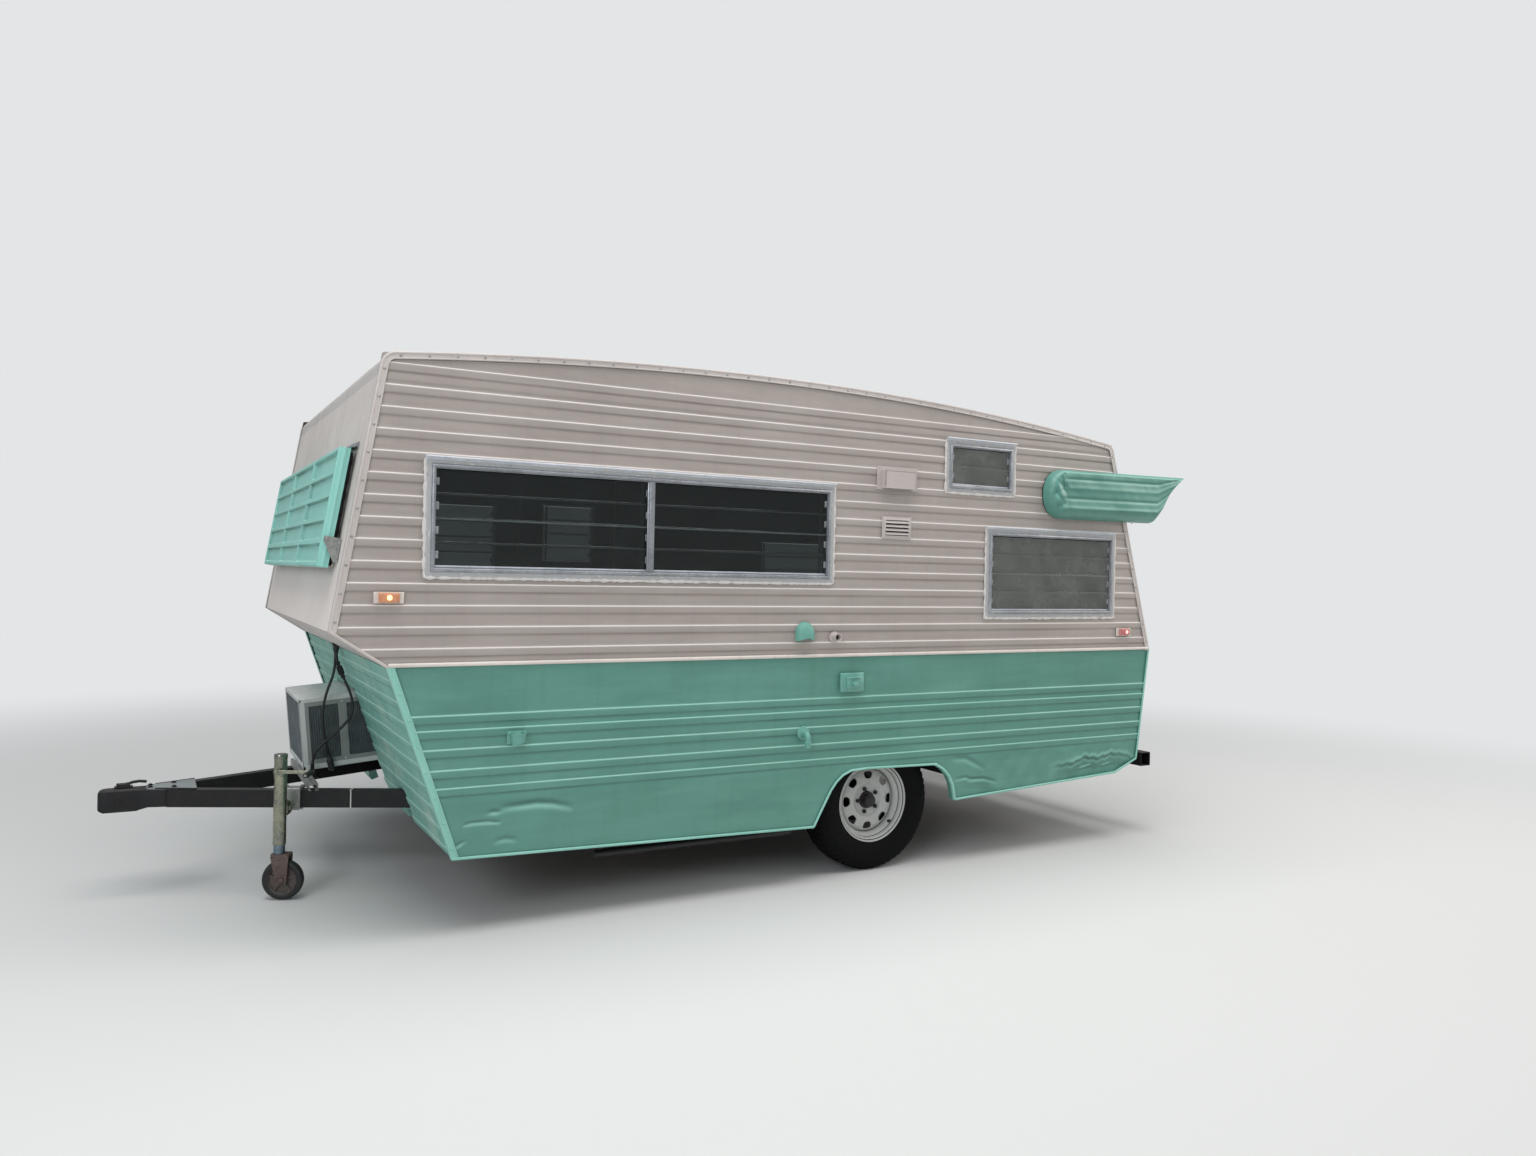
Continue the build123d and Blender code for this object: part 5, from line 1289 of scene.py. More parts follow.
def wall_frame(side, station, z):
    """Origin and axes of a window on a side wall: along the wall, up it, and out of it."""
    sign = 1 if side == "left" else -1
    return np.array([x_at(station), sign * WALL_Y, z]), np.array([-sign, 0, 0.0]), np.array([0, 0, 1.0])


def sloped_frame(low, high, sign, z):
    """The same on the front or the back wall, at a height on its centre line."""
    station, normal = slope(low, high, sign)
    upward = np.array([-normal[1] * sign, 0, normal[0] * sign]) * (1 if normal[0] * sign > 0 else -1)
    return np.array([x_at(station(z)), 0, z]), np.array([0, sign, 0.0]), upward


def on_plane(shape, plane):
    origin, x_dir, y_dir = plane
    return placed(shape, origin, x_dir, y_dir, np.cross(x_dir, y_dir))


FRAME_T = 0.014
# Inwards from the flange's edge, and out of the wall, in millimetres
FRAME_SECTION_MM = np.array([
    [17.5, 0.4], [17.5, 3.2], [20, 4.4], [22.5, 9.5], [24.5, 12.5], [27, 13.6],
    [31, 13.6], [33, 12.2], [34, 9.5], [34, 4.0], [38, 3.0], [38, -1.0], [36.5, -2], [36.5, -39.5],
    [24.6, -39.5], [24.6, 0.4],
])
FLANGE_SECTION_MM = np.array([[0.3, 0.4], [0.3, 2.6], [1.2, 3.6], [4, 4.0], [16, 4.0], [18.6, 3.6],
                              [19.2, 2.6], [19.2, 0.4]])


def frame_ring(width, height, section_mm=FRAME_SECTION_MM):
    """Point (i, j) = corner[i] * (half size - section[j].inwards) with section[j].out: a mitred ring."""
    section = section_mm / 1000
    signs = np.array([[1, 1], [-1, 1], [-1, -1], [1, -1]])
    half = np.array([width / 2, height / 2])
    points = np.concatenate([
        signs[:, None, :] * (half[None, None, :] - section[None, :, :1]),
        np.broadcast_to(section[None, :, 1:], (4, len(section), 1)),
    ], axis=-1)
    return outward((points.reshape(-1, 3), [grid_faces(4, len(section), wrap_rows=True, wrap_cols=True)]))


def mullion(x, height):
    """The upright between two units: a step-edged bar as tall as the opening."""
    reach = height / 2 - FLANGE - FRAME_T + 0.001
    return join(box(x - 0.016, x + 0.016, -reach, reach, 0.001, 0.0105, 0.002),
                box(x - 0.0065, x + 0.0065, -reach, reach, 0.0100, 0.0135, 0.0015),
                box(x - 0.007, x + 0.007, -reach, reach, -0.0390, 0.0015, 0.001))


def lumpy_bead(width, height, seed, offset=0.002, radius=0.0054):
    """Sealant squeezed out round the flange: a flat bead whose size wanders, and which droops at the foot."""
    loop = rounded_box(width + 2 * offset, height + 2 * offset, 0.010, 3)
    loop = np.vstack([loop, loop[:1]])
    lengths = lengths_along(loop)
    marks = np.arange(0, lengths[-1] - 0.006, 0.012)
    path = np.column_stack([on_line(marks, lengths, loop), 0 * marks + 0.0012])
    rng = np.random.default_rng(seed)
    lumps = rng.uniform(-0.6, 0.9, len(marks)) + 0.4 * np.sin(marks * 90 + seed)
    wander = rng.uniform(-0.0010, 0.0022, len(marks))
    path[:, :2] *= 1 + (wander / np.maximum(np.linalg.norm(path[:, :2], axis=1), 0.05))[:, None]
    size = np.clip(1 + 0.6 * lumps, 0.4, 2.0)
    return sweep(ring(radius, 8, flat=0.62), path, closed=True, size=size)


def drip_cap(width, height):
    """The gutter over the head: a bent strip that throws rain clear, with turned-down ends."""
    section = np.array([[0, 0.3], [0, 3.4], [5, 4.6], [9, 14.0], [5.5, 20.5], [3.0, 20.8], [2.6, 19.4],
                        [4.6, 18.6], [6.8, 13.6], [3.6, 6.4], [-8, 3.4], [-8, 0.3]]) / 1000
    return extruded(section + [height / 2 + 0.001, 0], -width / 2 - 0.004, width / 2 + 0.004)


def flange_screws(width, height, spacing=0.13):
    """Screw heads along the middle of the flange."""
    x = np.linspace(-width / 2 + 0.010, width / 2 - 0.010, max(3, int(width / spacing)))
    y = np.linspace(-height / 2 + 0.010, height / 2 - 0.010, max(3, int(height / spacing)))
    places = [(a, b) for a in x for b in (y[0], y[-1])] + [(a, b) for a in (x[0], x[-1]) for b in y[1:-1]]
    return join(*[dome((a, b, 0.0036), (0, 0, 1), 0.0034, 0.0016, 8) for a, b in places])


print("frame section", len(FRAME_SECTION_MM), "points")

# %% [markdown]
# Each blade is a thin rounded slab of glass, tilted so that its foot stands out over the next one's head.
# A narrow aluminium channel grips its lower edge, which draws the pale lines across the dark window; its pale
# finish is a painted highlight.
# Pivot clips at both ends hold it, and an upright operating bar runs down one side.

# %% Blades
BLADE_T, BLADE_TILT = 0.005, math.radians(4)
TILTED = np.array([[1, 0, 0], [0, math.cos(BLADE_TILT), math.sin(BLADE_TILT)],
                   [0, -math.sin(BLADE_TILT), math.cos(BLADE_TILT)]])


def window_blades(width, height, units, blades):
    """Glass slabs, their edge channels, clips and bars, in the window's own plane."""
    in_w, in_h = width - 2 * FLANGE - 0.001, height - 2 * FLANGE - 0.001
    light_w = (in_w - (units + 1) * FRAME_T) / units
    light_h = in_h - 2 * FRAME_T
    pitch = (light_h - 0.002) / blades
    glass, metal, lips = [], [], []
    for unit_ in range(units):
        x = -in_w / 2 + FRAME_T + light_w / 2 + unit_ * (light_w + FRAME_T)
        for blade in range(blades):
            y = -light_h / 2 + 0.001 + pitch * (blade + 0.5)
            reach = pitch / 2 + (0.004 if blade else -0.001)
            top = pitch / 2 + (0.0045 if blade < blades - 1 else -0.002)
            hung = (x, y, -0.004 - 0.0012 * (blade % 2)), *TILTED
            slab = box(-light_w / 2 + 0.0015, light_w / 2 - 0.0015, -reach, top, -BLADE_T / 2, BLADE_T / 2,
                       0.0008)
            glass.append(placed(slab, *hung))
            lip = box(-light_w / 2 + 0.001, light_w / 2 - 0.001, -reach - 0.0012, -reach + 0.0050,
                      BLADE_T / 2 + 0.0002, BLADE_T / 2 + 0.0016, 0.0005)
            lips.append(placed(lip, *hung))
            for end in (-1, 1):
                clip = box(*span(end, light_w / 2 - 0.012, light_w / 2 - 0.0008), -0.014, 0.014,
                           -BLADE_T / 2 - 0.004, BLADE_T / 2 + 0.0022, 0.0008)
                metal.append(placed(clip, *hung))
        bar_x, bar_reach = x + light_w / 2 - 0.021, light_h / 2 - 0.004
        metal.append(box(bar_x - 0.005, bar_x + 0.005, -bar_reach, bar_reach, -0.030, -0.018, 0.001))
    return join(*glass), join(*metal), join(*lips)


frames, glazing, sealing, flanges, caps, reflection_marks = [], [], [], [], [], []
spans = [(wall_frame(side, (r + f) / 2, (lo + hi) / 2), f - r, hi - lo, units, blades)
         for side, r, f, lo, hi, units, blades in WINDOWS]
FRONT_NUMBER = len(spans)
# These windows take the paler glass, a painted reflection.
PAINTED_REFLECTION_WINDOWS = (1, 2, 6)
spans.append((sloped_frame(PROW, FRONT_TOP, 1, FRONT_WINDOW[2]), FRONT_WINDOW[0], FRONT_WINDOW[1], 2, 1))
spans.append((sloped_frame(BELT_REAR, REAR_TOP, -1, REAR_WINDOW[2]), REAR_WINDOW[0], REAR_WINDOW[1], 1, 4))
for number, (plane, width, height, units, blades) in enumerate(spans):
    glass, metal, lips = window_blades(width, height, units, blades)
    caps.append(on_plane(lips, plane))
    parts = [frame_ring(width, height), metal]
    if number != FRONT_NUMBER:
        caps.append(on_plane(drip_cap(width, height), plane))
    if units == 2:
        parts.append(mullion(0.0, height))
    frames.append(on_plane(join(*parts), plane))
    glazing.append(on_plane(glass, plane))
    reflection_marks.append(np.full(face_count(glass), int(number in PAINTED_REFLECTION_WINDOWS)))
    sealing += [on_plane(lumpy_bead(width, height, number), plane),
                on_plane(lumpy_bead(width - 0.030, height - 0.030, number + 40, 0.0, 0.0032), plane)]
    flange = join(frame_ring(width, height, FLANGE_SECTION_MM), flange_screws(width, height))
    flanges.append(on_plane(flange, plane))
as_piece("frames_of_windows", join(*frames), ALUMINIUM, stands_for=["window_frames"])
as_piece("drip_caps_and_lips", join(*caps), HIGHLIGHT_ALUMINIUM)
as_piece("blades_of_glass", join(*glazing), GLASS, stands_for=["window_panes"],
         second=(PAINTED_REFLECTION_GLASS, np.concatenate(reflection_marks)))
as_piece("sealant_beads", join(*sealing), SEALANT, smooth=60)
as_piece("painted_flanges", join(*flanges), PAINTED_FLANGE, smooth=40)

# %% [markdown]
# The entry door is on the curb side, cut from the same ribbed sheet, so its ribs run on from the wall's.
# An aluminium edge strip frames it, and a second one lines the opening. Three hinges carry it at the front.

# %% Entry door
DOOR_T = 0.036
DOOR_MID = (DOOR[0] + DOOR[1]) / 2
DOOR_LIGHT = (0.400, 0.420, 1.650)
light_hole = (DOOR_MID - DOOR_LIGHT[0] / 2 + FLANGE, DOOR_MID + DOOR_LIGHT[0] / 2 - FLANGE,
              DOOR_LIGHT[2] - DOOR_LIGHT[1] / 2 + FLANGE, DOOR_LIGHT[2] + DOOR_LIGHT[1] / 2 - FLANGE)
door_columns = stations(DOOR[0], DOOR[1], light_hole[:2], 0.05)
for name, low, high, crests, paint, slot, node in (
        ("door_leaf_upper", BELT_Z, DOOR[3], beige_crests, BEIGE, "siding_cream", "door"),
        ("door_leaf_lower", DOOR[2], BELT_Z, green_crests, GREEN, "siding_green", None)):
    rows = np.unique(np.concatenate([sheet_rows(low, high, crests), up_holes([light_hole], low, high)]))
    sheet = side_sheet(door_columns, rows, level(low), level(high), [light_hole], crests, no_knocks)
    wall_piece(name, sheet, "right", paint, node, crests, "door", WALL_Y - DOOR_T + 0.0005)

door_plane_ = wall_frame("right", DOOR_MID, (DOOR[2] + DOOR[3]) / 2)
light_plane = wall_frame("right", DOOR_MID, DOOR_LIGHT[2])
door_size = (DOOR[1] - DOOR[0], DOOR[3] - DOOR[2])
EDGE_STRIP_MM = np.array([[0.2, -4], [0.2, 1.6], [1.4, 2.4], [14, 2.6], [17, 1.6], [17, -4]])
JAMB_STRIP_MM = np.array([[0, 0.2], [0, 1.2], [1, 1.8], [15, 1.8], [18, 1.2], [19, -1], [19, -38],
                          [20.3, -38], [20.3, 0.2]])
HINGE_S, HINGE_Y = DOOR[1] + DOOR_GAP / 2, -WALL_Y - 0.012
hinge_heights = (DOOR[2] + 0.120, (DOOR[2] + DOOR[3]) / 2, DOOR[3] - 0.120)


def upright_rod(s, y, z0, z1, radius, count=20):
    """A round pin standing at a station."""
    profile = [[0, z0], [radius - 0.0006, z0], [radius, z0 + 0.0006], [radius, z1 - 0.0006],
               [radius - 0.0006, z1], [0, z1]]
    return turned(profile, (x_at(s), y, 0), (0, 0, 1), count)


def knuckle(z):
    """The door's knuckle of one hinge, its web and the strap screwed to the sheet."""
    web = box(x_at(HINGE_S - 0.0095), x_at(HINGE_S - 0.0025), HINGE_Y + 0.0004, -WALL_Y, z - 0.011, z + 0.011)
    strap = box(x_at(HINGE_S - 0.0275), x_at(HINGE_S - 0.0045), -WALL_Y - 0.0029, -WALL_Y + 0.003,
                z - 0.011, z + 0.011)
    screws = [dome((x_at(HINGE_S - 0.019), -WALL_Y - 0.0027, z + up_), (0, -1, 0), 0.003, 0.0014, 8)
              for up_ in (-0.0065, 0.0065)]
    return join(upright_rod(HINGE_S, HINGE_Y, z - 0.0113, z + 0.0113, 0.005), web, strap, *screws)


door_metal = [on_plane(frame_ring(*door_size, EDGE_STRIP_MM), door_plane_),
              on_plane(flange_screws(door_size[0] - 0.001, door_size[1] - 0.001, 0.24), door_plane_)]
door_metal += [knuckle(z) for z in hinge_heights]
as_piece("door_edging", join(*door_metal), ALUMINIUM, body="door")
light_section = FRAME_SECTION_MM.copy()
light_section[:, 1] = np.maximum(light_section[:, 1], -35.0)
glass, metal, lips = window_blades(*DOOR_LIGHT[:2], 1, 4)
light_parts = [frame_ring(*DOOR_LIGHT[:2], light_section), metal, lips, flange_screws(*DOOR_LIGHT[:2])]
as_piece("door_light_frame", on_plane(join(*light_parts), light_plane), ALUMINIUM,
         body="door", stands_for=["door_window_frame"])
as_piece("door_light_blades", on_plane(glass, light_plane), GLASS, body="door",
         stands_for=["door_panes"])
as_piece("door_light_sealant", on_plane(lumpy_bead(*DOOR_LIGHT[:2], 21), light_plane), SEALANT,
         body="door", smooth=60)

jamb = frame_ring(door_size[0] + 2 * DOOR_GAP + 0.040, door_size[1] + 2 * DOOR_GAP + 0.040, JAMB_STRIP_MM)
as_piece("door_jamb", on_plane(jamb, door_plane_), ALUMINIUM)

# %% [markdown]
# The stone guard is a moulded glass-fibre tray over the front window, hinged along its top. Its face has
# three columns of five sunken panels between flat bars. A smooth step function gives each panel its edge:
# it is 0 on a bar, 1 in a panel, and runs between them over a few millimetres.

# %% Stone guard
guard_plane_ = sloped_frame(PROW, FRONT_TOP, 1, FRONT_WINDOW[2])
GUARD_W, GUARD_LOW, GUARD_HIGH = 2.080, -0.230, 0.232
GUARD_BACK, GUARD_DEEP = 0.024, 0.066
GUARD_BAR, GUARD_POST, GUARD_SUNK, GUARD_EDGE, GUARD_INSET = 0.016, 0.0256, 0.014, 0.005, 0.006
GUARD_COLS, GUARD_ROWS = 3, 5


def bar_lines(low, high, count, bar):
    """Middles of the bars of a row of panels, with a bar at each end."""
    return np.linspace(low + bar / 2, high - bar / 2, count + 1)


bars_x = bar_lines(-GUARD_W / 2, GUARD_W / 2, GUARD_COLS, GUARD_POST)
bars_y = bar_lines(GUARD_LOW, GUARD_HIGH, GUARD_ROWS, GUARD_BAR)


def off_bars(value, bars, bar):
    """0 on a bar, 1 in a panel, with a smooth slope between."""
    distance = np.abs(value[..., None] - bars).min(axis=-1) - bar / 2
    t = np.clip(distance / GUARD_EDGE, 0, 1)
    return t * t * (3 - 2 * t)


def panel_steps(bars, bar, low, high):
    """Sample places from edge to edge that follow each bar's two slopes."""
    low, high = low + GUARD_INSET, high - GUARD_INSET
    steps = np.array([-1, -0.85, 0.85, 1]) * bar / 2
    slopes = np.array([0.25, 0.5, 0.75, 1.0]) * GUARD_EDGE + bar / 2
    marks = np.concatenate([bars[:, None] + steps, bars[:, None] + slopes, bars[:, None] - slopes],
                           axis=1).ravel()
    marks = np.concatenate([marks, np.linspace(low, high, 40)])
    inside = marks[(marks > low + 0.0005) & (marks < high - 0.0005)]
    return np.concatenate([[low], np.unique(np.round(inside, 5)), [high]])


gx = panel_steps(bars_x, GUARD_POST, -GUARD_W / 2, GUARD_W / 2)
gy = panel_steps(bars_y, GUARD_BAR, GUARD_LOW, GUARD_HIGH)
x, y = np.meshgrid(gx, gy, indexing="ij")
sunk = off_bars(x, bars_x, GUARD_POST) * off_bars(y, bars_y, GUARD_BAR)
pillow = 0.0016 * np.sin(np.pi * (y - GUARD_LOW) / (GUARD_HIGH - GUARD_LOW) * GUARD_ROWS) ** 2
face_z = GUARD_DEEP - GUARD_SUNK * sunk + pillow * sunk + 0.0006 * np.sin(7 * x + 3 * y) - 0.0006
front_face = np.stack([x, y, face_z], axis=-1).reshape(-1, 3)
tray = walled(front_face, front_face - [0, 0, 0.004], [grid_faces(len(gx), len(gy))])
SKIRT_MM = np.array([[1, 24], [1, 40], [0, 41.5], [0, 44], [1.2, 45.5], [1.2, 60], [2.2, 63.6], [5, 65.6],
                     [8, 65.8], [8, 61], [5, 58], [5, 28], [22, 27], [22, 24]])
skirt = moved(frame_ring(GUARD_W, GUARD_HIGH - GUARD_LOW, SKIRT_MM), [0, (GUARD_HIGH + GUARD_LOW) / 2, 0])
HINGE_UP, HINGE_OUT, HINGE_R, GUARD_KNUCKLES = GUARD_HIGH + 0.014, 0.016, 0.0069, 7
# Painted light from the face's slope: painted shade where it leans down and on the panels' side slopes,
# painted highlight where it leans up.
lean_x, lean_y = np.gradient(face_z, gx, axis=0), np.gradient(face_z, gy, axis=1)
guard_painted_shade = np.clip(lean_y / 1.4, 0, 0.9) + np.clip(np.abs(lean_x) / 2.6, 0, 0.6)
guard_painted_highlight = np.clip(-lean_y / 2.2, 0, 0.6)
guard_parts = [outward(tray), skirt]
run = GUARD_W / GUARD_KNUCKLES
for index in range(1, GUARD_KNUCKLES, 2):
    x0, x1 = -GUARD_W / 2 + index * run + 0.0006, -GUARD_W / 2 + (index + 1) * run - 0.0006
    guard_parts += [rod(HINGE_R, x0, x1, (0, HINGE_UP, HINGE_OUT), (1, 0, 0), 16),
                    box(x0, x1, GUARD_HIGH - 0.0008, HINGE_UP - 0.0002, GUARD_BACK, GUARD_BACK + 0.0028),
                    box(x0, x1, HINGE_UP - 0.0048, HINGE_UP - 0.0002, HINGE_OUT, GUARD_BACK + 0.0008)]
guard_shape = join(*guard_parts)


def marks_of(marks, shape=guard_shape):
    """The face's marks, and 0 for the rest of the shape's points."""
    return np.concatenate([marks.ravel(), np.zeros(len(shape[0]) - marks.size)])


as_piece("guard_tray", on_plane(guard_shape, guard_plane_), PALE_GREEN, body="stone_guard",
         stands_for=["stone_guard"], smooth=40,
         values={"groove": np.clip(marks_of(guard_painted_shade), 0, 1), "pale_and_highlight": marks_of(guard_painted_highlight)})
gasket_ring = frame_ring(2.036, 0.440, np.array([[0, 11], [0, 26], [20, 26], [20, 11]]))
as_piece("guard_gasket", on_plane(gasket_ring, guard_plane_), GASKET, body="stone_guard",
         smooth=30)

# %% [markdown]
# Two grey brackets on the wall hold the guard's lower corners, each a bent plate with a pair of bolts.

# %% Guard brackets
BRACKET_X, BRACKET_T = 1.0465, 0.003


def bracket_plate():
    """A triangle standing out of the wall, with its foot turned flat against it."""
    outline_ = np.array([[-0.112, 0.002], [-0.112, 0.058], [-0.128, 0.060], [-0.205, 0.012], [-0.205, 0.002]])
    plate = extruded(outline_, BRACKET_X, BRACKET_X + BRACKET_T)
    foot = box(BRACKET_X, BRACKET_X + 0.030, -0.203, -0.114, 0.0008, 0.0038)
    bolts = [hexagon_bolt((BRACKET_X + BRACKET_T, y_, z_), (1, 0, 0), 0.007)
             for y_, z_ in ((-0.122, 0.048), (-0.145, 0.030))]
    feet = [hexagon_bolt((BRACKET_X + 0.019, y_, 0.0038), (0, 0, 1), 0.006) for y_ in (-0.130, -0.185)]
    return join(plate, foot, *bolts, *feet)


def hexagon_bolt(centre, axis, radius, height=None):
    """A washer under a six-sided head."""
    height = height or radius * 0.7
    washer = rod(radius * 1.45, -0.0004, 0.0012, centre, axis, 20)
    head = turned([[0, 0.001], [radius, 0.001], [radius, height], [radius * 0.86, height + 0.001],
                   [0, height + 0.001]], centre, axis, 6)
    return join(washer, head)


brackets = bracket_plate()
as_piece("guard_brackets", on_plane(join(brackets, other_hand(brackets)), guard_plane_), GALVANISED,
         smooth=30)

# %% [markdown]
# A wing is a closed pod of thin sheet on each side, with a round crinkled nose, a slanted tail and lengthwise
# swages. It is a grid: u runs from the nose to the tail and v from the bottom to the top, and the pod stands
# out by its thickness times a quarter circle over the distance to the nearest edge.

# %% Wings
wing_low, wing_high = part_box("wings")
POD_NOSE, POD_TAIL = float(wing_high[0] - AXLE_X), float(wing_low[0] - AXLE_X)
POD_OUT, POD_T, POD_NOSE_R = WALL_Y + 0.0033, 0.0775, 0.120
TAIL_LOW = -1.781


def pod_edges(v):
    """Nose and tail stations at a share of the height."""
    off_middle = np.clip((np.abs(v - 0.5) * 0.262 - (0.131 - POD_NOSE_R)) / POD_NOSE_R, 0, 1)
    nose = POD_NOSE - POD_NOSE_R * (1 - np.sqrt(1 - off_middle ** 2))
    return nose - 0.0005, TAIL_LOW + (POD_TAIL - TAIL_LOW) * v + 0.002


def crumple(s, z, seed, size):
    """Small creases in no one direction: sines folded at zero leave sharp valleys."""
    rng = np.random.default_rng(seed)
    total = np.zeros_like(s)
    for _ in range(7):
        direction = rng.uniform(0, 2 * np.pi)
        total += np.abs(np.sin((np.cos(direction) * s + np.sin(direction) * z) * rng.uniform(0.6, 1.6) / size
                               + rng.uniform(0, 6))) - 0.64
    return total / 7


u = np.unique(np.concatenate([np.linspace(0, 0.22, 60), np.linspace(0.22, 0.98, 96),
                              np.linspace(0.98, 1, 5)]))
v = 0.5 - 0.5 * np.cos(np.linspace(0, np.pi, 80))
uu, vv = np.meshgrid(u, v, indexing="ij")
nose, tail = pod_edges(vv)
ps = nose + uu * (tail - nose)
low_z = np.interp(ps, [TAIL_LOW, POD_NOSE], [1.753, 1.745])
high_z = np.interp(ps, [POD_TAIL, POD_NOSE], [2.021, 2.006])
low_z = np.where(ps < TAIL_LOW, np.interp(ps, [POD_TAIL, TAIL_LOW], [2.021, 1.753]), low_z)
pz = low_z + vv * (high_z - low_z)
edge_gap = np.minimum(np.minimum((pz - low_z) * 0.6, (high_z - pz) * 1.6),
                      np.minimum((nose - ps) * 0.8, (ps - tail) * 3))
rise = np.sqrt(np.clip(1 - (1 - np.clip(edge_gap / 0.034, 0, 1)) ** 2, 0, 1))
swages = sum(deep_ * np.exp(-((vv - line) / width_) ** 2) for line, width_, deep_ in (
    (0.80, 0.030, -0.0032), (0.62, 0.045, 0.0024), (0.41, 0.028, -0.0034), (0.22, 0.035, 0.0026)))
nose_share = np.clip((ps - (POD_NOSE - 0.15)) / 0.10, 0, 1)
crinkle = crumple(ps, pz, 4, 0.027) * (0.022 * nose_share + 0.0015) + crumple(ps, pz, 9, 0.08) * 0.007
py = POD_OUT + (POD_T - 0.009) * rise + np.sqrt(rise) * (swages * (1 - nose_share)
                                                         + np.clip(crinkle, -0.010, 0.006))
# Painted light from the pod's slope: painted shade where its face leans down, painted highlight where it
# leans up.
pod_lean = np.gradient(py, axis=1) / np.maximum(np.gradient(pz, axis=1), 5e-4)
face_share = np.clip((edge_gap - 0.016) / 0.012, 0, 1)
pod_painted_shade = np.clip(pod_lean / 0.8, 0, 0.75) * face_share
pod_painted_highlight = np.clip(-pod_lean / 1.0, 0, 0.6) * face_share
pod_outer = np.stack([at(ps), py, pz], axis=-1).reshape(-1, 3)
pod_inner = np.stack([at(ps), np.full_like(py, POD_OUT + 0.0002), pz], axis=-1).reshape(-1, 3)
pod = outward(walled(pod_outer, pod_inner, [grid_faces(len(u), len(v))]))
pod_screws = [dome((x_at(s_), POD_OUT + POD_T - 0.0075, z_), (0, 1, 0), 0.006, 0.003)
              for s_, z_ in ((-1.075, 1.905), (-1.072, 1.935))]
pod_screws += [dome((x_at(s_), POD_OUT + 0.030, 1.7465), (0, 0, -1), 0.006, 0.0028)
               for s_ in (-1.2, -1.41, -1.62)]
pod = join(pod, *pod_screws)
as_piece("pods", both_sides(pod), WING_GREEN, stands_for=["wings"], smooth=45,
         values={"groove": np.tile(marks_of(pod_painted_shade, pod), 2),
                 "pale_and_highlight": np.tile(marks_of(pod_painted_highlight, pod), 2)})
rim_v = np.linspace(0.02, 0.98, 12)
rim_nose = np.column_stack([pod_edges(rim_v)[0], 1.7475 + rim_v * 0.2560])
rim_loop = np.vstack([[TAIL_LOW + 0.004, 1.7555], rim_nose, [POD_TAIL + 0.012, 2.0185]])
seal_path = np.column_stack([at(rim_loop[:, 0]), np.full(len(rim_loop), WALL_Y + 0.0026), rim_loop[:, 1]])
seal = sweep(ring(0.0024, 6), seal_path, normal=(0, 1, 0), closed=True)
as_piece("pod_seals", both_sides(seal), GASKET, smooth=50)

# %% [markdown]
# The side lamps have a white base, a ribbed lens and a bulb behind its middle. Fine flutes run across the
# lens.
# The bulb is a glowing dome that shows through the lens's clear centre; its glow is painted light for that
# bright centre.

# %% Lamps
LAMP_BASE = enamel("lamp base, white plastic", "dcd2c8", "b4aaa0", "94897e", 0.45, 0.3, 0.25)


def fluted_lens(width, height, depth, flutes, base_z):
    """Grid over the face: a soft box whose middle carries small upright flutes."""
    a, b = np.linspace(-1, 1, flutes * 6 + 1), np.sin(np.linspace(-np.pi / 2, np.pi / 2, 15))
    ax, by = np.meshgrid(a, b, indexing="ij")
    edge = np.sqrt(np.clip((1 - np.abs(ax) ** 8) * (1 - np.abs(by) ** 6), 0, 1))
    z = base_z + depth * edge * (1 + 0.03 * np.cos(np.pi * 2 * ax * flutes))
    outer = np.stack([ax * width / 2, by * height / 2, z], axis=-1).reshape(-1, 3)
    inner = outer * [1, 1, 0] + [0, 0, base_z - 0.001]
    return outward(walled(outer, inner, [grid_faces(len(a), len(b))]))


def lamp_parts(node, bulb_x):
    """The two lamps of one colour, on both sides: bases, lenses and bulbs."""
    low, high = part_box(node)
    width, height = high[0] - low[0], high[2] - low[2]
    station_, z = (low[0] + high[0]) / 2 - AXLE_X, (low[2] + high[2]) / 2
    half_w, half_h = width / 2 - 0.0005, height / 2 - 0.0005
    base = join(box(-half_w, half_w, -half_h, half_h, 0.0004, 0.008, 0.002),
                *[dome((x_, 0, 0.008), (0, 0, 1), 0.0034, 0.0015, 8)
                  for x_ in (-width / 2 + 0.008, width / 2 - 0.008)])
    lens = fluted_lens(width - 0.034, height - 0.006, 0.0135, 12, 0.0078)
    a = np.linspace(0, np.pi / 2, 6)
    bulb = turned(np.vstack([np.column_stack([0.0105 * np.cos(a), 0.0195 + 0.005 * np.sin(a)]), [0, 0.0195]]),
                  (bulb_x, 0, 0), (0, 0, 1), 24)
    made = []
    for shape in (base, lens, bulb):
        made.append(both_sides(on_plane(shape, wall_frame("left", station_, z))))
    return made


for tint, bulb_x, lens_paint, bulb_paint in (("amber", 0.0, AMBER, GLOW_AMBER),
                                             ("red", 0.012, RED, GLOW_RED)):
    base, lens, bulb = lamp_parts("side_lamps_" + tint, bulb_x)
    as_piece(tint + "_lamp_bases", base, LAMP_BASE)
    as_piece(tint + "_lenses", lens, lens_paint, stands_for=["side_lamps_" + tint], smooth=40)
    as_piece(tint + "_bulbs", bulb, bulb_paint, smooth=60)

# %% [markdown]
# The vents and service fittings sit on the left wall. A range hood vent is a box open below, on a flange.
# The louvre under it is a frame with four slats, each a sheet that slopes out and down.

# %% Vents on the left wall


def left_wall_piece(shape, station_, z):
    return on_plane(other_hand(shape), wall_frame("left", station_, z))


def domes(z, xs, ys, radius, height, count=8):
    """Screw heads on a flat face, one at each pair of an x and a y."""
    return [dome((x_, y_, z), (0, 0, 1), radius, height, count) for x_ in xs for y_ in ys]


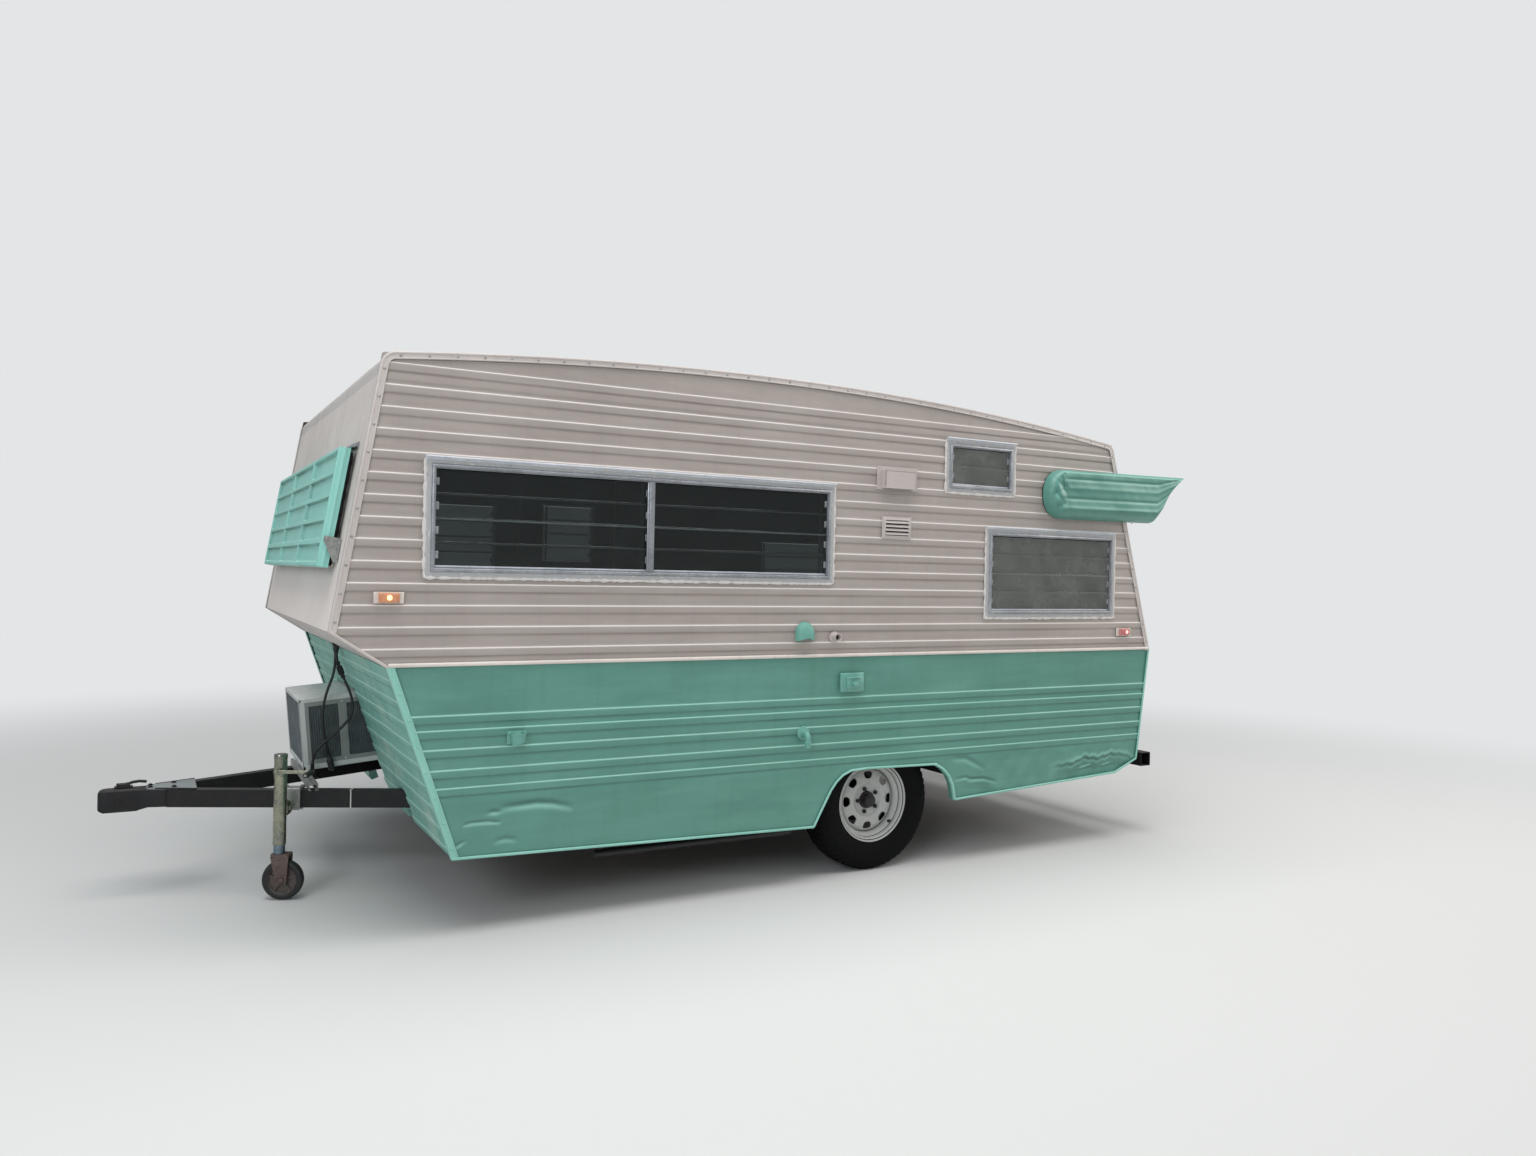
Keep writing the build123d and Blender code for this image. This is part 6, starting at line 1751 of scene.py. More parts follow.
# Station and height of the middle, then half the width and half the height
HOOD, HOOD_HALF = (-0.0385, 1.894), (0.1195, 0.056)
w, h = HOOD_HALF
x0, x1, y0, y1, deep = -0.087, 0.092, -0.050, 0.034, 0.036
hood_parts = [box(-w, w, -h, h, 0.0004, 0.0038, 0.001),
              *domes(0.0038, (-w + 0.010, 0, w - 0.010), (-h + 0.008, h - 0.008), 0.0036, 0.0018),
              box(x0, x1, y1 - 0.003, y1, 0.003, deep, 0.001),
              box(x0, x0 + 0.003, y0, y1 - 0.0005, 0.003, deep, 0.001),
              box(x1 - 0.003, x1, y0, y1 - 0.0005, 0.003, deep, 0.001),
              box(x0, x1, y0, y1, deep - 0.003, deep, 0.001),
              box(x0 - 0.0015, x1 + 0.0015, y0, y0 + 0.006, deep - 0.0045, deep + 0.0003, 0.001)]
hood_inside = box(x0 + 0.003, x1 - 0.003, y0 + 0.004, y1 - 0.003, 0.0035, 0.030, 0.001)
LOUVRE, LOUVRE_HALF, SLATS = (-0.041, 1.6585), (0.086, 0.0545), 4
lw, lh = LOUVRE_HALF
LOUVRE_RIM_MM = np.array([[0, 0.4], [0, 3], [1.5, 4.4], [9, 4.6], [13, 8.5], [16, 9.5], [18, 8], [18, 0.4]])
slat_section = np.array([[0, 0.0116], [0.002, 0.0117], [0.0125, 0.0040], [0.0112, 0.0027]])
louvre_parts = [frame_ring(2 * lw, 2 * lh, LOUVRE_RIM_MM),
                *[extruded(slat_section + [-lh + 0.021 + slat * (2 * lh - 0.036) / SLATS, 0], -lw + 0.017,
                           lw - 0.017) for slat in range(SLATS)],
                *domes(0.0045, (-lw + 0.006, lw - 0.006), (-lh + 0.006, lh - 0.006), 0.0032, 0.0015)]
louvre_inside = box(-lw + 0.012, lw - 0.012, -lh + 0.012, lh - 0.012, 0.0003, 0.0012, 0.0003)
SPOUT = (0.304, 1.139)
spout = turned([[0, 0.0004], [0.026, 0.0004], [0.026, 0.004], [0.019, 0.006], [0.0165, 0.012],
                [0.0175, 0.036], [0.019, 0.0395], [0.0155, 0.0395], [0.0135, 0.034], [0.0135, 0.012],
                [0, 0.012]], (0, 0, 0), (0, 0, 1), 40)
beige_parts = [left_wall_piece(join(*hood_parts), *HOOD), left_wall_piece(join(*louvre_parts), *LOUVRE),
               left_wall_piece(spout, *SPOUT)]
as_piece("vent_covers", join(*beige_parts), VENT_BEIGE, stands_for=["vents_left"])
# Black sheets inside the hood, behind the louvre's slats and in the spout: painted shade in those openings.
shade_parts = [left_wall_piece(hood_inside, *HOOD), left_wall_piece(louvre_inside, *LOUVRE),
              left_wall_piece(rod(0.0134, 0.0121, 0.0130, count=24), *SPOUT)]
as_piece("vent_insides", join(*shade_parts), GASKET, smooth=40)

# %% [markdown]
# Below the belt the fittings are painted over: a hooded vent with a round top, an outlet box with a cover,
# a spigot whose pipe turns down, and a flared cup with two ears.

# %% Painted fittings


def hooded_vent():
    """A half dome with a flat foot, on a round-topped plate: out = depth * sqrt(1 - distance from rim)."""
    radius, straight, depth, drop = 0.0485, 0.040, 0.036, 0.004
    a = np.linspace(0, np.pi, 25)
    arch = np.vstack([[radius, -straight], radius * np.column_stack([np.cos(a), np.sin(a)]),
                      [-radius, -straight]])
    arch[:, 1] -= drop
    shares = np.linspace(1, 0.0, 12)
    centre = np.array([0, -straight * 0.6 - drop])
    layers = []
    for share_ in shares:
        flat = centre + (arch - centre) * share_
        flat[:, 1] = np.maximum(flat[:, 1], -straight - drop)
        out = 0.004 + depth * math.sqrt(max(0.0, 1 - share_ ** 2.4))
        layers.append(np.column_stack([flat, np.full(len(flat), out)]))
    outer = np.vstack(layers)
    inner = np.column_stack([outer[:, :2], np.full(len(outer), 0.0008)])
    return weld(outward(walled(outer, inner, [grid_faces(len(layers), len(arch))])))


def elbow(drop, out, radius, bend=0.020):
    """A pipe that comes out of the wall and turns straight down."""
    turn = np.linspace(0, np.pi / 2, 9)
    curve = np.column_stack([np.zeros(9), -bend * (1 - np.cos(turn)), out - bend + bend * np.sin(turn)])
    path = np.vstack([[0, 0, 0.001], curve, [0, -drop, out]])
    return sweep(ring(radius, 24), path, normal=(1, 0, 0))


DOME, OUTLET, SPIGOT, CUP = (0.467, 1.167), (0.204, 0.9265), (0.462, 0.702), (1.798, 0.765)
OUTLET_HALF = (0.065, 0.0445)
ow, oh = OUTLET_HALF
outlet_parts = [box(-ow, ow, -oh, oh, 0.0004, 0.0160, 0.003),
                box(-0.038, 0.038, -0.026, 0.027, 0.0155, 0.0300, 0.003),
                box(-0.030, 0.030, 0.020, 0.0268, 0.0290, 0.0360, 0.0015),
                turned([[0, 0.029], [0.011, 0.029], [0.013, 0.036], [0.012, 0.050], [0.009, 0.0517],
                        [0, 0.0517]], (0.004, -0.006, 0), (0, 0, 1), 28),
                *domes(0.0158, (-ow + 0.010, ow - 0.010), (-oh + 0.010, oh - 0.010), 0.004, 0.002)]
spigot_parts = [turned([[0, 0.0004], [0.0318, 0.0004], [0.0318, 0.0045], [0.027, 0.0075], [0.019, 0.0085],
                        [0.019, 0.018], [0.0165, 0.019], [0, 0.019]], (0, 0, 0), (0, 0, 1), 36),
                elbow(0.0615, 0.0430, 0.0132),
                turned([[0.0138, 0.0], [0.0168, 0.0], [0.0168, 0.010], [0.0138, 0.010]], (0, -0.0325, 0.0430),
                       (0, -1, 0), 28)]
cup_profile = [[0.012, -0.036], [0.020, -0.034], [0.026, -0.024], [0.0285, -0.008], [0.031, 0.004],
               [0.0365, 0.010], [0.0375, 0.014], [0.034, 0.0145], [0.029, 0.008], [0.0255, -0.008],
               [0.022, -0.022], [0.012, -0.030], [0, -0.031], [0, -0.036]]
cup_parts = [turned(cup_profile, (0, 0, 0.0165), (0, 1, 0), 36),
             box(-0.0375, 0.0375, -0.030, 0.020, 0.0004, 0.0050, 0.002),
             box(-0.014, 0.014, -0.028, 0.010, 0.004, 0.014, 0.003),
             *[box(x_ - 0.006, x_ + 0.006, 0.006, 0.0205, 0.004, 0.020, 0.002) for x_ in (-0.030, 0.030)]]
fitting_parts = [left_wall_piece(hooded_vent(), *DOME), left_wall_piece(join(*outlet_parts), *OUTLET),
                 left_wall_piece(join(*spigot_parts), *SPIGOT), left_wall_piece(join(*cup_parts), *CUP)]
as_piece("painted_fittings", join(*fitting_parts), BRIGHT_GREEN, stands_for=["fittings_left"],
         smooth=40)

# %% [markdown]
# A tyre is one profile turned about the axle, with two lists of numbers that change it. Four grooves run
# round the tread, and the shoulders are notched into blocks: where a spoke falls in a notch, the points near
# the shoulder drop by the notch's depth. Thin raised rings mark the sidewall, as a mould leaves them.

# %% Tyres
sidewall = np.array([[0.1845, 0.054], [0.1850, 0.0575], [0.192, 0.0640], [0.1985, 0.0700], [0.2000, 0.0712],
                     [0.2030, 0.0712], [0.2045, 0.0722], [0.215, 0.0765], [0.230, 0.0820], [0.246, 0.0860],
                     [0.262, 0.08735], [0.2745, 0.0868], [0.2755, 0.0872], [0.2785, 0.0868], [0.2795, 0.0860],
                     [0.290, 0.0840], [0.300, 0.0812], [0.3105, 0.0752], [0.3185, 0.0685], [0.3245, 0.0610],
                     [0.3275, 0.0545], [0.3285, 0.0480]])
GROOVE_HALF, GROOVE_FLOOR = 0.00325, 0.3227
tread = [[0.3287, 0.0475]]
for groove in (0.0350, 0.0145):
    far, near = groove + GROOVE_HALF, groove - GROOVE_HALF
    tread += [[0.3292, far + 0.0006], [0.3286, far], [GROOVE_FLOOR, far - 0.0014],
              [GROOVE_FLOOR, near + 0.0014], [0.3290, near], [0.3295, near - 0.0006]]
tread.append([0.3297, 0.0])
half_profile = np.vstack([sidewall, tread])
tyre_profile = np.vstack([half_profile, half_profile[-2::-1] * [1, -1], [[0.1805, -0.047], [0.1805, 0.047]]])
SPOKES, BLOCKS = 360, 60


def tyre(side):
    """Point (i, j) = axle + radius[j] * spoke[i] + distance[j] * outwards, with notched shoulders."""
    a = np.linspace(0, 2 * np.pi, SPOKES, endpoint=False)
    radius = np.broadcast_to(tyre_profile[:, 0], (SPOKES, len(tyre_profile))).copy()
    across_ = np.broadcast_to(tyre_profile[:, 1], radius.shape).copy()
    step = np.arange(SPOKES)[:, None] % (SPOKES // BLOCKS)
    shoulder = (radius > 0.3150) & (np.abs(across_) > 0.041)
    radius = np.where(shoulder & (step < 2), radius - 0.0050, radius)
    middle = (np.abs(across_) < 0.0105) & (radius > 0.326)
    radius = np.where(middle & ((step + 3) % (SPOKES // BLOCKS) == 0), radius - 0.0035, radius)
    sign = 1 if side == "left" else -1
    points = np.stack([AXLE_X + radius * np.cos(a)[:, None], sign * (WHEEL_Y + across_),
                       WHEEL_R + radius * np.sin(a)[:, None]], axis=-1).reshape(-1, 3)
    return outward((points, [grid_faces(SPOKES, len(tyre_profile), wrap_rows=True, wrap_cols=True)]))


# %% [markdown]
# The wheel is pressed steel. Its barrel is a turned profile with a rolled flange. The disc has eight windows,
# each wider towards the rim. One sector is meshed as rings that grow from the window's outline to the
# sector's edge, and is then turned eight times, and the height of each point comes from its radius.

# %% Wheels
HOLES, HOLE_R, DISC_MID, DISC_OUT, DISC_T = 8, 0.1225, 0.094, 0.1475, 0.0042
BARREL = [[0.1957, 0.0640], [0.1957, 0.0672], [0.1945, 0.0693], [0.1925, 0.0699], [0.1900, 0.0694],
          [0.1885, 0.0675], [0.1868, 0.0640], [0.1835, 0.0612], [0.1770, 0.0592], [0.1748, 0.0560],
          [0.1742, 0.0440], [0.1728, 0.0405], [0.1690, 0.0385], [0.1648, 0.0375], [0.1610, 0.0340],
          [0.1585, 0.0290], [0.1560, 0.0260], [0.1560, 0.0060], [0.1560, -0.0200], [0.1570, -0.0280],
          [0.1640, -0.0330], [0.1742, -0.0380], [0.1748, -0.0560], [0.1770, -0.0592], [0.1835, -0.0612],
          [0.1868, -0.0640], [0.1900, -0.0694], [0.1925, -0.0699], [0.1957, -0.0672], [0.1957, -0.0640],
          [0.1900, -0.0610], [0.1798, -0.0565], [0.1790, -0.0370], [0.1610, -0.0260], [0.1598, -0.018],
          [0.1598, 0.024], [0.1640, 0.0300], [0.1680, 0.0345], [0.1780, 0.0380], [0.1790, 0.0565],
          [0.1900, 0.0610]]
disc_height = np.array([[0.0415, 0.0085], [0.0420, 0.0128], [0.0432, 0.0142], [0.046, 0.0146],
                        [0.069, 0.0146], [0.0725, 0.0160], [0.0785, 0.0228], [0.0815, 0.0252],
                        [0.086, 0.0262], [0.100, 0.0268], [0.112, 0.0262], [0.130, 0.0238], [0.143, 0.0182],
                        [0.1495, 0.0118], [0.1535, 0.0075], [0.1560, 0.0070]])


def hole_outline(t):
    """Across and outwards from the window's middle: a squared oval, wider on its outer side."""
    c, s_ = np.cos(t), np.sin(t)
    reach = lambda value: np.sign(value) * np.abs(value) ** 0.62
    return (0.0230 + 0.0060 * reach(s_)) * reach(c), 0.0175 * reach(s_)


def disc_sector(count=64, rings=9):
    """Points between one window's outline and its sector's edge, as radius and angle."""
    t = np.linspace(0, 2 * np.pi, count, endpoint=False) + np.pi / count
    across_, out = hole_outline(t)
    hole_r, hole_a = HOLE_R + out, across_ / (HOLE_R + out)
    half_a, low, high = np.pi / HOLES, DISC_MID - HOLE_R, DISC_OUT - HOLE_R
    c, s_ = np.cos(t), np.sin(t)
    scale = 1 / np.maximum(np.abs(c), np.abs(s_))
    edge_a = c * scale * half_a
    edge_r = HOLE_R + np.where(s_ > 0, high, -low) * s_ * scale
    w_ = np.linspace(0, 1, rings)[None, :]
    radius = hole_r[:, None] * (1 - w_) + edge_r[:, None] * w_
    angle = hole_a[:, None] * (1 - w_) + edge_a[:, None] * w_
    return radius, angle, grid_faces(count, rings, wrap_rows=True)


def polar(radius, angle):
    """Points of a bit of disc's front, each as far out as its radius says."""
    out = np.interp(radius, disc_height[:, 0], disc_height[:, 1])
    return np.stack([radius * np.cos(angle), out, radius * np.sin(angle)], axis=-1).reshape(-1, 3)


def lug_centres():
    """The five wheel studs, on a circle 114.3 mm across."""
    turns = np.radians(18 + 72 * np.arange(5))
    return [(0.05715 * math.sin(turn), 0, 0.05715 * math.cos(turn)) for turn in turns]


def wheel():
    """Barrel, disc with windows, and lug bosses, about the Y axis."""
    fronts, faces, count = [], [], 0
    radius, angle, cells = disc_sector()
    for turn in range(HOLES):
        fronts.append(polar(radius, angle + 2 * np.pi * turn / HOLES))
        faces.append(cells + count)
        count += len(fronts[-1])
    a = np.linspace(0, 2 * np.pi, 96, endpoint=False)
    for marks in (np.unique(np.concatenate([disc_height[disc_height[:, 0] < DISC_MID, 0], [DISC_MID]])),
                  np.unique(np.concatenate([[DISC_OUT], disc_height[disc_height[:, 0] > DISC_OUT, 0]]))):
        fronts.append(polar(*np.meshgrid(marks, a, indexing="ij")))
        faces.append(grid_faces(len(marks), 96, wrap_cols=True) + count)
        count += len(fronts[-1])
    front, faces = weld((np.vstack(fronts), faces), 2e-5)
    disc = outward(walled(front, front - [0, DISC_T, 0], faces))
    boss = [[0.0075, 0.0135], [0.0140, 0.0145], [0.0128, 0.0172], [0.0095, 0.0176], [0.0075, 0.0170]]
    bosses = [turned(boss, centre, (0, 1, 0), 28) for centre in lug_centres()]
    return join(turned(BARREL, (0, 0, 0), (0, 1, 0), 128), disc, *bosses)


def dark_wheel_faces(shape):
    """Marks the faces that take the dark finish: the barrel's inside, and three corners of its steps."""
    points, faces = shape
    marks = []
    for block in faces:
        radius = np.hypot(points[block][:, :, 0], points[block][:, :, 2]).mean(axis=1)
        deep = points[block][:, :, 1].mean(axis=1)
        corner = np.abs(radius[:, None] - [0.15475, 0.1735, 0.18515]).min(axis=1) < 0.0004
        marks.append(((deep < 0.004) | corner).astype(int))
    return np.concatenate(marks)


def valve():
    """A rubber snap-in valve with a cap, leaning out of the barrel."""
    turn = math.radians(-137)
    outwards = np.array([math.cos(turn), 0, math.sin(turn)])
    axis = unit(np.array([0, 1, 0]) * 0.86 - outwards * 0.5)
    profile = [[0, 0], [0.0078, 0], [0.0080, 0.003], [0.0056, 0.006], [0.0048, 0.018], [0.0040, 0.024],
               [0.0046, 0.0245], [0.0046, 0.034], [0.0030, 0.036], [0, 0.036]]
    return turned(profile, outwards * 0.166 + np.array([0, 0.034, 0]), axis, 16)


NUT = [[0, 0.0165], [0.0104, 0.0165], [0.0104, 0.0270], [0.0092, 0.0300], [0.0062, 0.0305], [0.0058, 0.0292],
       [0, 0.0292]]
STUD = [[0, 0.005], [0.0058, 0.005], [0.0058, 0.0335], [0.0048, 0.0345], [0, 0.0345]]
CAP = [[0, 0.018], [0.0400, 0.018], [0.0400, 0.0245], [0.0340, 0.0250], [0.0325, 0.0380], [0.0290, 0.0485],
       [0.0205, 0.0515], [0.0100, 0.0522], [0, 0.0522]]
HUB = [[0.0205, -0.1495], [0.0335, -0.1495], [0.0335, -0.1405], [0.118, -0.1395], [0.1245, -0.1360],
       [0.1245, -0.1295], [0.1225, -0.1285], [0.1225, -0.0930], [0.1190, -0.0900], [0.0785, -0.0895],
       [0.0785, -0.0010], [0.0700, 0.0060], [0.0400, 0.0070], [0.0400, 0.0180], [0.0205, 0.0180]]


def hub_parts():
    """The drum, its lug nuts and studs, and the grease cap."""
    parts = [turned(HUB, (0, 0, 0), (0, 1, 0), 72), turned(CAP, (0, 0, 0), (0, 1, 0), 48)]
    for centre in lug_centres():
        parts += [turned(NUT, centre, (0, 1, 0), 6), turned(STUD, centre, (0, 1, 0), 20)]
    return join(*parts)


HUB_BLACK = enamel("hub and drum, black with grease", "121214", "3c332a", "4a3222", 0.4, 0.4, 0.5)
# A dark finish for the barrel's inside and its step corners.
WHEEL_DARK = enamel("wheel enamel, darkened inside", "2b2a28", "3c3a36", "1e1c1a", 0.7, 0.3, 0.4, shine=0.2)
wheel_shape, hub_shape, valve_shape = wheel(), hub_parts(), valve()
for side, sign in (("left", 1), ("right", -1)):
    body = "wheel_" + side
    mount = lambda shape: placed(shape, (AXLE_X, sign * WHEEL_Y, WHEEL_R), (1, 0, 0), (0, sign, 0), (0, 0, 1))
    as_piece("tyre_with_tread_" + side, tyre(side), TYRE, body, ["tyre_" + side], 28)
    as_piece("pressed_wheel_" + side, mount(wheel_shape), WHEEL_WHITE, body, ["rim_" + side],
             35, second=(WHEEL_DARK, dark_wheel_faces(wheel_shape)))
    as_piece("drum_and_nuts_" + side, mount(hub_shape), HUB_BLACK, body, ["hub_" + side], 30)
    as_piece("valve_" + side, mount(valve_shape), RUBBER, body, smooth=40)

# %% [markdown]
# The cooling unit leans back a little with the wall behind it, so it is drawn in its own axes and placed
# once. Its case is folded sheet: a pan, four corner posts, a lid with a rolled rim, and a louvred panel on
# each side. The fins of the coil show through the front, behind an upright wire guard.

# %% Cooling unit
COOLER_TILT = math.radians(5)
cooler_axes = ((math.cos(COOLER_TILT), 0, -math.sin(COOLER_TILT)), (0, 1, 0),
               (math.sin(COOLER_TILT), 0, math.cos(COOLER_TILT)))
COOLER_AT = (x_at(2.432), 0, 0.471)
CX, CY0, CY1, CZ = 0.420, -0.530, 0.020, 0.335
# Its dust colour is near white, so the faces that look up are painted much paler: painted light from above,
# besides the worn chips.
COOLER_TOP_LIT = enamel("appliance enamel, worn, with painted light on its top faces", "b9bebb", "fbfcf8", "77685a", 0.45, 1.0, 0.3)


def on_cooler(shape):
    return placed(shape, COOLER_AT, *cooler_axes)


SLAT = np.array([[-0.0035, -0.0075], [-0.0028, -0.0080], [0.0045, -0.0012], [0.0038, -0.0007]])
SLAT_PITCH, FIN_PITCH, WIRE_PITCH = 0.0105, 0.0052, 0.020


def louvre_field(x0, x1, y_face, sign):
    """Upright slats in a side panel: each is a thin sheet turned 40 degrees to the face."""
    return [stacked(SLAT * [1, sign] + [mark, y_face], [[1, 0.045], [1, 0.292]])
            for mark in np.arange(x0 + 0.004, x1 - 0.002, SLAT_PITCH)]


front_frame = [box(-0.010, -0.0005, CY0, CY1, 0.0008, 0.020),
               box(-0.010, -0.0005, CY0, CY1, CZ - 0.020, CZ - 0.004)]
pan = box(-CX + 0.0005, -0.0006, CY0 + 0.0006, CY1 - 0.0006, 0.0006, 0.026, 0.003)
rim_low, rim_high = CZ - 0.022, CZ - 0.0085
lid = [box(-CX, 0, CY0, CY1, CZ - 0.009, CZ - 0.0035, 0.002),
       box(-CX + 0.012, -0.012, CY0 + 0.012, CY1 - 0.012, CZ - 0.006, CZ - 0.0004, 0.002),
       box(-CX, -0.0004, CY1 - 0.003, CY1 - 0.0004, rim_low, rim_high, 0.001),
       box(-CX, -0.0004, CY0 + 0.0004, CY0 + 0.003, rim_low, rim_high, 0.001),
       box(-0.003, -0.0004, CY0 + 0.0004, CY1 - 0.0004, rim_low, rim_high, 0.001)]
posts = []
for y_, inward_ in ((CY1, -1), (CY0, 1)):
    for x_, back_ in ((0.0, -1), (-CX, 1)):
        for deep_, wide in ((0.0025, 0.020), (0.024, 0.0025)):
            posts.append(box(*sorted((x_, x_ + back_ * deep_)), *sorted((y_, y_ + inward_ * wide)),
                             0.001, CZ - 0.0092, 0.0008))
FRAME_BARS = [(-CX + 0.004, -0.004, 0.022, 0.045), (-CX + 0.004, -0.004, 0.292, CZ - 0.010),
              (-0.040, -0.004, 0.044, 0.293), (-0.205, -0.168, 0.044, 0.293),
              (-CX + 0.004, -0.330, 0.044, 0.293)]
side_frames, side_slats, screws = [], [], []
for y_, sign in ((CY1, 1), (CY0, -1)):
    ya, yb = sorted((y_ - sign * 0.0015, y_ - sign * 0.0045))
    side_frames += [box(x0, x1, ya, yb, z0, z1, 0.001) for x0, x1, z0, z1 in FRAME_BARS]
    for x0, x1 in ((-0.168, -0.040), (-0.330, -0.205)):
        side_slats += louvre_field(x0, x1, y_ - sign * 0.002, sign)
    screws += [dome((x_, y_ - sign * 0.0014, z_), (0, sign, 0), 0.0042, 0.002)
               for x_ in (-0.012, -0.186, -0.405) for z_ in (0.034, 0.302)]
case_core = box(-CX + 0.006, -0.016, CY0 + 0.016, CY1 - 0.016, 0.020, CZ - 0.012, 0.002)
coil = [box(-0.0125, -0.0105, y_ - 0.0008, y_ + 0.0008, 0.020, CZ - 0.020, 0.0003)
        for y_ in np.arange(CY0 + 0.022, CY1 - 0.020, FIN_PITCH)]
guard_wires = [rod(0.0014, 0.016, CZ - 0.018, (-0.0035, y_, 0), count=8)
               for y_ in np.arange(CY0 + 0.030, CY1 - 0.020, WIRE_PITCH)]
as_piece("cooler_posts_and_lid", on_cooler(join(pan, *lid, *posts, *front_frame, *screws)), COOLER_TOP_LIT,
         stands_for=["cooler_case"])
as_piece("cooler_side_panels", on_cooler(join(*side_frames)), COOLER_GREY)
as_piece("cooler_coil_and_slats", on_cooler(join(case_core, *side_slats, *coil, *guard_wires)), FINS,
         stands_for=["cooler_grille"], smooth=30)

# %% [markdown]
# The crossbar is galvanised strut channel with oblong slots in its top. The rails, the coupler and the jack
# are bolted and welded to each other, so here come the welds, the bolts and a cable tie.

# %% Tongue
RAIL_ANGLE = math.radians(25)
RAIL_DIR = np.array([math.cos(RAIL_ANGLE), -math.sin(RAIL_ANGLE), 0])
RAIL_SIDE = np.array([math.sin(RAIL_ANGLE), math.cos(RAIL_ANGLE), 0])
MEET_S, RAIL_TOP, RAIL_LOW, RAIL_W = 3.146, 0.441, 0.365, 0.050


def rail_point(along, out, up_):
    """A point beside the left tongue rail: back along it from where the rails would meet, out of it, up."""
    return np.array([x_at(MEET_S), 0, 0]) - RAIL_DIR * along + RAIL_SIDE * out + np.array([0, 0, up_])


BAR_S, BAR_W, BAR_H, BAR_HALF, BAR_T = 2.430, 0.038, 0.030, 0.350, 0.0028
SLOT_LEN, SLOT_W, SLOT_PITCH = 0.028, 0.013, 0.050
bar_x, bar_low, bar_top = x_at(BAR_S), RAIL_TOP + 0.0003, RAIL_TOP + BAR_H
x0, x1 = bar_x - BAR_W / 2, bar_x + BAR_W / 2
slot_low, slot_high = bar_x - SLOT_W / 2, bar_x + SLOT_W / 2
bar_parts = [box(xa, xb, -BAR_HALF, BAR_HALF, za, zb, 0.001) for xa, xb, za, zb in (
    (x0, x0 + BAR_T, bar_low, bar_top), (x1 - BAR_T, x1, bar_low, bar_top),
    (x0 + BAR_T, x0 + 0.011, bar_low, RAIL_TOP + 0.003), (x1 - 0.011, x1 - BAR_T, bar_low, RAIL_TOP + 0.003),
    (x0 + 0.0005, slot_low, bar_top - BAR_T, bar_top), (slot_high, x1 - 0.0005, bar_top - BAR_T, bar_top))]
web_half = (SLOT_PITCH - SLOT_LEN) / 2
for y_ in np.arange(-BAR_HALF, BAR_HALF + 0.001, SLOT_PITCH):
    bar_parts.append(box(slot_low - 0.002, slot_high + 0.002, max(y_ - web_half, -BAR_HALF),
                         min(y_ + web_half, BAR_HALF), bar_top - BAR_T + 0.0002, bar_top - 0.0002, 0.0008))
bolt_y = (MEET_S - BAR_S) * math.tan(RAIL_ANGLE) - 0.028
bar_bolts = [hexagon_bolt((bar_x, sign * bolt_y, bar_top - BAR_T - 0.010), (0, 0, 1), 0.0075)
             for sign in (1, -1)]
as_piece("slotted_crossbar", join(*bar_parts, *bar_bolts), GALVANISED, stands_for=["crossbar"],
         smooth=30)


def weld_bead(start, end, radius=0.0032, seed=0):
    """Overlapping ripples of weld metal along a straight joint."""
    count = max(4, int(np.linalg.norm(np.subtract(end, start)) / 0.0035))
    t = np.linspace(0, 1, count)[:, None]
    path = np.asarray(start) * (1 - t) + np.asarray(end) * t
    rng = np.random.default_rng(seed)
    ripple = 1 + 0.22 * np.sin(np.arange(count) * 2.1) + rng.uniform(-0.1, 0.1, count)
    return sweep(ring(radius, 8), path, normal=(0.3, 0.2, 0.93), size=ripple)


plate_z = RAIL_TOP + 0.006
tongue_bits = []
for sign in (1, -1):
    for start, end, seed in (
            (rail_point(0.300, -0.004, plate_z - 0.001), rail_point(0.130, -0.004, plate_z - 0.001), 3),
            (rail_point(0.175, 0.0005, RAIL_TOP - 0.002), rail_point(0.175, 0.0005, RAIL_LOW + 0.004), 7)):
        tongue_bits.append(weld_bead(start * [1, sign, 1], end * [1, sign, 1], seed=seed + sign))
tongue_bits += [hexagon_bolt((x_at(s_), y_, plate_z), (0, 0, 1), 0.0085)
                for s_, y_ in ((3.045, 0.026), (3.045, -0.026), (2.955, 0.052), (2.955, -0.052))]
as_piece("welds_and_bolts", join(*tongue_bits), CHASSIS_BLACK, smooth=40)

# %% [markdown]
# The coupler is pressed from thick plate: an inverted channel that widens back to the rails, and a domed nose
# that drops over the ball. It is one U-shaped section, carried forward and changed in width and height.

# %% Coupler
SHELL_T = 0.005
# Station, half width, underside and top of each section, in millimetres
COUPLER_MM = np.array([[2982, 72, 366, 446.0], [3052, 42, 364, 446.4], [3082, 35, 356, 446.8],
                       [3096, 33.8, 350.4, 447.0], [3200, 33.8, 350.4, 447.0], [3222, 31.5, 352, 445.5],
                       [3234, 25, 357, 440.0], [3239.5, 15, 364, 430.0]])


def channel(half, low, high):
    """A U with its opening down: its outer ring runs up one side and over, its inner ring back again."""
    corner = min(0.012, half * 0.5)
    a = np.linspace(0, np.pi / 2, 5)
    arc_y, arc_z = half - corner + corner * np.cos(a), high - corner + corner * np.sin(a)
    outer_y = np.concatenate([[half], arc_y, -arc_y[::-1], [-half]])
    outer_z = np.concatenate([[low], arc_z, arc_z[::-1], [low]])
    inner_y = outer_y[::-1] * (half - SHELL_T) / half
    inner_z = np.where(outer_z[::-1] > low, outer_z[::-1] - SHELL_T * (outer_z[::-1] - low) / (high - low),
                       low)
    return np.column_stack([np.concatenate([outer_y, inner_y]), np.concatenate([outer_z, inner_z])])


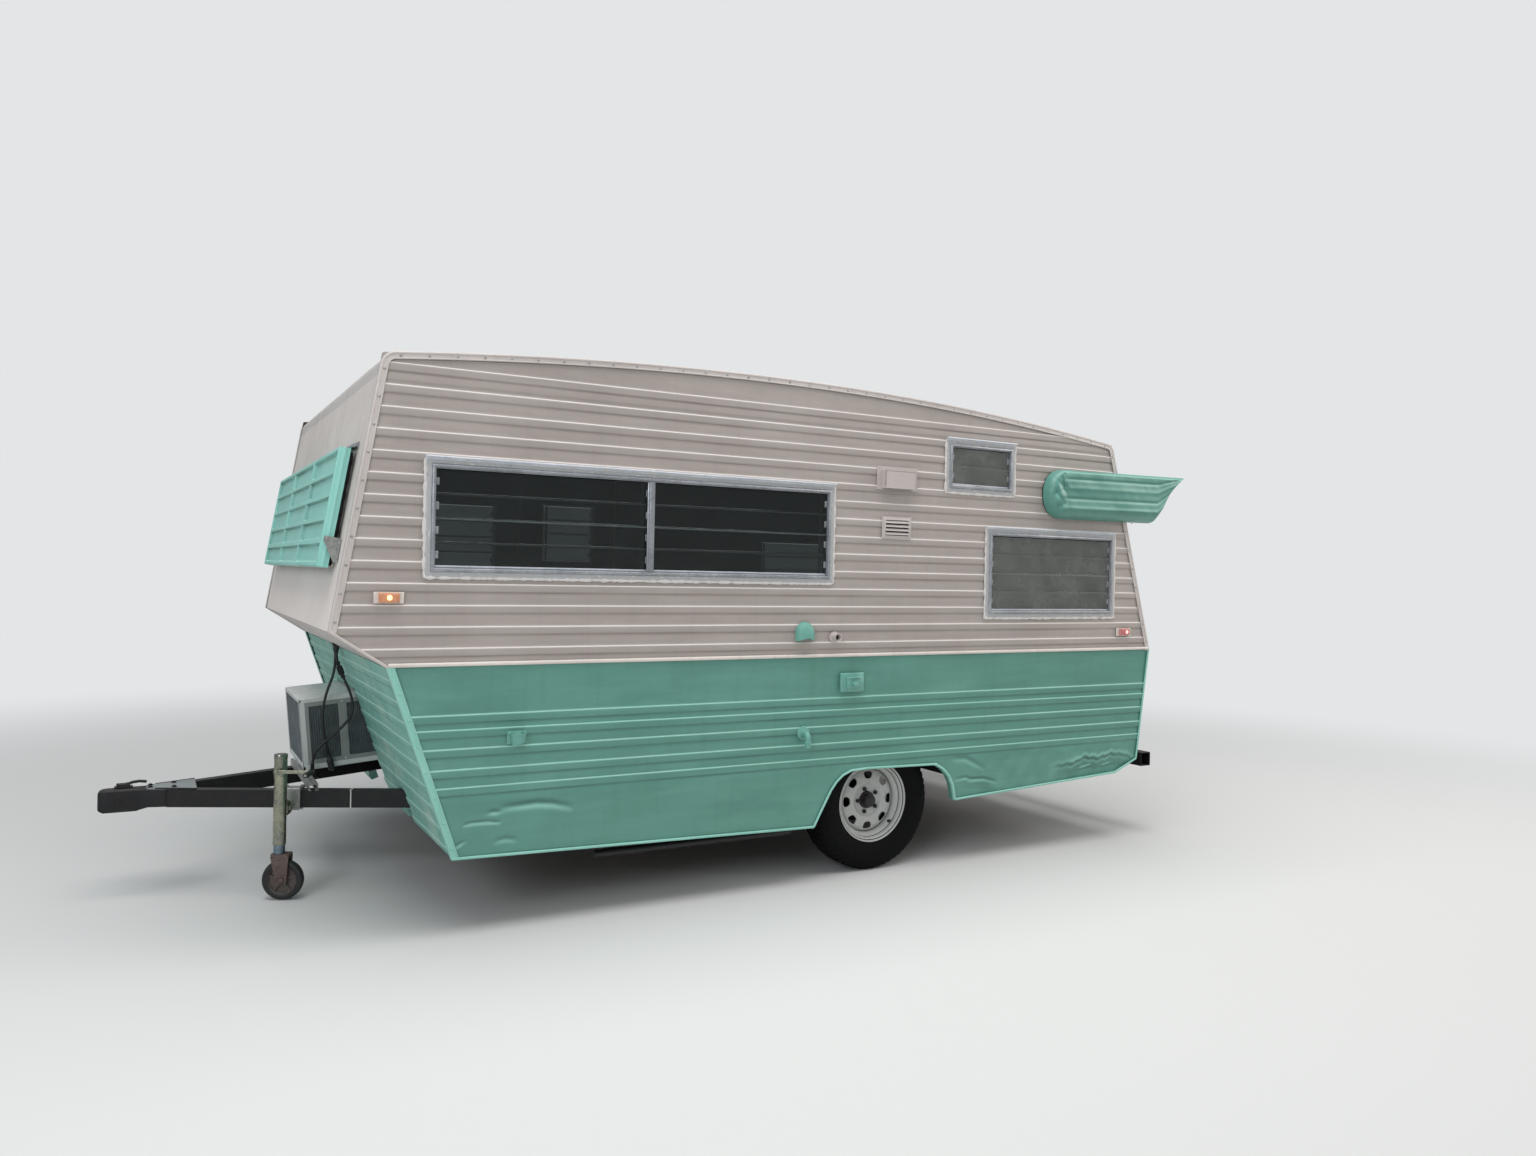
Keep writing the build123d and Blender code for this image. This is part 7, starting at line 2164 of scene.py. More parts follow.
shell = np.array([np.insert(channel(*(row[1:] / 1000)), 0, at(row[0] / 1000), axis=1) for row in COUPLER_MM])
rows, cols = shell.shape[:2]
near = np.arange(cols // 2 - 1)
rear_cap = np.stack([near, near + 1, cols - 2 - near, cols - 1 - near], axis=-1)
front_cap = rear_cap[:, ::-1] + (rows - 1) * cols
coupler_shell = outward((shell.reshape(-1, 3), [grid_faces(rows, cols, wrap_cols=True), rear_cap, front_cap]))
nose_plug = box(x_at(3.2335), x_at(3.2380), -0.0140, 0.0140, 0.366, 0.4285, 0.002)
rings = [turned([[0.0115, -0.001], [0.0125, 0.0016], [0.0170, 0.0018], [0.0185, -0.001]],
                (x_at(3.165), sign * 0.0338, 0.398), (0, sign, 0), 32) for sign in (1, -1)]
swages = [box(x_at(3.105), x_at(3.222), *span(sign, 0.0330, 0.0350), 0.3508, 0.3590, 0.0015)
          for sign in (1, -1)]
ball_clamp = turned([[0.012, 0.352], [0.026, 0.352], [0.0285, 0.362], [0.0285, 0.400], [0.020, 0.420],
                     [0, 0.426], [0, 0.416], [0.016, 0.410], [0.0235, 0.392], [0.0235, 0.366], [0.020, 0.358],
                     [0.012, 0.356]], (x_at(3.190), 0, 0), (0, 0, 1), 32)
as_piece("coupler_head", join(coupler_shell, nose_plug, *rings, *swages, ball_clamp), CHASSIS_BLACK,
         stands_for=["coupler"])
GUSSET_Z, GUSSET_S = RAIL_TOP + 0.0002, 2.960
gusset_outline = rounded_outline([(-0.090, -0.118), (0.100, -0.038), (0.100, 0.038), (-0.090, 0.118)], 0.006)
gusset = stacked(gusset_outline, [[1, GUSSET_Z], [1, GUSSET_Z + 0.0050], [0.99, GUSSET_Z + 0.0058]])
as_piece("gusset_plate", moved(gusset, [x_at(GUSSET_S), 0, 0]), PRIMER)

(lx0, _, lz0), (lx1, _, lz1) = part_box("coupler_latch")
lever_path = np.array([[lx1 - 0.012, 0, lz0 + 0.010], [lx1 - 0.055, 0, lz0 + 0.018],
                       [lx0 + 0.055, 0, lz1 - 0.009], [lx0 + 0.030, 0, lz1 - 0.0065],
                       [lx0 + 0.003, 0, lz1 - 0.010]])
lever = sweep(rounded_box(0.018, 0.011, 0.004, 3), lever_path)
cheeks = [box(lx1 - 0.060, lx1 - 0.008, *span(sign, 0.0105, 0.0155), lz0 + 0.004, lz0 + 0.0195, 0.002)
          for sign in (-1, 1)]
latch_parts = [box(lx1 - 0.070, lx1 - 0.0005, -0.0158, 0.0158, lz0, lz0 + 0.008, 0.002), *cheeks, lever,
               rod(0.0055, -0.0156, 0.0156, (lx1 - 0.020, 0, lz0 + 0.0125), (0, 1, 0), 18),
               rod(0.0035, -0.0156, 0.0156, (lx1 - 0.047, 0, lz0 + 0.0125), (0, 1, 0), 14)]
as_piece("latch_lever", join(*latch_parts), CHASSIS_BLACK, stands_for=["coupler_latch"],
         smooth=40)

TIE, TIE_OFF = 0.950, 0.0012
tie_loop = [[0, y_, z_] for y_, z_ in ((TIE_OFF, RAIL_TOP + TIE_OFF), (TIE_OFF, RAIL_LOW - TIE_OFF),
                                       (-RAIL_W - TIE_OFF, RAIL_LOW - TIE_OFF),
                                       (-RAIL_W - TIE_OFF, RAIL_TOP + TIE_OFF))]
tie = join(sweep(rounded_box(0.0014, 0.0046, 0.0004, 1), tie_loop, normal=(1, 0, 0), closed=True),
           box(-0.0040, 0.0040, -0.016, -0.006, RAIL_TOP + 0.0008, RAIL_TOP + 0.0062, 0.001),
           box(-0.002, 0.002, -0.008, 0.022, RAIL_TOP + 0.0040, RAIL_TOP + 0.0052, 0.0004))
TIE_WHITE = enamel("cable tie, pale nylon", "d0d2cc", "a9a79e", "8a877e", 0.45, 0.25, 0.2)
as_piece("cable_tie", placed(tie, rail_point(TIE, 0, 0), RAIL_DIR, RAIL_SIDE, (0, 0, 1)), TIE_WHITE)

# %% [markdown]
# The jack is drawn in its own axes, from its pivot: X forward along the tongue rail, Y out of its face, Z up.
# It is zinc-plated tube and plate. Its clamp, its tube, its leg, its fork and its wheel are separate pieces,
# because each moves with a different joint.

# %% The jack's own axes
JACK_OFF, JACK_S, PIVOT_Z = 0.112, 2.567, 0.383
JACK_TOP, JACK_FOOT, TUBE_R = 0.236, -0.150, 0.026
CRANK_Z, CRANK_ARM, CRANK_Y = JACK_TOP - 0.070, 0.142, 0.046
HUB_DOWN = 0.085 - PIVOT_Z
CROWN_TOP = HUB_DOWN + 0.085 + 0.026
pivot_along = (MEET_S - JACK_S + JACK_OFF * math.sin(RAIL_ANGLE)) / math.cos(RAIL_ANGLE)
PIVOT = rail_point(pivot_along, JACK_OFF, PIVOT_Z)


def at_jack(shape):
    return placed(shape, PIVOT, RAIL_DIR, RAIL_SIDE, (0, 0, 1))


# %% The clamp on the rail
rail_up, rail_down = RAIL_TOP - PIVOT_Z, RAIL_LOW - PIVOT_Z
CLAMP_HALF, CLAMP_Y, BOLT_Y = 0.046, -JACK_OFF, -JACK_OFF - 0.0575
clamp = [*[box(-CLAMP_HALF, CLAMP_HALF, CLAMP_Y - 0.066, CLAMP_Y + 0.008, low, low + 0.006, 0.0015)
           for low in (rail_up + 0.0003, rail_down - 0.0063)],
         box(-CLAMP_HALF, CLAMP_HALF, CLAMP_Y + 0.0003, CLAMP_Y + 0.0075, rail_down - 0.0095,
             rail_up + 0.0095, 0.002),
         *[box(*span(sign, CLAMP_HALF - 0.005, CLAMP_HALF), CLAMP_Y - 0.060, CLAMP_Y + 0.004, rail_up + 0.005,
               rail_up + 0.0145, 0.001) for sign in (-1, 1)],
         turned([[0, -0.105], [0.024, -0.105], [0.024, -0.047], [0.026, -0.045], [0.0370, -0.045],
                 [0.038, -0.044], [0.038, -0.039], [0.0370, -0.038], [0.010, -0.038], [0.010, -0.0305],
                 [0, -0.0305]], (0, 0, 0), (0, 1, 0), 48)]
for x_ in (-0.034, 0.034):
    clamp += [rod(0.0044, rail_down - 0.020, rail_up + 0.010, (x_, BOLT_Y, 0), count=14),
              hexagon_bolt((x_, BOLT_Y, rail_up + 0.0063), (0, 0, 1), 0.0085),
              hexagon_bolt((x_, BOLT_Y, rail_down - 0.0063), (0, 0, -1), 0.0085),
              hexagon_bolt((x_, CLAMP_Y + 0.0075, rail_up - 0.008), (0, 1, 0), 0.0078),
              hexagon_bolt((x_, CLAMP_Y + 0.0075, rail_down + 0.010), (0, 1, 0), 0.0078)]
stops = [rod(0.0042, -0.0385, -0.0372, (0.029 * math.cos(a_), 0, 0.029 * math.sin(a_)), (0, 1, 0), 12)
         for a_ in np.arange(4) * math.pi / 2 + 0.6]
as_piece("jack_clamp", at_jack(join(*clamp, *stops)), GALVANISED, stands_for=["jack_bracket"])

# %% The tube, its swivel plate and its crank
tube = turned([[0.0228, JACK_FOOT], [0.0256, JACK_FOOT], [0.0262, JACK_FOOT + 0.002],
               [0.0262, JACK_FOOT + 0.014], [TUBE_R, JACK_FOOT + 0.016], [TUBE_R, JACK_TOP - 0.020],
               [0.0272, JACK_TOP - 0.019], [0.0272, JACK_TOP - 0.004], [0.0256, JACK_TOP - 0.0012],
               [0.018, JACK_TOP - 0.0003], [0, JACK_TOP], [0, JACK_TOP - 0.010], [0.0228, JACK_TOP - 0.010]],
              (0, 0, 0), (0, 0, 1), 64)
disc = [[0.0102, -0.0375], [0.038, -0.0375], [0.038, -0.0315], [0.0102, -0.0315]]
swivel = [turned(disc, (0, 0, 0), (0, 1, 0), 48), box(-0.020, 0.020, -0.0318, -0.0235, -0.034, 0.034, 0.002),
          *[weld_bead((x_, -0.0242, 0.030), (x_, -0.0242, -0.030), 0.0026, seed)
            for x_, seed in ((-0.019, 31), (0.019, 32))]]
PIN_X = -0.031
pull_pin = [turned([[0, -0.0312], [0.0072, -0.0312], [0.0072, -0.016], [0.0058, -0.015], [0.0042, -0.0145],
                    [0.0042, 0.004], [0, 0.004]], (PIN_X, 0, 0), (0, 1, 0), 20),
            sweep(ring(0.0027, 10), [[PIN_X, 0.0045, -0.017], [PIN_X, 0.0062, -0.008], [PIN_X, 0.0062, 0.008],
                                     [PIN_X, 0.0045, 0.017]], normal=(1, 0, 0))]
boss = turned([[0, 0.022], [0.0135, 0.0235], [0.0135, 0.0300], [0.0125, 0.0312], [0, 0.0312]],
              (0, 0, CRANK_Z), (0, 1, 0), 32)
as_piece("jack_tube", at_jack(join(tube, *swivel, *pull_pin, boss)), ZINC, body="jack",
         stands_for=["jack_outer_tube"])
shaft = turned([[0, 0.0300], [0.0085, 0.0300], [0.0085, 0.0405], [0.0125, 0.0412], [0.0125, 0.0440],
                [0, 0.0440]], (0, 0, CRANK_Z), (0, 1, 0), 24)
arm_path = [[x_, CRANK_Y + out, CRANK_Z]
            for x_, out in ((0.009, 0), (-0.016, 0), (-0.055, 0.0005), (-0.110, 0.0005),
                            (-CRANK_ARM - 0.009, 0))]
arm = sweep(rounded_box(0.0155, 0.0062, 0.0022, 3), arm_path, normal=(0, 1, 0),
            size=[1.0, 1.03, 0.94, 0.94, 1.0])
end_nut = hexagon_bolt((0, CRANK_Y + 0.0031, CRANK_Z), (0, 1, 0), 0.0085, 0.0045)
stud = rod(0.0055, CRANK_Y, CRANK_Y + 0.080, (-CRANK_ARM, 0, CRANK_Z), (0, 1, 0), 16)
as_piece("jack_crank_arm", at_jack(join(shaft, arm, end_nut, stud)), ZINC, body="jack",
         stands_for=["jack_crank"])
grip_profile = [[0.0056, 0.004], [0.0105, 0.0045], [0.0118, 0.008]]
for ridge_at in np.arange(0.012, 0.066, 0.0075):
    grip_profile += [[0.0118, ridge_at], [0.0103, ridge_at + 0.0012], [0.0103, ridge_at + 0.0028],
                     [0.0118, ridge_at + 0.004]]
grip_profile += [[0.0118, 0.073], [0.0098, 0.0775], [0.0056, 0.0785]]
grip = turned(grip_profile, (-CRANK_ARM, CRANK_Y, CRANK_Z), (0, 1, 0), 28)
as_piece("crank_grip", at_jack(grip), RUBBER, body="jack", smooth=40)

# %% The fork and its wheel
FORK_IN, FORK_OUT, TRAIL, FORK_REAR, FORK_FRONT, FOOT_HALF = 0.023, 0.028, 0.018, -0.048, 0.028, 0.020
HUB_AT = (-TRAIL, 0, HUB_DOWN)
crown = rounded_outline([(FORK_REAR, -FORK_OUT), (FORK_FRONT, -FORK_OUT), (FORK_FRONT, FORK_OUT),
                         (FORK_REAR, FORK_OUT)], 0.009)
leg = rounded_outline([(-TRAIL - FOOT_HALF, HUB_DOWN - 0.018), (-TRAIL + FOOT_HALF, HUB_DOWN - 0.018),
                       (FORK_FRONT, CROWN_TOP - 0.007), (FORK_REAR, CROWN_TOP - 0.007)], 0.007)
fork_parts = [stacked(crown, [[1, CROWN_TOP - 0.008], [1, CROWN_TOP - 0.0012], [0.985, CROWN_TOP]])]
for sign in (1, -1):
    hub_end = (-TRAIL, sign * FORK_OUT, HUB_DOWN)
    edge = [[x_, sign * (FORK_IN + 0.002), CROWN_TOP - 0.0095]
            for x_ in (FORK_REAR + 0.002, FORK_FRONT - 0.002)]
    fork_parts += [cut_plate(leg, *span(sign, FORK_IN, FORK_OUT)),
                   hexagon_bolt(hub_end, (0, sign, 0), 0.0125, 0.0040),
                   rod(0.0150, 0, 0.0012, hub_end, (0, sign, 0), 24), sweep(ring(0.0042, 10), edge)]
collar = [[0.0085, CROWN_TOP - 0.0002], [0.019, CROWN_TOP - 0.0002], [0.0205, CROWN_TOP + 0.0002],
          [0.0085, CROWN_TOP + 0.0002]]
fork_parts += [rod(0.0078, -FORK_IN, FORK_IN, HUB_AT, (0, 1, 0), 20),
               turned(collar, (0, 0, 0), (0, 0, 1), 32)]
as_piece("jack_fork_plates", at_jack(join(*fork_parts)), RUST, body="jack_caster",
         stands_for=["jack_fork"])
tread_half = [[0.0605, 0.0165], [0.0640, 0.0185], [0.0740, 0.0190], [0.0795, 0.0175], [0.0830, 0.0130],
              [0.0846, 0.0075], [0.0838, 0.0068], [0.0838, 0.0055], [0.0849, 0.0048]]
small_tyre = turned([*([r_, -y_] for r_, y_ in tread_half), [0.0850, 0.0], *tread_half[::-1], [0.0590, 0.010],
                     [0.0590, -0.010]], HUB_AT, (0, 1, 0), 72)
hub_profile = [[0.0084, -0.019], [0.0150, -0.019], [0.0205, -0.0165], [0.0218, -0.0060], [0.0235, -0.0042],
               [0.0545, -0.0042], [0.0560, -0.0060], [0.0575, -0.0150], [0.0600, -0.0165]]
hub_profile += [[r_, -y_] for r_, y_ in hub_profile[::-1]]
rib = box(0.020, 0.057, -0.0035, 0.0035, -0.0125, 0.0125, 0.001)
ribs = [outward(placed(rib, HUB_AT, (math.cos(a_), 0, math.sin(a_)), (math.sin(a_), 0, -math.cos(a_)),
                       (0, 1, 0))) for a_ in 2 * math.pi * np.arange(5) / 5 + 0.3]
HUB_PLASTIC = enamel("moulded wheel centre, faded", "4d4541", "8a8178", "2e2926", 0.6, 0.5, 0.4, 0.002)
as_piece("jack_wheel_tyre", at_jack(small_tyre), RUBBER, body="jack_wheel",
         stands_for=["jack_wheel"])
as_piece("jack_wheel_centre", at_jack(join(turned(hub_profile, HUB_AT, (0, 1, 0), 48), *ribs)), HUB_PLASTIC,
         body="jack_wheel")

# %% [markdown]
# Two rubber-sheathed cords come out of one gland under the prow. The power lead hangs by its own weight
# with its plug on the end. The harness swings back past the cooling unit and down to a clip on the crossbar.
# Each is one NURBS curve whose control points are the route itself, because that bends as a cord bends.

# %% Routes
CORD_R = 0.006
lead_route = [(2306, 30, 1040), (2306, 30, 990), (2314, 52, 920), (2345, 68, 845), (2362, 70, 765),
              (2360, 62, 685), (2346, 55, 615), (2330, 50, 545)]
harness_route = [(2306, 54, 1040), (2306, 54, 985), (2280, 62, 915), (2250, 66, 850), (2232, 70, 790),
                 (2234, 76, 733), (2266, 80, 686), (2313, 80, 643), (2360, 74, 602), (2392, 66, 560),
                 (2400, 53, 516), (2400, 53, 471)]


def route_points(route):
    """Millimetres along, out and up become the frame's metres."""
    route = np.asarray(route, dtype=float) / 1000
    return np.column_stack([at(route[:, 0]), route[:, 1], route[:, 2]])


def cord(name, route, node):
    """A round cord on one smooth curve. Order 3 is set once the points are there, so that it holds."""
    line = bpy.data.curves.new(name, "CURVE")
    line.dimensions = "3D"
    spline = line.splines.new("NURBS")
    points = route_points(route)
    spline.points.add(len(points) - 1)
    for held, point in zip(spline.points, points):
        held.co = (*point.tolist(), 1.0)
    spline.order_u = 3
    spline.use_endpoint_u = True
    spline.resolution_u = 12
    made = bpy.data.objects.new(name, line)
    bpy.context.scene.collection.objects.link(made)
    bare = bpy.data.meshes.new_from_object(made)
    centre_line = np.array([v.co[:] for v in bare.vertices])
    line.bevel_depth = CORD_R
    line.bevel_resolution = 5
    line.materials.append(RUBBER)
    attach(made, "trailer")
    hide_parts(node)
    return made, centre_line, points


lead, lead_line, lead_points = cord("power_lead_cord", lead_route, "power_lead")
harness, harness_line, harness_points = cord("harness_cord", harness_route, "harness")


def length_of(line):
    return float(np.linalg.norm(np.diff(line, axis=0), axis=1).sum())


print("lead", round(length_of(lead_line), 3), "m, harness", round(length_of(harness_line), 3), "m")

# %% Gland, sleeves, plug and clip
relief_profile = [[0.0061, 0], [0.0125, 0], [0.0125, 0.005], [0.0112, 0.006], [0.0112, 0.009],
                  [0.0104, 0.010], [0.0104, 0.013], [0.0097, 0.014], [0.0097, 0.017], [0.0090, 0.018],
                  [0.0090, 0.021], [0.0082, 0.022], [0.0082, 0.025], [0.0074, 0.026], [0.0070, 0.032],
                  [0.0061, 0.033]]
gland_x = lead_points[0][0]
gland = [box(gland_x - 0.015, gland_x + 0.015, 0.018, 0.066, 1.046, 1.098, 0.003)]
for start in (lead_points[0], harness_points[0]):
    gland += [rod(0.0118, -0.010, 0.001, start, (0, 0, -1), 6), turned(relief_profile, start, (0, 0, -1), 28)]


def sleeve(line, first, last, radius, swell=0.0):
    """A tube round the cord between two shares of its length, with drawn-in ends."""
    lengths = lengths_along(line)
    path = on_line(np.linspace(first, last, 12) * lengths[-1], lengths, line)
    grow = 1 + swell * np.sin(np.linspace(0, 1, 12) * np.pi)
    grow[[0, -1]] *= 0.86
    return sweep(ring(radius, 18), path, normal=(0.2, 1, 0.1), size=grow)


fittings_on_lead = sleeve(lead_line, 0.955, 1.0, 0.0078)
joint_boxes = join(sleeve(harness_line, 0.13, 0.20, 0.0125, 0.12), sleeve(harness_line, 0.205, 0.225, 0.0095),
                   sleeve(harness_line, 0.10, 0.125, 0.0095), sleeve(harness_line, 0.945, 0.985, 0.0085))
plug_dir = unit(lead_points[-1] - lead_points[-2])
plug_profile = [[0, 0], [0.0085, 0], [0.0092, 0.003], [0.0080, 0.005], [0.0095, 0.008], [0.0082, 0.010],
                [0.0100, 0.013], [0.0086, 0.015], [0.0108, 0.019], [0.0140, 0.026], [0.0149, 0.032],
                [0.0149, 0.044], [0.0138, 0.046], [0.0138, 0.050], [0.0149, 0.052], [0.0149, 0.068],
                [0.0142, 0.071], [0, 0.071]]
plug_body = turned(plug_profile, lead_points[-1], plug_dir, 36)
plug_side = unit(np.cross(plug_dir, (0, 1, 0)))
plug_up = np.cross(plug_dir, plug_side)
pins = []
for a_ in (0.5, 2.1, 4.2):
    spot = lead_points[-1] + plug_dir * 0.070 + 0.0068 * (math.cos(a_) * plug_side + math.sin(a_) * plug_up)
    pins.append(placed(box(-0.0028, 0.0028, -0.0008, 0.0008, 0, 0.0065, 0.0004), spot, plug_side, plug_up,
                       plug_dir))
gland_piece = as_piece("cord_gland", join(*gland), RUBBER)
plug = as_piece("plug_body", plug_body, RUBBER, stands_for=["lead_plug"])
plug_pins = as_piece("plug_pins", join(*pins), ALUMINIUM)
lead_sleeve = as_piece("lead_sleeve", fittings_on_lead, GASKET, smooth=50)
harness_joints = as_piece("harness_joints", joint_boxes, GASKET, smooth=50)
clip_x, clip_top = x_at(2.388), 0.4465
clip_ring = [[0.0062, -0.0245], [0.0110, -0.0245], [0.0118, -0.0225], [0.0118, -0.0020], [0.0105, 0],
             [0.0062, 0]]
clip_parts = [box(clip_x - 0.012, clip_x + 0.020, 0.038, 0.068, RAIL_TOP + 0.0004, clip_top, 0.002),
              turned(clip_ring, harness_points[-1], (0, 0, 1), 28),
              hexagon_bolt((clip_x - 0.003, 0.044, clip_top), (0, 0, 1), 0.0045, 0.003)]
as_piece("harness_clip", join(*clip_parts), RUBBER, stands_for=["cord_fittings"])

# %% [markdown]
# The roof vent is a square frame with a hinged plastic lid. The lid is drawn as rings of one rounded square,
# each a little smaller and higher than the last, which gives a shallow dome over an upright rim.

# %% Roof vent
VENT_S, VENT_HALF, LID_HALF = 0.560, 0.180, 0.192
ROOF_Z, HINGE_S, HINGE_Z, LID_Z = 2.299, 0.751, 2.342, 2.350
vent_x, hinge_x = x_at(VENT_S), x_at(HINGE_S)
# Each level is how far past the half width and how high: the lid over its seat, the frame and the flange
LID_LEVELS = [[-0.0035, 0.0035], [-0.0010, 0], [0, 0.0012], [0, 0.0095], [-0.0030, 0.0125], [-0.016, 0.0140],
              [-0.020, 0.0175], [-0.040, 0.0208], [-0.075, 0.0236], [-0.12, 0.0252], [-0.172, 0.0259]]
FRAME_LEVELS = [[-0.012, 2.275], [-0.0035, 2.275], [0, 2.279], [0, 2.3375], [0.003, 2.3385], [0.003, 2.3445],
                [-0.010, 2.3445], [-0.012, 2.3430]]
FLANGE_LEVELS = [[-0.002, 0], [0.032, 0], [0.033, 0.0015], [-0.002, 0.0025]]


def hinge_bit(side, near, far_, radius):
    return rod(radius, *span(side, near, far_), (hinge_x, 0, HINGE_Z), (0, 1, 0), 20)


def hollow_square(corner, steps, levels):
    """A square ring: rounded squares in a row, of which the last is joined to the first."""
    square = rounded_box(2, 2, corner, steps)
    points = stacked(square, levels)[0]
    return outward((points, [grid_faces(len(levels), len(square), wrap_rows=True, wrap_cols=True)]))


lid_parts = [stacked(rounded_box(2, 2, 0.15, 6), np.add(LID_LEVELS, [LID_HALF, LID_Z]))]
vent_parts = [hollow_square(0.06, 3, np.add(FRAME_LEVELS, [VENT_HALF, 0])),
              hollow_square(0.12, 4, np.add(FLANGE_LEVELS, [VENT_HALF, ROOF_Z]))]
lid_parts, vent_parts = [[moved(shape, [vent_x, 0, 0]) for shape in parts]
                         for parts in (lid_parts, vent_parts)]
screw_line = VENT_HALF + 0.018
for a_ in np.linspace(-0.165, 0.165, 6):
    for side in (1, -1):
        vent_parts += [dome((vent_x + a_, side * screw_line, ROOF_Z + 0.002), (0, 0, 1)),
                       dome((vent_x + side * screw_line, a_, ROOF_Z + 0.002), (0, 0, 1))]
for side in (1, -1):
    vent_parts += [hinge_bit(side, 0.060, 0.080, 0.007), hinge_bit(side, 0.079, 0.110, 0.004),
                   box(vent_x + VENT_HALF - 0.002, hinge_x, *span(side, 0.0605, 0.0795), HINGE_Z - 0.007,
                       HINGE_Z - 0.001, 0.001)]
    lid_parts += [hinge_bit(side, 0.0825, 0.1075, 0.007),
                  box(hinge_x - 0.0065, hinge_x + 0.0065, *span(side, 0.083, 0.107), HINGE_Z + 0.001,
                      LID_Z + 0.003, 0.001)]
as_piece("vent_frame", join(*vent_parts), ALUMINIUM, stands_for=["roof_vent"])
as_piece("domed_lid", join(*lid_parts), VENT_PLASTIC, body="roof_vent_lid",
         stands_for=["roof_vent_lid"], smooth=40)

# %% [markdown]
# The rear lamps are round: a black rubber base, a ringed red lens and two screws. The number plate is a
# blank pressed plate on a black carrier, with a small lamp above it. All lie on the sloping lower panel.

# %% Rear lamps and plate
TAIL_Z, TAIL_Y, TAIL_R = 0.820, 0.880, 0.055
rear_run, rear_drop = REAR_FOOT[0] - BELT_REAR[0], BELT_REAR[1] - REAR_FOOT[1]
tail_s = BELT_REAR[0] + rear_run * (BELT_REAR[1] - TAIL_Z) / rear_drop
rear_out = unit(np.array([-rear_drop, 0, -rear_run]))
rear_up = unit(np.array([-rear_run, 0, rear_drop]))


def on_rear(shape, y_):
    """Carries a flat drawing to the rear lower panel: X across, Y up the slope, Z out of it."""
    origin = np.array([x_at(tail_s), y_, TAIL_Z]) + rear_out * 0.0004
    return outward(placed(shape, origin, (0, -1, 0), rear_up, rear_out))


lens_profile = [[0, 0.006], [0.0485, 0.006], [0.0485, 0.020], [0.0470, 0.0235]]
for r_ in np.arange(0.043, 0.004, -0.004):
    lens_profile += [[r_ + 0.0012, 0.0315 - 3.4 * r_ ** 2], [r_ - 0.0006, 0.0300 - 3.4 * r_ ** 2]]
lens_profile += [[0.0015, 0.0315], [0, 0.0315]]
base_profile = [[0, 0], [TAIL_R, 0], [TAIL_R, 0.006], [0.0535, 0.009], [0.0515, 0.0125], [0.0488, 0.0130],
                [0.0488, 0.007], [0, 0.007]]
lamp_bases = [on_rear(turned(base_profile, (0, 0, 0), (0, 0, 1), 48), side * TAIL_Y) for side in (1, -1)]
lamp_lenses = [on_rear(turned(lens_profile, (0, 0, 0), (0, 0, 1), 48), side * TAIL_Y) for side in (1, -1)]
lamp_screws = [on_rear(dome((x_, 0, 0.0225), (0, 0, 1), 0.0035, 0.0012), side * TAIL_Y)
               for side in (1, -1) for x_ in (-0.040, 0.040)]
as_piece("tail_lamp_bases", join(*lamp_bases, *lamp_screws), RUBBER)
as_piece("tail_lamp_lenses", join(*lamp_lenses), RED, stands_for=["tail_lamps"])
PLATE_W, PLATE_H = 0.305, 0.152
carrier = stacked(rounded_box(PLATE_W, PLATE_H, 0.010, 4), [[1, 0], [1, 0.0045], [0.985, 0.0062]])
lamp_hood = box(-0.030, 0.030, PLATE_H / 2 - 0.012, PLATE_H / 2 + 0.012, 0.004, 0.0115, 0.002)
plate = stacked(rounded_box(PLATE_W - 0.010, PLATE_H - 0.010, 0.008, 4),
                [[1, 0.0058], [1, 0.0082], [0.985, 0.0090], [0.965, 0.0090], [0.955, 0.0078], [0.02, 0.0078]])
plate_screws = domes(0.0076, (-0.110, 0.110), (-0.050, 0.050), 0.005, 0.0022, 10)
as_piece("plate_carrier", on_rear(join(carrier, lamp_hood, *plate_screws), 0.0), RUBBER)
as_piece("blank_plate", on_rear(plate, 0.0), PLATE_WHITE, stands_for=["number_plate"])

# %% [markdown]
# The construction nodes that keep their own shape still need a finish. Each gets the one that its metal,
# rubber or plastic has on the real trailer.

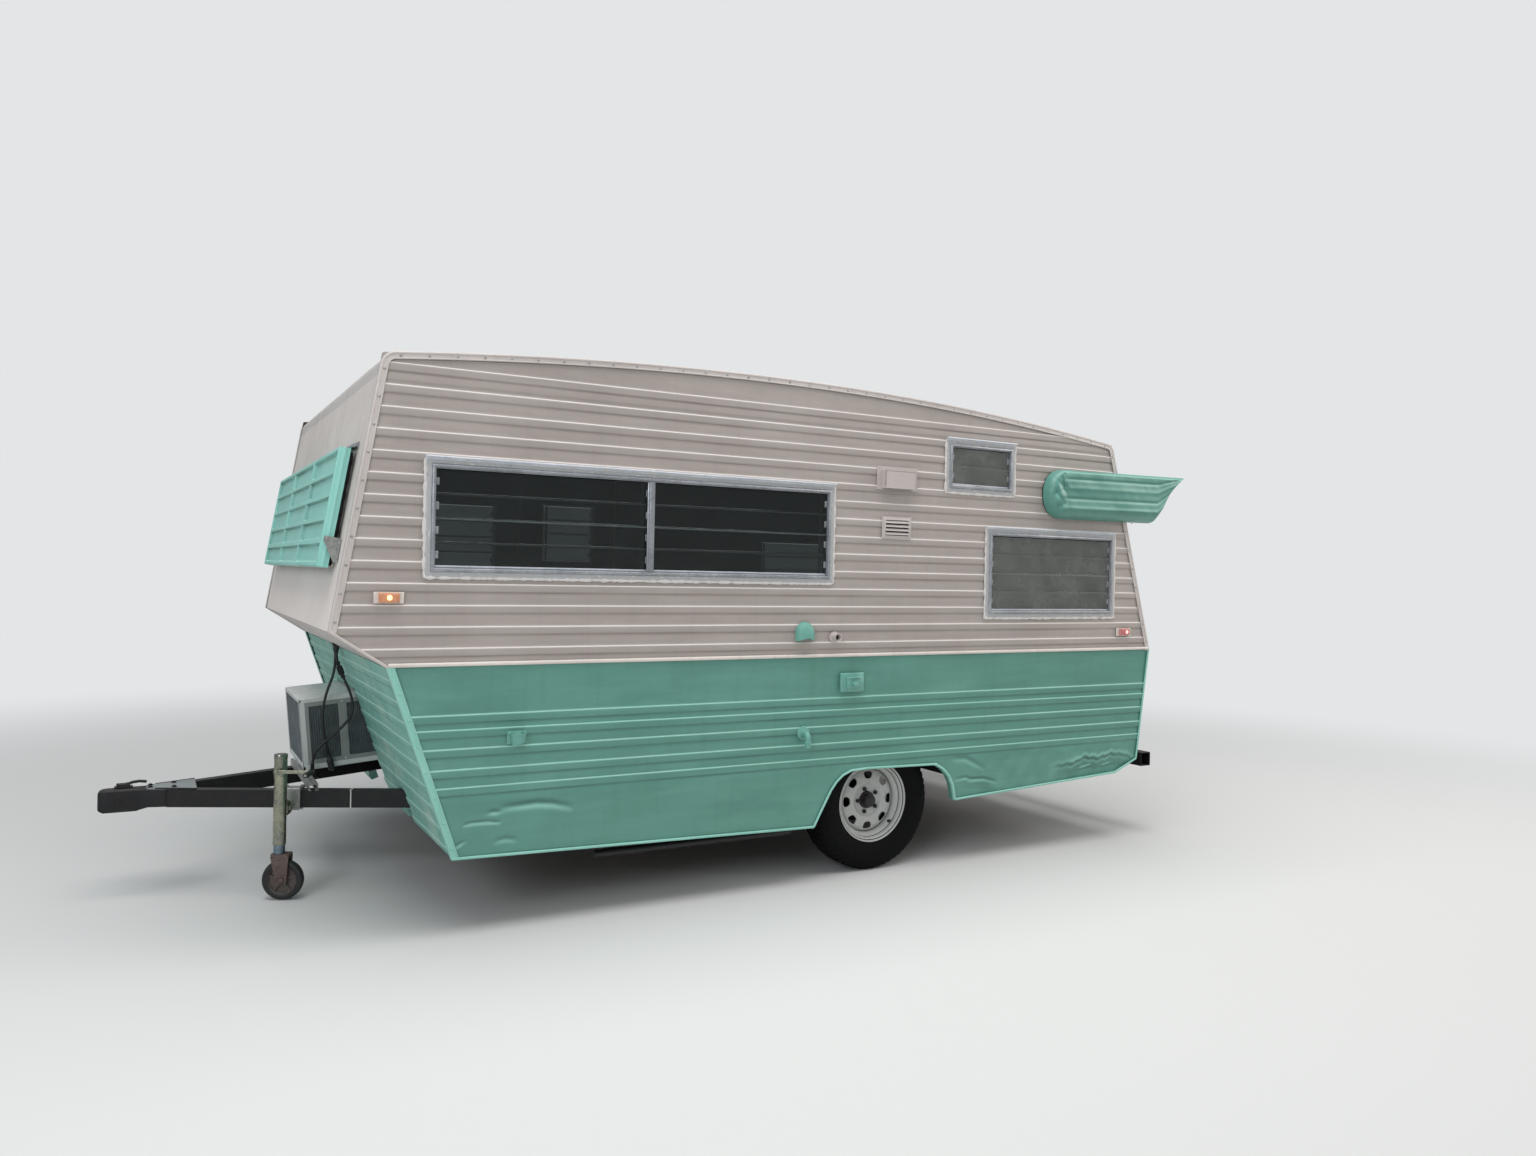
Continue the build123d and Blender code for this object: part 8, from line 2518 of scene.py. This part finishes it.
# %% Finishes on the construction's own pieces
finishes = {
    "roof_panel": ROOF_PAINT, "front_upper_panel": ROOF_PAINT, "soffit_panel": TRIM_BEIGE,
    "rear_upper_panel": BEIGE, "rear_lower_panel": GREEN, "front_lower_panel": CHALKY_GREEN, "floor": PLY,
    "wheel_wells": SHADE_LINING, "edge_mouldings": BEIGE, "skirt_mouldings": GREEN, "belt_trim": BEIGE,
    "window_frames": ALUMINIUM, "door_window_frame": ALUMINIUM, "window_panes": GLASS, "door_panes": GLASS,
    "door": BEIGE, "door_handle": ALUMINIUM, "hinge_leaves": ALUMINIUM, "stone_guard": BRIGHT_GREEN,
    "wings": BRIGHT_GREEN, "roof_vent": ALUMINIUM, "roof_vent_lid": VENT_PLASTIC, "side_lamps_amber": AMBER,
    "side_lamps_red": RED, "tail_lamps": RED, "number_plate": PLATE_WHITE, "vents_left": BEIGE,
    "fittings_left": GREEN, "chassis_rails": CHASSIS_BLACK, "tongue_rails": CHASSIS_BLACK,
    "chassis_members": CHASSIS_BLACK, "rear_bumper": CHASSIS_BLACK, "waste_pipe": RUBBER,
    "coupler": CHASSIS_BLACK, "coupler_latch": CHASSIS_BLACK, "crossbar": GALVANISED,
    "cooler_case": COOLER_GREY, "cooler_grille": FINS, "axle": CHASSIS_BLACK, "leaf_springs": RUST,
    "tyre_left": TYRE, "tyre_right": TYRE, "rim_left": WHEEL_WHITE, "rim_right": WHEEL_WHITE,
    "hub_left": CHASSIS_BLACK, "hub_right": CHASSIS_BLACK, "jack_bracket": ZINC, "jack_outer_tube": ZINC,
    "jack_inner_tube": BLUE_STEEL, "jack_crank": ZINC, "jack_fork": RUST, "jack_wheel": RUBBER,
    "power_lead": RUBBER, "harness": RUBBER, "lead_plug": RUBBER, "cord_fittings": RUBBER,
}
for node, finish in finishes.items():
    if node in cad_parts:
        dress(node, finish)
left_plain = sorted(set(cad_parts) - set(finishes) - {"side_upper_left", "side_upper_right",
                                                           "side_lower_left", "side_lower_right"})
print("nodes without a finish here:", left_plain)
